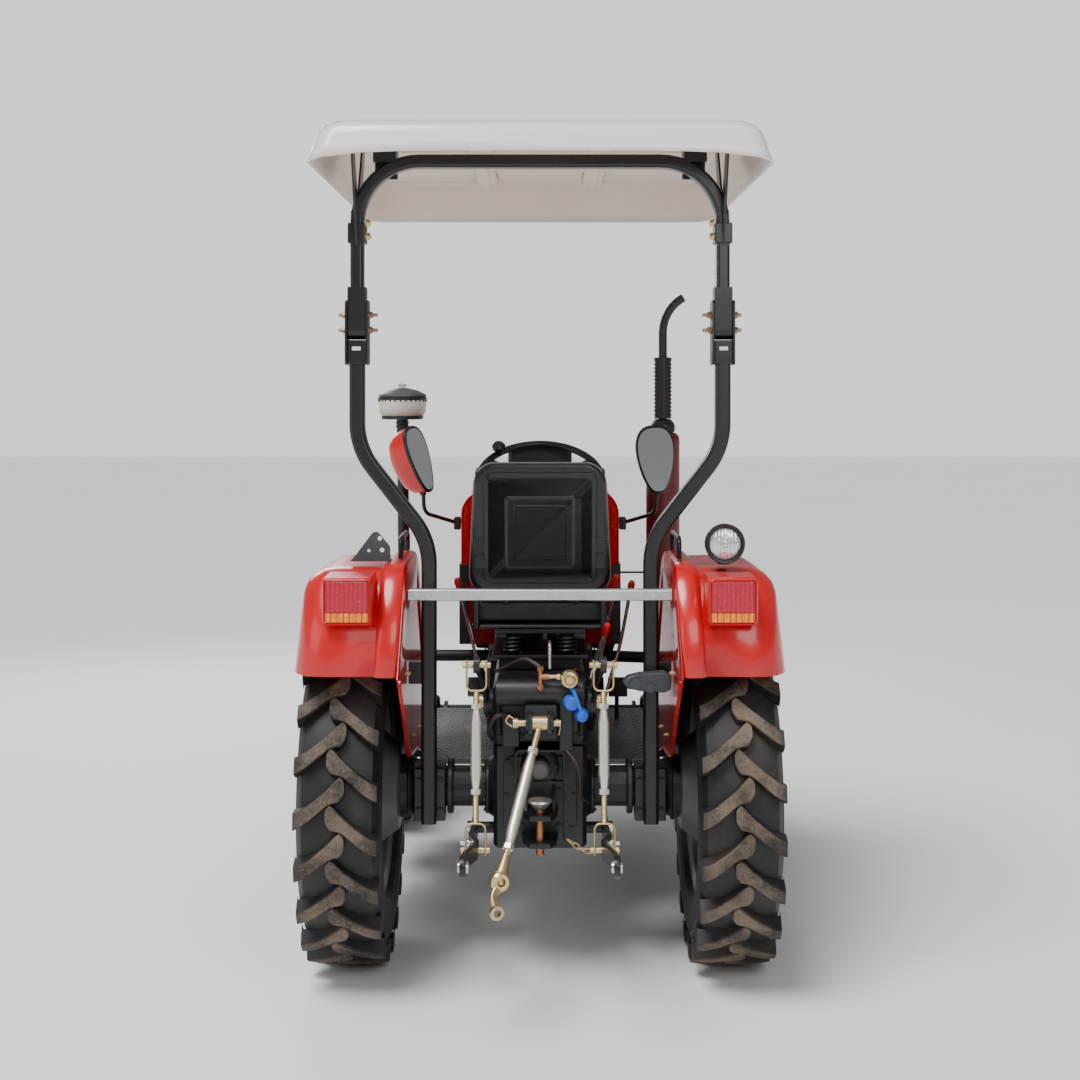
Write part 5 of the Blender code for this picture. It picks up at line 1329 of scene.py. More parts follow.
def pillow_mesh(low, high):
    """A crowned block whose sides pull in between its corners."""
    bm = bmesh.new()
    bmesh.ops.create_cube(bm, size=2.0)
    bmesh.ops.subdivide_edges(bm, edges=bm.edges[:], cuts=7, use_grid_fill=True)
    size = (Vector(high) - Vector(low)) / 2
    middle = (Vector(high) + Vector(low)) / 2
    for vert in bm.verts:
        x, y, z = vert.co
        pull = 1.0 - 0.05 * (1 - y * y) * (abs(x) > 0.99)
        crown = 1.0 + 0.1 * (1 - x * x) * (1 - y * y) if z > 0 else 1.0
        fall = 1.0 - 0.16 * (max(abs(x), abs(y)) ** 8) * (z > 0)
        vert.co = Vector((x * pull * size.x, y * size.y, z * crown * fall * size.z)) + middle
    return bm


def pucker(obj, depth, moved):
    """Shallow folds that gather at the seams, along a direction chosen for each vertex."""
    for vert in obj.data.vertices:
        share, way = moved(vert.co)
        if share > 0.0:
            fold = noise.noise(Vector((vert.co.x * 34.0, vert.co.y * 20.0, vert.co.z * 9.0)))
            vert.co += way * (depth * share * abs(fold))


def inflate(obj, cap):
    """Blows a closed skin up as cloth, limits how far it moved, and keeps the result."""
    remesh = obj.modifiers.new("even", "REMESH")
    remesh.mode = "VOXEL"
    remesh.voxel_size = CUSHION_VOXEL
    graph = bpy.context.evaluated_depsgraph_get()
    obj.data = bpy.data.meshes.new_from_object(obj.evaluated_get(graph))
    obj.modifiers.clear()
    before = [vert.co.copy() for vert in obj.data.vertices]
    cloth = obj.modifiers.new("stuffing", "CLOTH")
    cloth.settings.use_pressure = True
    cloth.settings.uniform_pressure_force = CUSHION_PRESSURE
    cloth.settings.quality = 5
    cloth.settings.effector_weights.gravity = 0.0
    cloth.settings.tension_stiffness = CUSHION_STIFFNESS
    cloth.settings.compression_stiffness = CUSHION_STIFFNESS
    scene = bpy.context.scene
    for number in range(1, CUSHION_FRAMES + 1):
        scene.frame_set(number)
    graph = bpy.context.evaluated_depsgraph_get()
    after = bpy.data.meshes.new_from_object(obj.evaluated_get(graph))
    obj.modifiers.clear()
    for vert, start, end in zip(obj.data.vertices, before, after.vertices):
        shift = end.co - start
        if shift.length > cap:
            shift = shift.normalized() * cap
        vert.co = start + shift
    scene.frame_set(1)
    bpy.data.meshes.remove(after)


def channel(obj, axis, places, depth, width, only_above):
    """Presses sewn channels into a cushion across one axis."""
    for vert in obj.data.vertices:
        if not only_above(vert.co):
            continue
        for place in places:
            away = abs(vert.co[axis] - place) / width
            if away < 2.5:
                vert.co.z -= depth * math.exp(-away * away)


def make_cushions():
    shrink = 0.007
    low, high = station_box("seat_cushion")
    bm = pillow_mesh(
        (low.x + shrink, low.y + shrink, low.z + 0.001), (high.x - shrink, high.y - shrink, high.z - 0.01)
    )
    cushion = piece(bm, "cushion_cover", "vinyl", ["seat_cushion"], crease=180.0)
    inflate(cushion, 0.007)
    top = low.z + (high.z - low.z) * 0.7
    channel(cushion, 0, (-0.11, 0.11), 0.007, 0.005, lambda co: co.z > top)
    rows = (ORIGIN.y + 0.12, ORIGIN.y + 0.26)
    channel(cushion, 1, rows, 0.006, 0.005, lambda co: co.z > top and abs(co.x) < 0.11)
    rear = ORIGIN.y + low.y + 0.02
    pucker(cushion, 0.006, lambda co: (max(0.0, min(1.0, (rear - co.y) / 0.015)), Vector((0, 1, 0))))
    for vert in cushion.data.vertices:
        vert.co.z = min(max(vert.co.z, low.z + 0.0005), high.z + 0.004)
    soften_skin(cushion)
    low, high = station_box("seat_back")
    tall = high.z - low.z
    deep = (high.y - low.y) - tall * math.tan(SEAT_LEAN)
    bm = pillow_mesh(
        (low.x + shrink, -tall / 2 + shrink, -deep / 2), (high.x - shrink, tall / 2 - shrink, deep / 2)
    )
    middle = Vector((0, (low.y + high.y) / 2, (low.z + high.z) / 2))
    tilt = Matrix.Rotation(SEAT_LEAN, 4, "X") @ Matrix.Rotation(-math.pi / 2, 4, "X")
    bmesh.ops.transform(bm, matrix=Matrix.Translation(middle) @ tilt, verts=bm.verts[:])
    back = piece(bm, "back_cover", "vinyl", ["seat_back"], crease=180.0)
    inflate(back, 0.006)
    for vert in back.data.vertices:
        vert.co.z = min(vert.co.z, high.z)
        wall = ORIGIN.y + 0.0165 - (vert.co.z - SHELL_LOW.z) * math.tan(SEAT_LEAN)
        vert.co.y = max(vert.co.y, wall)
    soften_skin(back)


def soften_skin(obj):
    skin = obj.modifiers.new("skin", "SUBSURF")
    skin.levels = 1
    skin.render_levels = 1


SPRING_X = 0.085


def make_seat_base():
    low, high = station_box("seat_base")
    bm = bmesh.new()
    box(bm, (-0.15, 0.0, 0.917), (0.15, 0.34, 0.93), 0.003)
    box(bm, (-0.13, 0.02, low.z + 0.001), (0.13, 0.3, 0.918), 0.006)
    box(bm, (-0.14, 0.01, high.z - 0.015), (0.14, 0.33, high.z), 0.003)
    for x in (-0.12, 0.12):
        box(bm, (x - 0.016, 0.015, high.z - 0.03), (x + 0.016, 0.325, high.z - 0.014), 0.004)
    for x in (-SPRING_X, SPRING_X):
        for y in (0.06, 0.28):
            rod(bm, (x, y, 0.928), (x, y, high.z - 0.014), 0.01, 16)
    piece(bm, "seat_frame", "black_paint", ["seat_base"])
    bm = bmesh.new()
    radius = sizes().spring_radius
    for x in (-SPRING_X, SPRING_X):
        for y in (0.032, 0.28):
            turns, steps = 4.5, 16
            count = int(turns * steps)
            rise = high.z - 0.02 - 0.934
            turn = [math.tau * i / steps for i in range(count + 1)]
            path = [
                (x + radius * math.cos(angle), y + radius * math.sin(angle), 0.935 + rise * i / count)
                for i, angle in enumerate(turn)
            ]
            sweep(bm, path, circle(0.0042, 8), (0, 0, 1))
    piece(bm, "seat_springs", "black_plastic")
    bm = bmesh.new()
    pipe(bm, bent([(0.03, -0.02, 0.975, 0), (0.03, -0.06, 0.975, 0.02), (0.03, -0.075, 0.9, 0)]), 0.006, 12)
    piece(bm, "seat_lever", "bright_steel")


# ================================================================ hood, cowl and dash
def outward(bm, up=True):
    """Turns a skin's faces so that its highest one looks up, or down for a lining."""
    bmesh.ops.recalc_face_normals(bm, faces=bm.faces[:])
    highest = max(bm.faces, key=lambda face: face.calc_center_median().z)
    if (highest.normal.z > 0) != up:
        bmesh.ops.reverse_faces(bm, faces=bm.faces[:])


def body_section(y, half, top, bottom, corner, steps=8):
    """Half-round section of the bodywork from one lower edge over the crown to the other."""
    points = [(half, bottom)]
    points += [(half - 0.004, top - corner - (top - corner - bottom) * share) for share in (0.5, 0.0)]
    for step in range(1, steps + 1):
        angle = math.pi / 2 * step / steps
        points.append(
            (half - 0.004 - corner + corner * math.cos(angle), top - corner + corner * math.sin(angle))
        )
    points = points + [(0.0, top)] + [(-x, z) for x, z in reversed(points)]
    return [(x, y, z) for x, z in points]


def skin(bm, rings):
    """Bridges open rows of points into one sheet and returns the last row's corners."""
    rows = []
    for points in rings:
        corners = [bm.verts.new(point) for point in points]
        rows.append((corners, [bm.edges.new(pair) for pair in zip(corners, corners[1:])]))
    for (_, first), (_, second) in zip(rows, rows[1:]):
        bmesh.ops.bridge_loops(bm, edges=first + second)
    return rows[0][0], rows[-1][0]


def make_hood():
    body = "hood_lid"
    low, high = HOOD_LOW, HOOD_HIGH
    half, nose = high.x, 0.255
    crown, dip = high.z, 1.29
    front, span = high.y, high.y - low.y
    bm = bmesh.new()
    rings = []
    for share in (0.0, 0.004, 0.02, 0.25, 0.5, 0.75, 0.9):
        width = half + (nose - half) * share
        rise = 0.004 if share == 0.0 else 0.0
        top = crown + (dip - crown) * share - 0.001 - rise
        rings.append(body_section(low.y + span * share, width - rise, top, low.z, 0.09))
    for step in range(1, 7):
        angle = math.pi / 2 * step / 6
        y = front - 0.103 + 0.103 * math.sin(angle) * 0.94
        share = (y - low.y) / span
        pull = 0.06 * (1 - math.cos(angle))
        width = half + (nose - half) * share - pull
        rings.append(body_section(y, width, crown + (dip - crown) * share - 0.001 - pull, low.z, 0.09))
    _, last = skin(bm, rings)
    bm.faces.new(last)
    outward(bm)
    hood = piece(bm, "hood_skin", "red_paint", ["hood"], body=body, turn_out=False, crease=50.0)
    shell_wall(hood, 0.003)
    bm = bmesh.new()
    nose_y = front - 0.0062
    rings = []
    for out, inset in ((-0.01, 0.0), (0.002, 0.002), (0.004, 0.01), (-0.002, 0.016), (-0.004, 0.02)):
        ring = rounded(2 * (0.185 - inset), 0.29 - 2 * inset, 0.03)
        rings.append([(a, nose_y + out, 1.015 + b) for a, b in ring])
    loft(bm, rings)
    for number in range(9):
        z = 0.905 + number * 0.0275
        box(bm, (-0.16, nose_y - 0.006, z), (0.16, nose_y + 0.0045, z + 0.012), 0.003)
    box(bm, (-0.01, nose_y - 0.004, 0.9), (0.01, nose_y + 0.0055, 1.13), 0.003)
    piece(bm, "grille_bars", "black_plastic", ["grille"], body=body)
    for name, side in SIDES:
        bm = bmesh.new()
        outline = [(side * a, b) for a, b in ((0.05, 1.145), (0.178, 1.14), (0.182, 1.195), (0.06, 1.205))]
        slab(bm, outline, "Y", nose_y - 0.012, nose_y + 0.005, 0.006, 3)
        piece(bm, "headlamp_" + name, "clear_lens", body=body)
        bm = bmesh.new()
        for number in range(7):
            y = 1.42 + number * 0.052
            x = side * (half + (nose - half) * (y - low.y) / span - 0.0025)
            box(bm, (x - 0.004, y, 0.98), (x + 0.004, y + 0.03, 1.15), 0.003)
        piece(bm, "side_louvres_" + name, "black_plastic", body=body)
        bm = bmesh.new()
        strip = [(side * (half - 0.001), 1.02, 0.925), (side * (nose + 0.002), 1.93, 0.925)]
        sweep(bm, strip, rounded(0.004, 0.026, 0.0018), (0, 0, 1))
        piece(bm, "side_strip_" + name, "black_plastic", body=body)
    bm = bmesh.new()
    lathe(
        bm, [(0.0, 0.012), (0.016, 0.01), (0.02, 0.004), (0.021, 0.0)], (0, front - 0.03, 1.232),
        (0, 0.3, 1), 24
    )
    piece(bm, "hood_catch", "black_plastic", body=body)


def make_cowl():
    low, high = COWL_LOW, COWL_HIGH
    bm = bmesh.new()
    half, crown = high.x, high.z - 0.001
    back, front = low.y, 0.994
    rings = [body_section(back + 0.004, half - 0.01, crown - 0.01, low.z, 0.084)]
    rings.append(body_section(back, half - 0.003, crown - 0.003, low.z, 0.09))
    rings.append(body_section(back + 0.006, half, crown, low.z, 0.09))
    rings.append(body_section(front, half, crown, low.z, 0.09))
    first, _ = skin(bm, rings)
    bm.faces.new(first)
    outward(bm)
    cowl = piece(bm, "cowl_skin", "red_paint", ["cowl"], turn_out=False, crease=50.0)
    shell_wall(cowl, 0.003)
    bm = bmesh.new()
    pipe(bm, body_section(front + 0.001, half - 0.003, crown - 0.003, low.z, 0.09), 0.0025, 8)
    box(bm, (-0.06, front - 0.02, crown - 0.03), (0.06, front + 0.035, crown - 0.008), 0.002)
    for _, side in SIDES:
        side_box(bm, side, (half - 0.03, back - 0.003, low.z + 0.002), (half + 0.0015, 0.99, 1.13), 0.0012, 1)
    piece(bm, "cowl_seal", "black_plastic")


def wheel_frame():
    low, high = station_box("steering_wheel")
    tilt = math.radians(33.0)
    radius = (high.x - low.x) / 2 - 0.0125
    centre = Vector((0.0, 0.5, 1.452))
    return centre, Matrix.Translation(centre) @ Matrix.Rotation(tilt, 4, "X"), radius, tilt


def make_dash():
    _, high = station_box("dash_console")
    centre, _, _, tilt = wheel_frame()
    half = high.x
    bm = bmesh.new()
    outline = [(0.662, 0.804), (0.602, 1.1), (0.602, 1.232), (0.7, 1.3), (0.722, 1.44)]
    outline += [(0.745, 1.472), (0.78, 1.477), (0.797, 1.468), (0.797, 0.804)]
    slab(bm, outline, "X", -half + 0.001, half - 0.001, 0.012, 3)
    back = high.y - 0.07
    box(bm, (-0.114, back, 1.44), (0.114, high.y - 0.007, high.z - 0.001), 0.016, 4)
    piece(bm, "console", "black_plastic", ["dash_console"])
    bm = bmesh.new()
    down = Vector((0, math.sin(tilt), -math.cos(tilt)))
    start = centre + down * 0.052
    rod(bm, start, centre + down * 0.26, 0.024, 32)
    rod(bm, centre + down * 0.14, centre + down * 0.26, 0.036, 32, 0.046)
    lathe(bm, [(0.026, 0.1), (0.033, 0.09), (0.028, 0.08), (0.035, 0.07), (0.029, 0.06)], start, down, 32)
    piece(bm, "column_boot", "black_plastic")
    bm = bmesh.new()
    face = Vector((0, -0.985, 0.17)).normalized()
    dials = ((-0.062, 0.712, 1.385, 0.04), (0.062, 0.712, 1.385, 0.04))
    for x, y, z, size in dials:
        lathe(
            bm, [(size - 0.004, 0.0), (size, 0.004), (size - 0.002, 0.008), (size - 0.006, 0.006)],
            (x, y, z), face, 32
        )
    for x in (-0.12, -0.095, 0.095, 0.12):
        box(bm, (x - 0.008, 0.69, 1.318), (x + 0.008, 0.716, 1.336), 0.003)
    piece(bm, "dial_rims", "bright_steel")
    bm = bmesh.new()
    for x, y, z, size in dials:
        lathe(bm, [(0.0, 0.003), (size - 0.004, 0.002), (size - 0.003, 0.0)], (x, y, z), face, 32)
    piece(bm, "dial_glass", "dial_face")


def make_hand_wheel():
    _, turn, radius, _ = wheel_frame()
    bm = bmesh.new()
    grip = [(radius + a, b) for a, b in circle(0.0122, 16)]
    lathe(bm, grip, (0, 0, 0), (0, 0, 1), 96, closed=True)
    for number in range(3):
        spoke = []
        for y, w, h, z in (
            (0.02, 0.026, 0.009, 0.002), (0.1, 0.015, 0.006, -0.002), (radius - 0.004, 0.019, 0.006, 0)
        ):
            spoke.append([(a * w, y, b * h + z) for a, b in circle(1.0, 12)])
        turned_about(bm, loft(bm, spoke), math.radians(60.0 + 120.0 * number), "Z", (0, 0, 0))
    hub = [
        (0.0, 0.015), (0.028, 0.013), (0.04, 0.006), (0.043, -0.006), (0.034, -0.03), (0.027, -0.0495),
        (0.0, -0.0495)
    ]
    lathe(bm, hub, (0, 0, 0), (0, 0, 1), 48)
    bmesh.ops.transform(bm, matrix=turn, verts=bm.verts[:])
    piece(bm, "hand_wheel_rim", "black_plastic", ["steering_wheel"], body="hand_wheel")
    bm = bmesh.new()
    knob = Vector((-radius * 0.68, radius * 0.68, 0.0))
    ball = [
        (0.0, 0.052), (0.016, 0.05), (0.024, 0.04), (0.022, 0.028), (0.012, 0.02), (0.012, 0.006),
        (0.0, 0.006)
    ]
    lathe(bm, ball, knob, (0, 0, 1), 24)
    bmesh.ops.transform(bm, matrix=turn, verts=bm.verts[:])
    piece(bm, "spinner_knob", "black_plastic", body="hand_wheel")


def make_levers():
    bm = bmesh.new()
    grips = bmesh.new()
    layout = (
        ((0.215, 0.3, 0.94), (0.245, 0.235, 1.12), 0.014),
        ((0.262, 0.24, 0.93), (0.29, 0.16, 1.11), 0.012),
        ((-0.225, 0.28, 0.94), (-0.262, 0.23, 1.11), 0.013),
        ((0.01, 0.62, 0.76), (0.02, 0.52, 0.99), 0.016),
        ((0.165, 0.04, 0.885), (0.2, -0.07, 1.012), 0.012),
    )
    for foot, top, size in layout:
        foot, top = Vector(foot), Vector(top)
        root = Vector((foot.x * 0.75, foot.y, 0.7 if foot.y < 0.5 else 0.655))
        pipe(bm, curve([root, foot.lerp(root, 0.4), foot, top]), 0.006, 10)
        ahead = (top - foot).normalized()
        profile = [
            (0.0, 0.04), (size * 0.7, 0.037), (size, 0.024), (size * 0.8, 0.0), (size * 0.5, -0.014),
            (0.0, -0.016)
        ]
        lathe(grips, profile, top, ahead, 20)
    piece(bm, "lever_stems", "bright_steel")
    piece(grips, "lever_grips", "grip_plastic")
    bm = bmesh.new()
    for x, y in ((-0.23, 0.9), (0.2, 0.9), (0.285, 0.9)):
        plate = [(y - 0.045, 0.64), (y - 0.04, 0.648), (y + 0.025, 0.7), (y + 0.022, 0.69)]
        slab(bm, plate, "X", x - 0.035, x + 0.035, 0.002)
        pipe(bm, curve([(x, y, 0.668), (x, y + 0.05, 0.64), (x, y + 0.06, PLATE_HIGH.z + 0.002)]), 0.008, 10)
    piece(bm, "pedals", "black_paint")


# ================================================================ exhaust, pre-cleaner, mirrors
EXHAUST_AT = (0.456, 0.96)
PRECLEANER_AT = (-0.51, 0.95)
PORT = (0.192, 1.05, 0.76)


def make_exhaust():
    _, high = station_box("exhaust")
    x, y = EXHAUST_AT
    bm = bmesh.new()
    can = [
        (0.0, 1.602), (0.045, 1.602), (0.0585, 1.59), (0.0622, 1.575), (0.0622, 0.925), (0.0585, 0.91),
        (0.0, 0.902)
    ]
    lathe(bm, can, (x, y, 0), (0, 0, 1), 40)
    for z in (1.56, 1.24, 0.945):
        band = [(0.0615, z - 0.012), (0.0624, z - 0.01), (0.0624, z + 0.01), (0.0615, z + 0.012)]
        lathe(bm, band, (x, y, 0), (0, 0, 1), 40)
    piece(bm, "muffler_can", "muffler_red", ["exhaust"])
    bm = bmesh.new()
    collar = [(0.0, 1.652), (0.028, 1.652), (0.04, 1.64), (0.045, 1.628), (0.045, 1.606), (0.03, 1.6)]
    lathe(bm, collar, (x, y, 0), (0, 0, 1), 32)
    for a, b in spaced(4, 0.5):
        bolt(bm, (x + 0.036 * a, y + 0.036 * b, 1.638), (0, 0, 1), 0.006)
    pipe(
        bm, bent([(x, y, 1.64, 0), (x, y, high.z - 0.062, 0.15), (x + 0.076, y, high.z - 0.014, 0)], 12),
        0.0155, 20
    )
    pipe(bm, bent([(x, y, 0.92, 0), (x, 0.99, PORT[2], 0.06), (*PORT, 0)], 10), 0.0215, 20)
    piece(bm, "exhaust_pipes", "heat_paint")
    bm = bmesh.new()
    rows, around, shield = 15, 22, 0.0325
    for row in range(rows):
        for a, b in spaced(around, 0.5 * (row % 2)):
            out = Vector((a, b, 0))
            at = Vector((x, y, 1.668 + row * 0.0144)) + out * shield
            rod(bm, at - out * 0.004, at, 0.003, 6, 0.0042)
    for z in (1.66, 1.88):
        rim = [(shield - 0.003, z - 0.006), (shield, z - 0.006), (shield, z), (shield - 0.003, z)]
        lathe(bm, rim, (x, y, 0), (0, 0, 1), 40, True)
    lathe(bm, [(shield - 0.0025, 1.655), (shield - 0.0025, 1.88), (0.016, 1.881)], (x, y, 0), (0, 0, 1), 40)
    piece(bm, "exhaust_guard", "heat_paint")
    bm = bmesh.new()
    box(bm, (0.292, y - 0.012, 1.08), (x, y + 0.012, 1.086), 0.002)
    lathe(
        bm, [(0.062, 1.072), (0.0645, 1.072), (0.0645, 1.094), (0.062, 1.094)], (x, y, 0), (0, 0, 1), 40,
        True
    )
    piece(bm, "muffler_strap", "black_paint")


def make_precleaner():
    x, y = PRECLEANER_AT
    base, top = 1.65, 1.785

    def turned(bm, profile, closed=False, steps=56):
        lathe(bm, [(radius, base + z) for radius, z in profile], (x, y, 0), (0, 0, 1), steps, closed)

    bm = bmesh.new()
    turned(
        bm,
        [
            (0.0, 0.006), (0.03, 0.004), (0.058, 0.003), (0.073, 0.01), (0.0865, 0.03), (0.088, 0.072),
            (0.0, 0.074)
        ]
    )
    piece(bm, "precleaner_bowl", "bowl_plastic", ["air_precleaner"])
    bm = bmesh.new()
    turned(
        bm, [(0.0, 0.072), (0.0885, 0.072), (0.0905, 0.075), (0.0905, 0.082), (0.086, 0.086), (0.0, 0.088)]
    )
    turned(bm, [(0.066, 0.0005), (0.0765, 0.002), (0.0775, 0.014), (0.07, 0.016)], True)
    for a, b in spaced(28):
        at = Vector((x + 0.088 * a, y + 0.088 * b, base + 0.066))
        rod(bm, at, at + Vector((0, 0, 0.01)), 0.003, 8)
    pipe(bm, bent([(x, y, base + 0.01, 0), (x, *PORT[1:], 0.09), (-PORT[0], *PORT[1:], 0)], 12), 0.0215, 24)
    for z in (-0.03, -0.016):
        turned(bm, [(0.021, z), (0.0245, z + 0.001), (0.0245, z + 0.009), (0.021, z + 0.01)], True, 32)
    piece(bm, "precleaner_pipe", "black_plastic")
    bm = bmesh.new()
    turned(bm, [(0.0, 0.119), (0.02, 0.117), (0.06, 0.107), (0.088, 0.093), (0.0895, 0.086), (0.0, 0.085)])
    piece(bm, "precleaner_lid", "grey_plastic")
    bm = bmesh.new()
    rod(bm, (x, y, top - 0.018), (x, y, top - 0.001), 0.004, 12)
    box(bm, (x - 0.016, y - 0.002, top - 0.014), (x + 0.016, y + 0.002, top - 0.004), 0.0015)
    piece(bm, "precleaner_nut", "bright_steel")


MIRROR_SET = {
    "left": (math.radians(64.0), math.radians(-17.0)), "right": (math.radians(12.0), math.radians(-5.0))
}


def drop_outline(wide, tall, steps=40):
    """A drop: broad round top, drawn in towards a narrow round foot."""
    points = []
    for i in range(steps):
        angle = math.tau * i / steps
        up = math.sin(angle)
        half = wide * (0.78 + 0.22 * up) * abs(math.cos(angle)) ** 0.72 * (1 if math.cos(angle) >= 0 else -1)
        points.append((half, tall * up))
    return points


def make_mirror(name, side):
    x, y, z = side * 0.42, 0.74, 1.51
    wide, tall = 0.086, 0.122
    turn, lean = MIRROR_SET[name]
    centre = Vector((x, y + 0.0225, z))
    foot = centre - Vector((0, 0, tall - 0.03))
    outline = drop_outline(wide, tall)
    set_up = Matrix.Rotation(lean, 3, "Y") @ Matrix.Rotation(turn, 3, "Z")

    def head(label, look, rings, stands_for=()):
        bm = bmesh.new()
        loft(bm, [[(x + a * share, y + depth, z + b * share) for a, b in outline] for share, depth in rings])
        bmesh.ops.rotate(bm, verts=bm.verts[:], cent=foot, matrix=set_up)
        piece(bm, "mirror_" + label + "_" + name, look, stands_for, crease=50.0)

    shell = ((1.0, 0.004), (0.99, 0.018), (0.92, 0.04), (0.74, 0.058), (0.42, 0.07), (0.1, 0.074))
    deeper = 1.5 if side < 0 else 1.0
    head("shell", "red_plastic", [(share, depth * deeper) for share, depth in shell], ["mirror_" + name])
    head("rim", "black_plastic", ((1.0, 0.01), (1.02, 0.004), (1.0, -0.001), (0.94, -0.003), (0.92, 0.003)))
    head("glass", "mirror_glass", ((0.93, 0.002), (0.93, -0.0015)))
    bm = bmesh.new()
    clamp = side * COWL_HIGH.x
    path = bent(
        [(clamp + side * 0.016, 0.9, 1.272, 0), (x - side * 0.004, foot.y, 1.318, 0.04), (*foot, 0)], 10
    )
    pipe(bm, path, 0.0072, 14)
    x_pair = sorted((clamp + side * 0.0005, clamp + side * 0.026))
    box(bm, (x_pair[0], 0.877, 1.247), (x_pair[1], 0.923, 1.293), 0.005)
    rod(bm, foot - Vector((0, 0, 0.036)), foot + Vector((0, 0, 0.004)), 0.012, 20)
    piece(bm, "mirror_arm_" + name, "black_plastic")


# ================================================================ hitch
ARM_PIN = Vector((0.0, -0.17, 0.818))
ARM_END = Vector((0.0, -0.42, 0.97))
LINK_PIN = Vector((0.0, -0.5, 0.465))
LINK_ROOT = Vector((0.0, -0.02, 0.4))
LINK_TIP = Vector((0.0, -0.8, 0.505))
TOP_PIN = Vector((0.0, -0.35, 0.79))
ROD_X = 0.181
CLEVIS_HALF = 0.028


def fork(bm, at, ahead, across, wide, reach, thick):
    """A U-shaped clevis: two cheeks joined by a bridge, open towards its pin."""
    across = across.normalized()
    path = bent(
        [
            (*(at + across * wide), 0), (*(at + across * wide + ahead * reach), wide * 0.6),
            (*(at - across * wide + ahead * reach), wide * 0.6), (*(at - across * wide), 0),
        ],
        6,
    )
    sweep(bm, path, rounded(thick, 0.02, 0.0022), ahead.cross(across))


def turnbuckle(bm, bright, top, low, body_start, body_end, radius):
    """Threaded rod ends either side of a hexagon-necked sleeve."""
    along = low - top
    ahead = along.normalized()
    a, b = top + along * body_start, top + along * body_end
    sleeve = [
        (0.0, 0.0), (radius * 0.62, 0.0), (radius * 0.74, 0.01), (radius, 0.04),
        (radius, (b - a).length - 0.04), (radius * 0.74, (b - a).length - 0.01),
        (radius * 0.62, (b - a).length), (0.0, (b - a).length),
    ]
    lathe(bright, sleeve, a, ahead, 28)
    for spot, way in ((a, -1), (b, 1)):
        rod(bright, spot, spot + ahead * way * 0.014, radius * 0.95, 6)
    for start, end in ((top, a), (b, low)):
        rod(bm, start, end, radius * 0.52, 16)
        span = (end - start).length
        for number in range(int(span / 0.006)):
            at = start + (end - start).normalized() * (0.003 + number * 0.006)
            lathe(bm, [(radius * 0.52, -0.002), (radius * 0.6, 0.0), (radius * 0.52, 0.002)], at, ahead, 14)


def make_lift_rod(name, side):
    top = ARM_END + Vector((side * ROD_X, 0, 0))
    bottom = LINK_PIN + Vector((side * ROD_X, 0, 0))
    ahead = (bottom - top).normalized()
    gold, pale = bmesh.new(), bmesh.new()
    across = Vector((1, 0, 0))
    for at, way in ((top, ahead), (bottom, -ahead)):
        fork(gold, at - way * 0.014, way, across, CLEVIS_HALF, 0.086, 0.0055)
        rod(gold, at - across * (CLEVIS_HALF + 0.012), at + across * (CLEVIS_HALF + 0.012), 0.0085, 20)
        bolt(gold, at + across * side * (CLEVIS_HALF + 0.003), across * side, 0.01, False)
    turnbuckle(gold, pale, top + ahead * 0.07, bottom - ahead * 0.07, 0.14, 0.74, 0.0158)
    piece(gold, "lift_rod_ends_" + name, "yellow_zinc", ["lift_rod_" + name], body="lift_rods")
    piece(pale, "lift_rod_sleeve_" + name, "pale_zinc", body="lift_rods")


def make_lift_arm(name, side):
    low, high = station_box("lift_arm_" + name)
    x = side * (abs(low.x) + abs(high.x)) / 2
    root, end = ARM_PIN + Vector((x, 0, 0)), ARM_END + Vector((side * ROD_X, 0, 0))
    out = Vector((side * 0.01, 0, 0))
    bm = bmesh.new()
    route = [root, root.lerp(end, 0.45) + Vector((0, -0.004, 0.024)), end + Vector((0, 0.05, -0.008)), end]
    sweep(bm, curve(route), rounded(0.042, 0.016, 0.005), (1, 0, 0))
    rod(bm, root - out * 1.1, root + out * 1.1, 0.038, 32)
    rod(bm, end - out * 0.9, end + out * 0.9, 0.023, 28)
    piece(bm, "lift_arm_bar_" + name, "black_paint", ["lift_arm_" + name], body="lift_arms")
    bm = bmesh.new()
    rod(bm, root + out, root + out * 2.6, 0.022, 24)
    bolt(bm, root + out * 2.6, (side, 0, 0), 0.014)
    piece(bm, "arm_hub_" + name, "yellow_zinc", body="lift_arms")


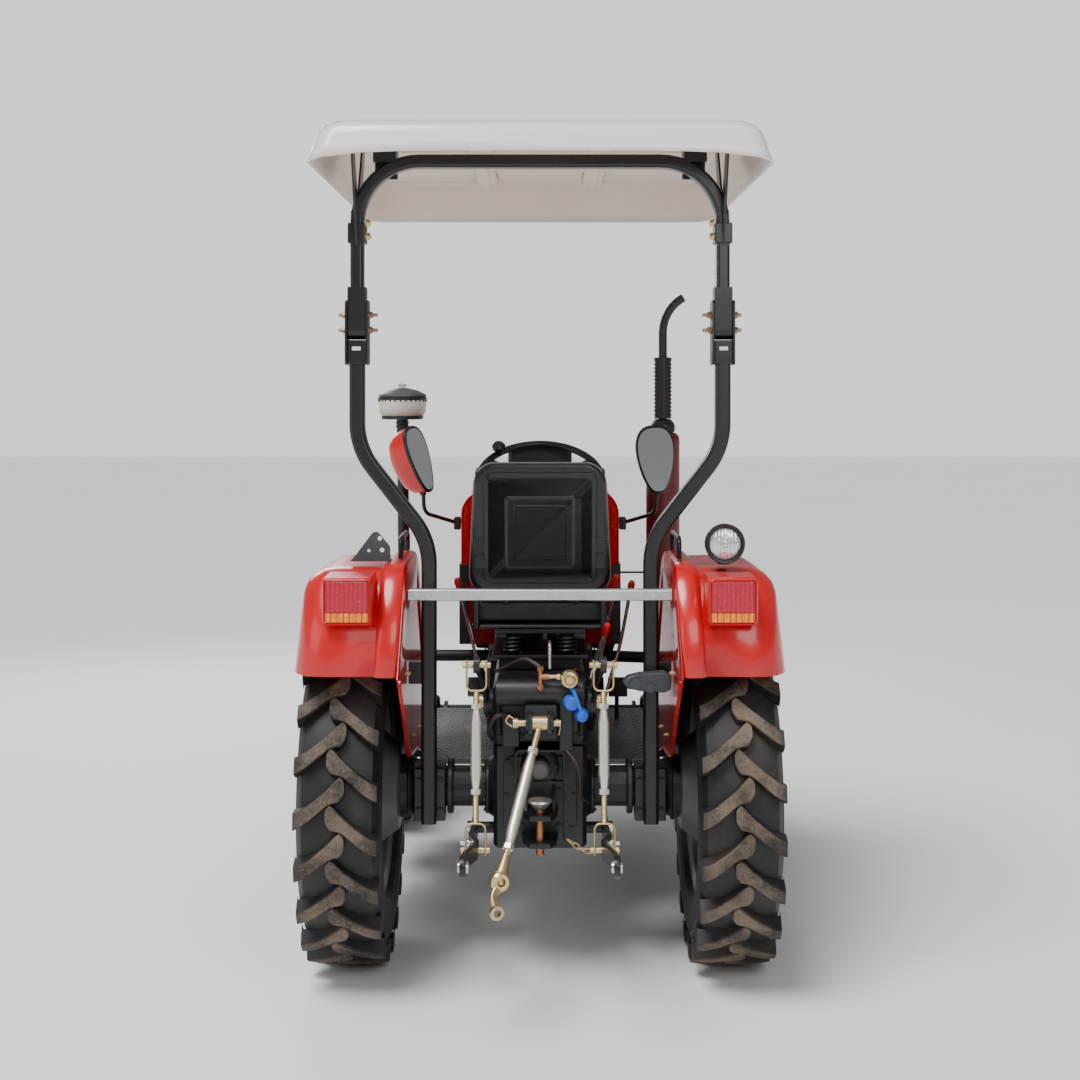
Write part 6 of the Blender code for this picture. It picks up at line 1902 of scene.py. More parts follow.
def make_lower_link(name, side):
    low, high = station_box("lower_link_" + name)
    x = (abs(low.x) + abs(high.x)) / 2
    route = [
        (x, LINK_ROOT), (x, LINK_ROOT.lerp(LINK_PIN, 0.65)), (ROD_X, LINK_ROOT.lerp(LINK_PIN, 0.88)),
        (ROD_X, LINK_PIN)
    ]
    route += [
        (ROD_X, LINK_PIN.lerp(LINK_TIP, 0.15)), (x, LINK_PIN.lerp(LINK_TIP, 0.55)),
        (x, LINK_PIN.lerp(LINK_TIP, 0.9))
    ]
    path = [Vector((side * across, point.y, point.z)) for across, point in route]
    bm = bmesh.new()
    sweep(bm, path, rounded(0.044, 0.015, 0.004), (1, 0, 0))
    rod(bm, path[0] - Vector((0.0085, 0, 0)), path[0] + Vector((0.0085, 0, 0)), 0.032, 28)
    eye = [
        (0.0165, -0.0088), (0.0275, -0.0088), (0.029, -0.006), (0.029, 0.006), (0.0275, 0.0088),
        (0.0165, 0.0088)
    ]
    tip = Vector((side * x, LINK_TIP.y, LINK_TIP.z))
    lathe(bm, eye, tip, (1, 0, 0), 32, True)
    piece(bm, "link_bar_" + name, "black_paint", ["lower_link_" + name], body="lower_links")
    bm = bmesh.new()
    ball = [
        (0.0115, -0.014), (0.0145, -0.014), (0.0166, -0.007), (0.017, 0.0), (0.0166, 0.007),
        (0.0145, 0.014), (0.0115, 0.014)
    ]
    lathe(bm, ball, tip, (1, 0, 0), 28, True)
    outer = side * (x + 0.0075)
    rod(bm, (outer, *LINK_ROOT.yz), (outer + side * 0.016, *LINK_ROOT.yz), 0.02, 24)
    stud = path[1].lerp(path[2], 0.3)
    rod(bm, stud, stud + Vector((side * 0.034, 0, 0)), 0.007, 16)
    bolt(bm, stud + Vector((side * 0.012, 0, 0)), (side, 0, 0), 0.012)
    piece(bm, "link_fittings_" + name, "bright_steel", body="lower_links")


def make_check_chain():
    bm = bmesh.new()
    start = Vector((0.208, -0.415, 0.462))
    path = [start + Vector((-0.016 * i, 0.004 * i, -0.03 * math.sin(math.pi * i / 8))) for i in range(9)]
    for number, (a, b) in enumerate(zip(path, path[1:])):
        middle, ahead = (a + b) / 2, (b - a).normalized()
        flat = Vector((0, 0, 1)) if number % 2 else Vector((0, 1, 0))
        across = ahead.cross(flat).normalized()
        ring = [
            middle + ahead * (math.cos(t) * 0.0135) + across * (math.sin(t) * 0.0065)
            for t in [math.tau * i / 14 for i in range(15)]
        ]
        sweep(bm, ring, circle(0.002, 6), flat)
    piece(bm, "check_chain", "yellow_zinc", body="lower_links")


def make_top_link():
    start, end = TOP_PIN, Vector((-0.11, -0.64, 0.42))
    ahead = (end - start).normalized()
    gold, pale = bmesh.new(), bmesh.new()
    rod(gold, start - Vector((0.021, 0, 0)), start + Vector((0.021, 0, 0)), 0.021, 28)
    turnbuckle(gold, pale, start, end, 0.2, 0.78, 0.0165)
    eye = [(0.012, -0.017), (0.022, -0.017), (0.0275, -0.01), (0.0275, 0.01), (0.022, 0.017), (0.012, 0.017)]
    lathe(gold, eye, end, (0.35, -0.94, 0.0), 32, True)
    ball = [(0.0, -0.015)] + [
        (0.0148 * math.cos(a), 0.0148 * math.sin(a)) for a in (-1.2, -0.8, -0.4, 0, 0.4, 0.8, 1.2)
    ]
    lathe(gold, ball + [(0.0, 0.015)], end, (0.35, -0.94, 0.0), 24)
    rod(gold, end - ahead * 0.075, end - ahead * 0.016, 0.011, 20, 0.021)
    hook = curve(
        [
            end + ahead * 0.018, end + ahead * 0.045 + Vector((-0.004, 0, 0)),
            end + ahead * 0.076 + Vector((0.01, 0, 0))
        ]
    )
    sweep(gold, hook, rounded(0.024, 0.014, 0.005), (0.35, -0.94, 0.0))
    ring = [(0.01, -0.008), (0.019, -0.008), (0.021, 0.0), (0.019, 0.008), (0.01, 0.008)]
    lathe(gold, ring, end + ahead * 0.09 + Vector((0.014, 0, 0)), (0.35, -0.94, 0.0), 28, True)
    piece(gold, "top_link_ends", "yellow_zinc", ["top_link"], body="upper_link")
    piece(pale, "top_link_sleeve", "pale_zinc", body="upper_link")


def make_drawbar():
    back = station_box("drawbar")[1].y
    bm = bmesh.new()
    box(bm, (-0.07, back - 0.02, 0.401), (0.07, back - 0.0005, 0.589), 0.005)
    for z in (0.42, 0.5):
        jaw = [
            (-0.055, back - 0.018), (0.055, back - 0.018), (0.048, back - 0.11), (0.03, back - 0.145),
            (-0.03, back - 0.145), (-0.048, back - 0.11)
        ]
        slab(bm, jaw, "Z", z, z + 0.016, 0.003)
    for x in (-0.045, 0.037):
        gusset = [(back - 0.018, 0.516), (back - 0.018, 0.58), (back - 0.085, 0.516)]
        slab(bm, gusset, "X", x, x + 0.008, 0.001)
    for x in (-0.055, 0.055):
        for z in (0.455, 0.56):
            bolt(bm, (x, back - 0.02, z), (0, -1, 0), 0.01)
    piece(bm, "drawbar_jaws", "casting", ["drawbar"])
    bm = bmesh.new()
    y = back - 0.11
    rod(bm, (0, y, 0.396), (0, y, 0.532), 0.0115, 24)
    hook = curve([(0, y, 0.4), (0.004, y - 0.006, 0.397), (0.012, y - 0.01, 0.399)])
    pipe(bm, hook, 0.004, 10)
    piece(bm, "drawbar_pin", "copper")
    bm = bmesh.new()
    funnel = [(0.0, 0.022), (0.012, 0.02), (0.034, 0.016), (0.036, 0.01), (0.014, -0.012), (0.0, -0.012)]
    lathe(bm, funnel, (0, y, 0.54), (0, 0, 1), 32)
    piece(bm, "pin_head", "pale_zinc")


PTO_HEIGHT = 0.63


def make_pto():
    low, high = station_box("pto_shaft")
    back = high.y
    bm = bmesh.new()
    outline = [
        (-0.075, 0.602), (-0.075, 0.684), (-0.064, 0.695), (0.064, 0.695), (0.075, 0.684), (0.075, 0.602)
    ]
    inner = [
        (0.069, 0.602), (0.069, 0.682), (0.062, 0.689), (-0.062, 0.689), (-0.069, 0.682), (-0.069, 0.602)
    ]
    slab(bm, outline + inner, "Y", low.y, back - 0.001, 0.001, 1)
    lathe(
        bm, [(0.058, 0.0), (0.058, 0.01), (0.05, 0.014), (0.036, 0.016), (0.036, 0.0)],
        (0, back, PTO_HEIGHT), (0, -1, 0), 36, True
    )
    for a, b in spaced(6):
        bolt(bm, (0.047 * a, back - 0.012, PTO_HEIGHT + 0.047 * b), (0, -1, 0), 0.005)
    piece(bm, "pto_guard", "casting", ["pto_shaft"])
    bm = bmesh.new()
    cap = [
        (0.0, 0.068), (0.02, 0.068), (0.0275, 0.062), (0.0285, 0.05), (0.0285, 0.006), (0.031, 0.002),
        (0.031, 0.0)
    ]
    lathe(bm, cap, (0, back, PTO_HEIGHT), (0, -1, 0), 36)
    for a, b in spaced(24):
        at = Vector((0.0285 * a, back, PTO_HEIGHT + 0.0285 * b))
        rod(bm, at + Vector((0, -0.01, 0)), at + Vector((0, -0.05, 0)), 0.0014, 6)
    piece(bm, "pto_cap", "grey_plastic")


def make_hydraulics():
    bm = bmesh.new()
    y = -0.3
    lathe(
        bm, [(0.0, -0.13), (0.036, -0.13), (0.04, -0.124), (0.04, 0.124), (0.036, 0.13), (0.0, 0.13)],
        (0, y + 0.012, 0.868), (1, 0, 0), 36
    )
    box(bm, (-0.046, y - 0.04, 0.74), (0.05, y + 0.05, 0.84), 0.008)
    box(bm, (0.056, y - 0.02, 0.7), (0.096, y + 0.03, 0.85), 0.006)
    box(bm, (-0.11, y - 0.01, 0.712), (-0.06, y + 0.06, 0.8), 0.006)
    for x in (-0.042, 0.03):
        cheek = [
            (-0.27, 0.737), (-0.27, 0.843), (-0.358, 0.818), (-0.378, 0.802), (-0.378, 0.776),
            (-0.362, 0.764)
        ]
        slab(bm, cheek, "X", x, x + 0.01, 0.002)
    for x, z in ((-0.12, 0.86), (0.12, 0.86), (-0.12, 0.735), (0.12, 0.735), (-0.06, 0.868), (0.06, 0.868)):
        bolt(bm, (x, -0.232, z - 0.01), (0, -1, 0), 0.008)
    piece(bm, "lift_cylinder", "casting")
    bm = bmesh.new()
    pin = TOP_PIN
    rod(bm, pin - Vector((0.066, 0, 0)), pin + Vector((0.06, 0, 0)), 0.01, 20)
    rod(bm, pin - Vector((0.078, 0, 0)), pin - Vector((0.064, 0, 0)), 0.015, 20)
    pipe(
        bm,
        curve(
            [
                pin + Vector((0.05, 0, 0.012)), pin + Vector((0.058, -0.004, -0.01)),
                pin + Vector((0.054, -0.006, -0.034))
            ]
        ),
        0.0025, 8
    )
    pipe(
        bm,
        curve(
            [
                pin + Vector((-0.072, 0, 0.01)), pin + Vector((-0.09, 0, 0.02)),
                pin + Vector((-0.098, 0, 0.004)), pin + Vector((-0.08, 0, -0.01))
            ]
        ),
        0.003, 8
    )
    piece(bm, "top_pin", "yellow_zinc")
    bm = bmesh.new()
    tee = Vector((0.001, y - 0.034, 0.922))
    rod(bm, tee - Vector((0, 0, 0.04)), tee + Vector((0, 0, 0.03)), 0.0066, 16)
    rod(bm, tee, tee + Vector((0.026, 0, 0)), 0.0085, 6)
    for z in (-0.036, 0.018):
        rod(bm, tee + Vector((0, 0, z)), tee + Vector((0, 0, z + 0.012)), 0.0098, 6)
    piece(bm, "copper_tee", "copper")
    bm = bmesh.new()
    rod(bm, tee + Vector((0.026, 0, 0)), tee + Vector((0.05, 0, 0)), 0.006, 12)
    rod(bm, tee + Vector((0.048, 0, 0)), tee + Vector((0.058, 0, 0)), 0.009, 6)
    coupler = Vector((0.086, y - 0.046, 0.918))
    ring = [
        (0.0, 0.03), (0.01, 0.03), (0.013, 0.024), (0.023, 0.022), (0.025, 0.012), (0.025, -0.012),
        (0.02, -0.02), (0.014, -0.024), (0.0, -0.06)
    ]
    lathe(bm, ring, coupler, (0, -1, 0), 32)
    lathe(
        bm, [(0.013, 0.0), (0.017, 0.006), (0.022, 0.004)], coupler + Vector((0, -0.022, 0)), (0, -1, 0), 24
    )
    piece(bm, "coupler", "yellow_zinc")
    bm = bmesh.new()
    for at, size in ((Vector((0.092, y - 0.06, 0.85)), 0.024), (Vector((0.122, y - 0.052, 0.812)), 0.02)):
        cap = [
            (0.0, 0.012), (size * 0.5, 0.012), (size * 0.8, 0.009), (size, 0.0), (size, -0.014),
            (size * 0.7, -0.018), (0.0, -0.018)
        ]
        lathe(bm, cap, at, (0.15, -1, -0.1), 32)
    strap = curve(
        [
            (0.086, y - 0.056, 0.898), (0.1, y - 0.07, 0.88), (0.112, y - 0.066, 0.846),
            (0.122, y - 0.06, 0.818)
        ]
    )
    sweep(bm, strap, rounded(0.01, 0.004, 0.0015), (0, 1, 0))
    piece(bm, "coupler_caps", "blue_plastic")
    bm = bmesh.new()
    routes = (
        [(0.086, y - 0.01, 0.916), (0.11, y + 0.06, 0.925), (0.15, -0.1, 0.87), (0.146, 0.1, 0.8)],
        [(0.001, y - 0.03, 0.95), (-0.045, y + 0.01, 0.965), (-0.1, -0.19, 0.925), (-0.135, -0.05, 0.89)],
        [(-0.085, y + 0.01, 0.8), (-0.13, y - 0.004, 0.8), (-0.152, -0.24, 0.74), (-0.146, -0.1, 0.69)],
        [(0.06, y - 0.004, 0.72), (0.11, y - 0.03, 0.66), (0.12, -0.25, 0.56), (0.146, -0.12, 0.5)],
    )
    for route in routes:
        pipe(bm, curve(route), 0.0062, 10)
    piece(bm, "hydraulic_pipes", "cable_brown")
    bm = bmesh.new()
    valve = [
        (0.372, 0.85), (0.392, 0.86), (0.392, 0.9), (0.372, 0.912), (0.3, 0.906), (0.262, 0.898),
        (0.248, 0.88), (0.262, 0.862), (0.3, 0.856)
    ]
    slab(bm, valve, "Y", -0.205, -0.152, 0.006)
    rod(bm, (0.285, -0.225, 0.88), (0.285, -0.15, 0.88), 0.016, 20)
    rod(bm, (0.33, -0.215, 0.866), (0.33, -0.15, 0.866), 0.013, 20)
    piece(bm, "outlet_valve", "slate_paint")


# ================================================================ chassis details
def make_platforms():
    for name, side in SIDES:
        bm = bmesh.new()
        top = PLATE_HIGH.z
        for row in range(34):
            y = 0.33 + row * 0.0245
            for column in range(20):
                x = 0.16 + column * 0.0245 + (0.01225 if row % 2 else 0.0)
                outer = 0.385 if y < 0.62 else 0.63
                inner = 0.135 if y < 0.735 else 0.215
                if not inner + 0.012 < x < outer - 0.008:
                    continue
                way = 0.7854 if (row + column) % 2 else -0.7854
                at = Vector((side * x, y, top))
                bmesh.ops.create_cone(
                    bm, cap_ends=True, segments=6, radius1=1.0, radius2=0.6, depth=1.0,
                    matrix=Matrix.Translation(at + Vector((0, 0, 0.0006)))
                    @ Matrix.Rotation(way, 4, "Z")
                    @ Matrix.Diagonal((0.0095, 0.003, 0.0022, 1.0)),
                )
        piece(bm, "tread_bars_" + name, "tread_plate")
        bm = bmesh.new()
        step = [(0.47, 0.33), (0.635, 0.33), (0.635, 0.345), (0.47, 0.345)]
        slab(bm, [(side * x, z) for x, z in step], "Y", 0.74, 0.96, 0.002)
        for y in (0.745, 0.95):
            for x in (0.48, 0.625):
                side_box(
                    bm, side, (x - 0.006, y - 0.004, 0.338), (x + 0.006, y + 0.004, PLATE_LOW.z + 0.055),
                    0.001
                )
        piece(bm, "side_step_" + name, "black_paint")


def make_castings():
    bm = bmesh.new()
    axle = REAR_RADIUS
    for _, side in SIDES:
        for x in (0.15, 0.268):
            lathe(
                bm,
                [(0.06, 0.0), (0.082, 0.0), (0.085, 0.003), (0.085, 0.015), (0.082, 0.018), (0.06, 0.018)],
                (side * x, 0, axle), (side, 0, 0), 48, True
            )
        lathe(
            bm, [(0.0625, 0.0), (0.075, 0.02), (0.095, 0.06), (0.06, 0.062)], (side * 0.345, 0, axle),
            (side, 0, 0), 48
        )
        rod(bm, (side * 0.12, 0, axle), (side * 0.16, 0, axle), 0.11, 48, 0.084)
        for a, b in spaced(8, 0.5):
            bolt(bm, (side * 0.168, 0.073 * a, axle + 0.073 * b), (side, 0, 0), 0.0065, False)
    cover = rounded(0.22, 0.23, 0.03)
    slab(bm, [(a, 0.545 + b) for a, b in cover], "Y", -0.198, -0.188, 0.003)
    for a, b in (
        (-0.095, 0.1), (0.0, 0.105), (0.095, 0.1), (-0.095, -0.1), (0.095, -0.1), (-0.1, 0.0), (0.1, 0.0)
    ):
        bolt(bm, (a, -0.198, 0.545 + b), (0, -1, 0), 0.0072, False)
    rod(bm, (-0.06, -0.1, 0.38), (-0.06, -0.1, 0.372), 0.016, 6)
    for z in (0.45, 0.55, 0.62):
        box(bm, (-0.137, 0.2, z), (0.137, 0.74, z + 0.012), 0.004)
    for x in (-1, 1):
        for y in (0.215, 0.74, 0.76, 0.925):
            for z in (0.43, 0.62):
                wide = 0.13 if y < 0.75 else 0.19
                bolt(bm, (x * (wide + 0.0005), y, z), (x, 0, 0), 0.0085, False)
    piece(bm, "housing_details", "casting")


def make_engine_details():
    bm = bmesh.new()
    box(bm, (-0.12, 1.0, 1.118), (0.12, 1.44, 1.185), 0.014, 3)
    for y in (1.06, 1.22, 1.38):
        rod(bm, (0, y, 1.18), (0, y, 1.196), 0.016, 20)
    for y in (1.02, 1.13, 1.24, 1.35):
        box(bm, (0.188, y, 0.98), (0.25, y + 0.07, 1.06), 0.01)
    box(bm, (0.225, 1.01, 0.985), (0.262, 1.44, 1.055), 0.014)
    box(bm, (-0.245, 1.08, 0.78), (-0.188, 1.34, 0.9), 0.012)
    for y in (1.1, 1.17, 1.24, 1.31):
        rod(bm, (-0.218, y, 0.895), (-0.218, y, 0.935), 0.012, 12)
    box(bm, (-0.15, 0.99, 0.395), (0.15, 1.4, 0.442), 0.012)
    for z in (0.52, 0.62, 0.72):
        for _, side in SIDES:
            side_box(bm, side, (0.205, 1.02, z + 0.045), (0.211, 1.44, z + 0.055), 0.002)
    piece(bm, "engine_covers", "casting")
    bm = bmesh.new()
    rod(bm, (0.188, 1.15, 0.82), (0.285, 1.15, 0.79), 0.04, 32)
    rod(bm, (-0.188, 1.02, 0.66), (-0.24, 1.02, 0.65), 0.032, 28)
    piece(bm, "oil_filter", "black_plastic")
    bm = bmesh.new()
    front = 1.482
    for x, z, radius in ((0.0, 0.64, 0.07), (0.0, 0.96, 0.06), (0.15, 0.85, 0.034)):
        wheel = [
            (radius, 0.0), (radius, 0.005), (radius - 0.008, 0.012), (radius, 0.019), (radius, 0.024),
            (0.0, 0.024), (0.0, 0.0)
        ]
        lathe(bm, wheel, (x, front, z), (0, 1, 0), 36)
    for number in range(6):
        angle = math.tau * number / 6
        box(bm, (-0.026, front + 0.02, 0.03), (0.026, front + 0.024, 0.165), 0.002)
        made = [
            v for v in bm.verts
            if abs(v.co.x) <= 0.0261 and 0.029 < v.co.z < 0.166 and v.co.y > front + 0.019
        ]
        bmesh.ops.rotate(bm, verts=made, cent=(0, front + 0.022, 0), matrix=Matrix.Rotation(0.45, 3, "Z"))
        bmesh.ops.rotate(bm, verts=made, cent=(0, front, 0), matrix=Matrix.Rotation(angle, 3, "Y"))
        bmesh.ops.translate(bm, verts=made, vec=(0, 0, 0.96))
    piece(bm, "fan_and_pulleys", "black_paint")
    bm = bmesh.new()
    for route in (
        [(-0.218, 1.1, 0.935), (-0.2, 1.12, 1.04), (-0.14, 1.08, 1.1)],
        [(-0.218, 1.17, 0.935), (-0.2, 1.19, 1.05), (-0.14, 1.2, 1.1)],
        [(-0.218, 1.24, 0.935), (-0.2, 1.26, 1.05), (-0.14, 1.32, 1.1)],
    ):
        pipe(bm, curve(route), 0.0035, 8)
    piece(bm, "injector_pipes", "bright_steel")


KINGPIN_X = 0.46
STEERING_ROD_BACK = 0.12


def make_front_axle_details():
    bm = bmesh.new()
    y = WHEELBASE
    for _, side in SIDES:
        lathe(
            bm, [(0.0, 0.02), (0.03, 0.018), (0.046, 0.008), (0.048, 0.0)], (side * KINGPIN_X, y, 0.49),
            (0, 0, 1), 28
        )
        for a, b in spaced(6):
            bolt(bm, (side * KINGPIN_X + 0.037 * a, y + 0.037 * b, 0.498), (0, 0, 1), 0.005, False)
        lathe(
            bm, [(0.045, 0.0), (0.06, 0.0), (0.06, 0.014), (0.045, 0.014)], (side * 0.38, y, 0.42),
            (side, 0, 0), 32, True
        )
        lathe(
            bm, [(0.0115, 0.0), (0.028, 0.0), (0.029, 0.01), (0.0115, 0.012)],
            (side * 0.119, y - STEERING_ROD_BACK, 0.285), (side, 0, 0), 24, True
        )
    piece(bm, "front_axle_fittings", "casting")
    for name, side in SIDES:
        bm = bmesh.new()
        pin = (side * 0.435, y - STEERING_ROD_BACK, 0.326)
        rod(bm, (*pin[:2], 0.3135), pin, 0.014, 20)
        bolt(bm, pin, (0, 0, 1), 0.01, False)
        for a, b in spaced(6):
            bolt(bm, (side * 0.547, y + 0.058 * a, 0.375 + 0.058 * b), (side, 0, 0), 0.0035, False)
        piece(bm, "knuckle_fittings_" + name, "bright_steel", body="steered_" + name)


def make_lamp_bracket():
    bm = bmesh.new()
    low, high = station_box("lamp_bracket_left")
    bolt(bm, (-0.55, high.y - 0.022, low.z + 0.004), (0, 0, 1), 0.007)
    bolt(bm, (-0.48, high.y - 0.022, low.z + 0.004), (0, 0, 1), 0.007)
    piece(bm, "bracket_bolts", "yellow_zinc")


def make_finishes():
    repaint(
        "casting", "rear_axle_housing", "transmission_housing", "engine_block", "lift_housing",
        "front_axle_beam"
    )
    repaint("casting", "knuckle_left", "knuckle_right")
    repaint("black_paint", "front_frame", "front_weight_bracket")
    repaint("tread_plate", "platform_left", "platform_right")
    repaint("bright_steel", "steering_rod")
    repaint("radiator_fins", "radiator")
    repaint("slate_paint", "lamp_bracket_left")


# ================================================================ stage
CAMERA_LENS = 53.5
CAMERA_BACK = 5.0
CAMERA_HEIGHT = 1.74
CAMERA_SHIFT = -0.134
SENSOR_WIDTH = 36.0
FLOOR_SIZE = 40.0
SUN_STRENGTH = 3.3
SUN_ANGLE = math.radians(28.0)
WORLD_STRENGTH = 0.26
WORLD_SEEN = 1.2
LAMP_PANELS = (
    ("key_panel", (1.6, -5.6, 3.4), 95.0, (3.2, 2.2)), ("fill_panel", (-4.4, -3.6, 2.4), 40.0, (3.0, 2.5)),
    ("rim_panel", (-2.5, 4.8, 3.2), 110.0, (2.5, 2.0)),
)


def lamp(name, kind, location, target, energy):
    data = bpy.data.lights.new(name, kind)
    data.energy = energy
    obj = bpy.data.objects.new(name, data)
    bpy.context.scene.collection.objects.link(obj)
    obj.location = location
    obj.rotation_euler = (Vector(target) - Vector(location)).to_track_quat("-Z", "Y").to_euler()
    return data


def make_stage():
    bm = bmesh.new()
    bmesh.ops.create_grid(bm, x_segments=1, y_segments=1, size=FLOOR_SIZE)
    mesh = bpy.data.meshes.new("floor")
    bm.to_mesh(mesh)
    bm.free()
    mesh.materials.append(finish("studio_floor"))
    floor = bpy.data.objects.new("floor", mesh)
    bpy.context.scene.collection.objects.link(floor)
    world = bpy.data.worlds.new("studio")
    world.use_nodes = True
    background = world.node_tree.nodes["Background"]
    background.inputs["Color"].default_value = (1.0, 1.0, 1.0, 1.0)
    background.inputs["Strength"].default_value = WORLD_STRENGTH
    seen = world.node_tree.nodes.new("ShaderNodeMapRange")
    seen.inputs["To Min"].default_value = WORLD_STRENGTH
    seen.inputs["To Max"].default_value = WORLD_SEEN
    path = world.node_tree.nodes.new("ShaderNodeLightPath")
    world.node_tree.links.new(path.outputs["Is Camera Ray"], seen.inputs["Value"])
    world.node_tree.links.new(seen.outputs["Result"], background.inputs["Strength"])
    bpy.context.scene.world = world
    middle = (0.0, ORIGIN.y, 1.1)
    sun = lamp("soft_sun", "SUN", (-1.6, -2.4, 6.0), middle, SUN_STRENGTH)
    sun.angle = SUN_ANGLE
    for name, spot, energy, size in LAMP_PANELS:
        panel = lamp(name, "AREA", spot, middle, energy)
        panel.shape = "RECTANGLE"
        panel.size, panel.size_y = size
    data = bpy.data.cameras.new("camera")
    data.sensor_width = SENSOR_WIDTH
    data.lens = CAMERA_LENS
    data.shift_y = CAMERA_SHIFT
    camera = bpy.data.objects.new("camera", data)
    bpy.context.scene.collection.objects.link(camera)
    camera.location = (0.0, ORIGIN.y - CAMERA_BACK, CAMERA_HEIGHT)
    camera.rotation_euler = (math.pi / 2, 0.0, 0.0)
    bpy.context.scene.camera = camera


# ================================================================ operators
class TRACTOR_OT_tyres(bpy.types.Operator):
    """Carcass and tread bars of the four tyres."""

    bl_idname = "tractor.tyres"
    bl_label = "Tyres"

    def execute(self, context):
        make_tyres()
        return {"FINISHED"}


class TRACTOR_OT_rims(bpy.types.Operator):
    """Dished disc wheels with their bolts and hub caps."""

    bl_idname = "tractor.rims"
    bl_label = "Rims"

    def execute(self, context):
        make_rims()
        return {"FINISHED"}


class TRACTOR_OT_fenders(bpy.types.Operator):
    """Pressed crown and inner wall of each fender."""

    bl_idname = "tractor.fenders"
    bl_label = "Fenders"

    def execute(self, context):
        for name, side in SIDES:
            make_fender(name, side)
        return {"FINISHED"}


class TRACTOR_OT_fender_fittings(bpy.types.Operator):
    """Grab rails and seam bolts of the fenders."""

    bl_idname = "tractor.fender_fittings"
    bl_label = "Fender fittings"

    def execute(self, context):
        make_fender_fittings()
        return {"FINISHED"}


class TRACTOR_OT_tail_lamps(bpy.types.Operator):
    """Bezel, lenses and back of each tail lamp."""

    bl_idname = "tractor.tail_lamps"
    bl_label = "Tail lamps"

    def execute(self, context):
        for name, side in SIDES:
            make_tail_lamp(name, side)
        return {"FINISHED"}


class TRACTOR_OT_work_lamp(bpy.types.Operator):
    """Round work lamp and its mounting plate."""

    bl_idname = "tractor.work_lamp"
    bl_label = "Work lamp"

    def execute(self, context):
        make_work_lamp()
        return {"FINISHED"}


class TRACTOR_OT_posts(bpy.types.Operator):
    """Fixed lower posts of the roll frame."""

    bl_idname = "tractor.posts"
    bl_label = "Roll posts"

    def execute(self, context):
        for name, side in SIDES:
            make_post(name, side)
        return {"FINISHED"}


class TRACTOR_OT_hoop(bpy.types.Operator):
    """Upper hoop, hinge blocks and canopy brackets."""

    bl_idname = "tractor.hoop"
    bl_label = "Folding hoop"

    def execute(self, context):
        make_hoop()
        return {"FINISHED"}


class TRACTOR_OT_canopy(bpy.types.Operator):
    """Gel coat, lining and ribs of the roof."""

    bl_idname = "tractor.canopy"
    bl_label = "Canopy"

    def execute(self, context):
        make_canopy()
        return {"FINISHED"}


class TRACTOR_OT_crossbar(bpy.types.Operator):
    """Galvanised bar between the posts."""

    bl_idname = "tractor.crossbar"
    bl_label = "Crossbar"

    def execute(self, context):
        make_crossbar()
        return {"FINISHED"}


class TRACTOR_OT_seat_shell(bpy.types.Operator):
    """Moulded back, pan and piping."""

    bl_idname = "tractor.seat_shell"
    bl_label = "Seat shell"

    def execute(self, context):
        make_seat_shell()
        return {"FINISHED"}


class TRACTOR_OT_cushions(bpy.types.Operator):
    """Stuffed and sewn seat and back cushions."""

    bl_idname = "tractor.cushions"
    bl_label = "Cushions"

    def execute(self, context):
        make_cushions()
        return {"FINISHED"}


class TRACTOR_OT_seat_base(bpy.types.Operator):
    """Springs, rails and lever under the seat."""

    bl_idname = "tractor.seat_base"
    bl_label = "Seat base"

    def execute(self, context):
        make_seat_base()
        return {"FINISHED"}


class TRACTOR_OT_hood(bpy.types.Operator):
    """Tilting hood with grille, lamps and louvres."""

    bl_idname = "tractor.hood"
    bl_label = "Hood"

    def execute(self, context):
        make_hood()
        return {"FINISHED"}


class TRACTOR_OT_cowl(bpy.types.Operator):
    """Fixed shroud and its seal."""

    bl_idname = "tractor.cowl"
    bl_label = "Cowl"

    def execute(self, context):
        make_cowl()
        return {"FINISHED"}


class TRACTOR_OT_dash(bpy.types.Operator):
    """Console, dials and steering column."""

    bl_idname = "tractor.dash"
    bl_label = "Dash"

    def execute(self, context):
        make_dash()
        return {"FINISHED"}


class TRACTOR_OT_steering_wheel(bpy.types.Operator):
    """Rim, spokes, hub and spinner knob."""

    bl_idname = "tractor.steering_wheel"
    bl_label = "Steering wheel"

    def execute(self, context):
        make_hand_wheel()
        return {"FINISHED"}


class TRACTOR_OT_levers(bpy.types.Operator):
    """Levers with their grips, and the pedals."""

    bl_idname = "tractor.levers"
    bl_label = "Levers and pedals"

    def execute(self, context):
        make_levers()
        return {"FINISHED"}


class TRACTOR_OT_exhaust(bpy.types.Operator):
    """Muffler, guard and pipes."""

    bl_idname = "tractor.exhaust"
    bl_label = "Exhaust"

    def execute(self, context):
        make_exhaust()
        return {"FINISHED"}


class TRACTOR_OT_precleaner(bpy.types.Operator):
    """Cyclone bowl on its stand pipe."""

    bl_idname = "tractor.precleaner"
    bl_label = "Pre-cleaner"

    def execute(self, context):
        make_precleaner()
        return {"FINISHED"}


class TRACTOR_OT_mirrors(bpy.types.Operator):
    """Heads, glasses and arms of both mirrors."""

    bl_idname = "tractor.mirrors"
    bl_label = "Mirrors"

    def execute(self, context):
        for name, side in SIDES:
            make_mirror(name, side)
        return {"FINISHED"}


class TRACTOR_OT_lift_rods(bpy.types.Operator):
    """Clevises and turnbuckles of both lift rods."""

    bl_idname = "tractor.lift_rods"
    bl_label = "Lift rods"

    def execute(self, context):
        for name, side in SIDES:
            make_lift_rod(name, side)
        return {"FINISHED"}


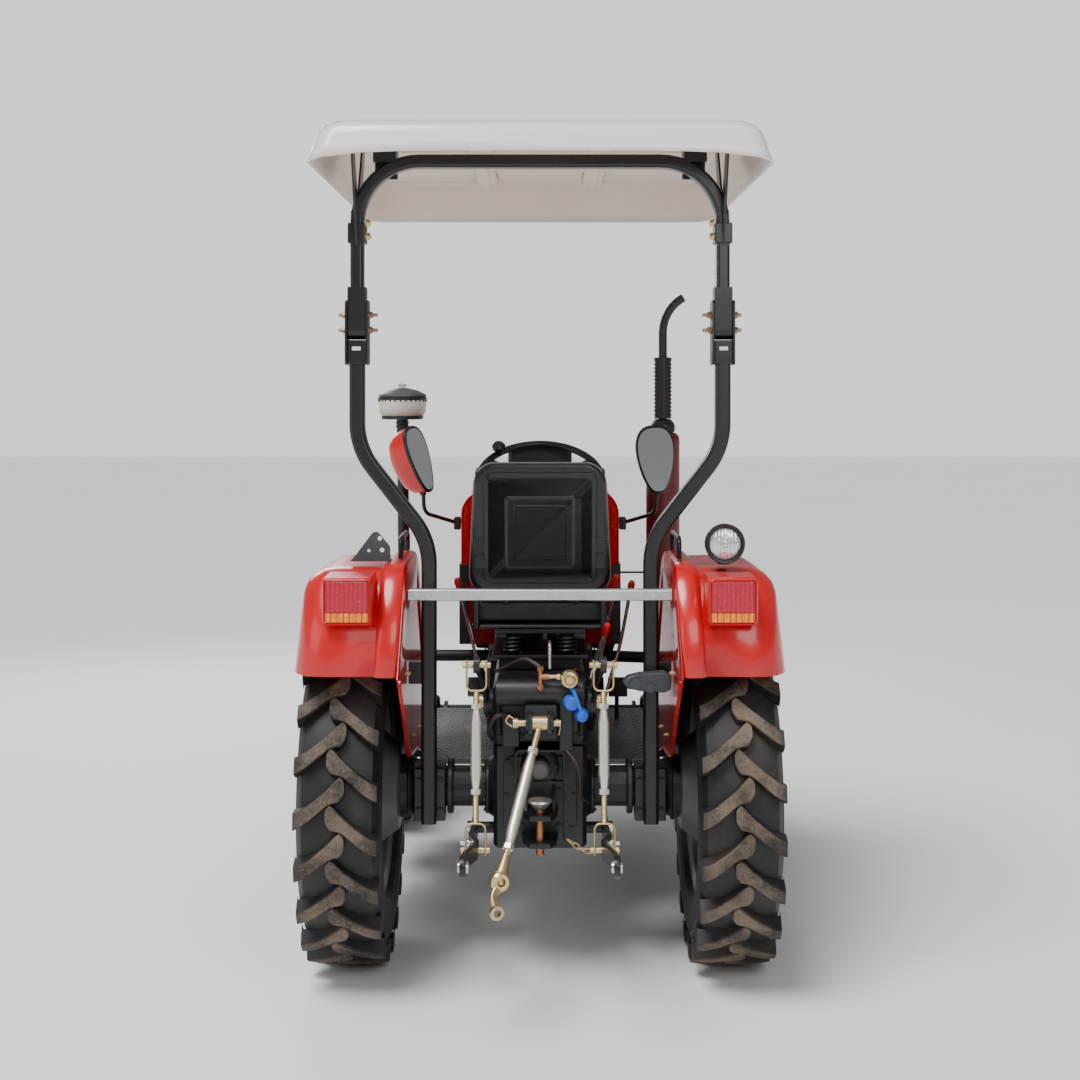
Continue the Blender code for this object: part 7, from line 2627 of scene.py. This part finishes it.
class TRACTOR_OT_lift_arms(bpy.types.Operator):
    """Cranked forgings on the lift shaft."""

    bl_idname = "tractor.lift_arms"
    bl_label = "Lift arms"

    def execute(self, context):
        for name, side in SIDES:
            make_lift_arm(name, side)
        return {"FINISHED"}


class TRACTOR_OT_lower_links(bpy.types.Operator):
    """Flat bars with ball eyes."""

    bl_idname = "tractor.lower_links"
    bl_label = "Lower links"

    def execute(self, context):
        for name, side in SIDES:
            make_lower_link(name, side)
        return {"FINISHED"}


class TRACTOR_OT_check_chain(bpy.types.Operator):
    """Rigid check chain on the right link."""

    bl_idname = "tractor.check_chain"
    bl_label = "Check chain"

    def execute(self, context):
        make_check_chain()
        return {"FINISHED"}


class TRACTOR_OT_top_link(bpy.types.Operator):
    """Turnbuckle, ball eye and hook."""

    bl_idname = "tractor.top_link"
    bl_label = "Top link"

    def execute(self, context):
        make_top_link()
        return {"FINISHED"}


class TRACTOR_OT_drawbar(bpy.types.Operator):
    """Hitch plate, jaws and drop pin."""

    bl_idname = "tractor.drawbar"
    bl_label = "Drawbar"

    def execute(self, context):
        make_drawbar()
        return {"FINISHED"}


class TRACTOR_OT_pto(bpy.types.Operator):
    """Guard, flange and cap of the power take-off."""

    bl_idname = "tractor.pto"
    bl_label = "PTO"

    def execute(self, context):
        make_pto()
        return {"FINISHED"}


class TRACTOR_OT_hydraulics(bpy.types.Operator):
    """Lift cylinder, couplers, tee and rigid pipes."""

    bl_idname = "tractor.hydraulics"
    bl_label = "Hydraulics"

    def execute(self, context):
        make_hydraulics()
        return {"FINISHED"}


class TRACTOR_OT_platforms(bpy.types.Operator):
    """Tread bars and side steps of the floor plates."""

    bl_idname = "tractor.platforms"
    bl_label = "Platforms"

    def execute(self, context):
        make_platforms()
        return {"FINISHED"}


class TRACTOR_OT_castings(bpy.types.Operator):
    """Ribs, covers and bolts of the axle and gearbox."""

    bl_idname = "tractor.castings"
    bl_label = "Castings"

    def execute(self, context):
        make_castings()
        return {"FINISHED"}


class TRACTOR_OT_engine(bpy.types.Operator):
    """Covers, fan, filter and injector pipes."""

    bl_idname = "tractor.engine"
    bl_label = "Engine details"

    def execute(self, context):
        make_engine_details()
        return {"FINISHED"}


class TRACTOR_OT_front_axle(bpy.types.Operator):
    """Kingpin caps, rod ends and hub bolts."""

    bl_idname = "tractor.front_axle"
    bl_label = "Front axle details"

    def execute(self, context):
        make_front_axle_details()
        return {"FINISHED"}


class TRACTOR_OT_lamp_bracket(bpy.types.Operator):
    """Bolts of the left lamp bracket."""

    bl_idname = "tractor.lamp_bracket"
    bl_label = "Lamp bracket bolts"

    def execute(self, context):
        make_lamp_bracket()
        return {"FINISHED"}


class TRACTOR_OT_finishes(bpy.types.Operator):
    """Materials of the frame pieces that stay as they are."""

    bl_idname = "tractor.finishes"
    bl_label = "Frame finishes"

    def execute(self, context):
        make_finishes()
        return {"FINISHED"}


class TRACTOR_OT_stage(bpy.types.Operator):
    """Floor, lamps and camera."""

    bl_idname = "tractor.stage"
    bl_label = "Stage"

    def execute(self, context):
        make_stage()
        return {"FINISHED"}


OPERATORS = (
    TRACTOR_OT_tyres, TRACTOR_OT_rims, TRACTOR_OT_fenders, TRACTOR_OT_fender_fittings,
    TRACTOR_OT_tail_lamps, TRACTOR_OT_work_lamp, TRACTOR_OT_posts, TRACTOR_OT_hoop, TRACTOR_OT_canopy,
    TRACTOR_OT_crossbar, TRACTOR_OT_seat_shell, TRACTOR_OT_cushions, TRACTOR_OT_seat_base, TRACTOR_OT_hood,
    TRACTOR_OT_cowl, TRACTOR_OT_dash, TRACTOR_OT_steering_wheel, TRACTOR_OT_levers, TRACTOR_OT_exhaust,
    TRACTOR_OT_precleaner, TRACTOR_OT_mirrors, TRACTOR_OT_lift_rods, TRACTOR_OT_lift_arms,
    TRACTOR_OT_lower_links, TRACTOR_OT_check_chain, TRACTOR_OT_top_link, TRACTOR_OT_drawbar, TRACTOR_OT_pto,
    TRACTOR_OT_hydraulics, TRACTOR_OT_platforms, TRACTOR_OT_castings, TRACTOR_OT_engine,
    TRACTOR_OT_front_axle, TRACTOR_OT_lamp_bracket, TRACTOR_OT_finishes, TRACTOR_OT_stage,
)


class TRACTOR_PT_panel(bpy.types.Panel):
    """Lists the steps and the settings in the sidebar."""

    bl_label = "Farm tractor"
    bl_space_type = "VIEW_3D"
    bl_region_type = "UI"
    bl_category = "Tractor"

    def draw(self, context):
        for group in (context.scene.tractor_sizes, context.scene.tractor_colours):
            for name in group.bl_rna.properties.keys():
                if name not in ("rna_type", "name"):
                    self.layout.prop(group, name)
        for operator in OPERATORS:
            self.layout.operator(operator.bl_idname)


CLASSES = (TractorSizes, TractorColours, *OPERATORS, TRACTOR_PT_panel)


def register():
    for cls in CLASSES:
        bpy.utils.register_class(cls)
    bpy.types.Scene.tractor_sizes = bpy.props.PointerProperty(type=TractorSizes)
    bpy.types.Scene.tractor_colours = bpy.props.PointerProperty(type=TractorColours)


def unregister():
    del bpy.types.Scene.tractor_sizes
    del bpy.types.Scene.tractor_colours
    for cls in reversed(CLASSES):
        bpy.utils.unregister_class(cls)


def main():
    register()
    for operator in OPERATORS:
        getattr(bpy.ops.tractor, operator.bl_idname.split(".")[1])()


if __name__ == "__main__":
    main()
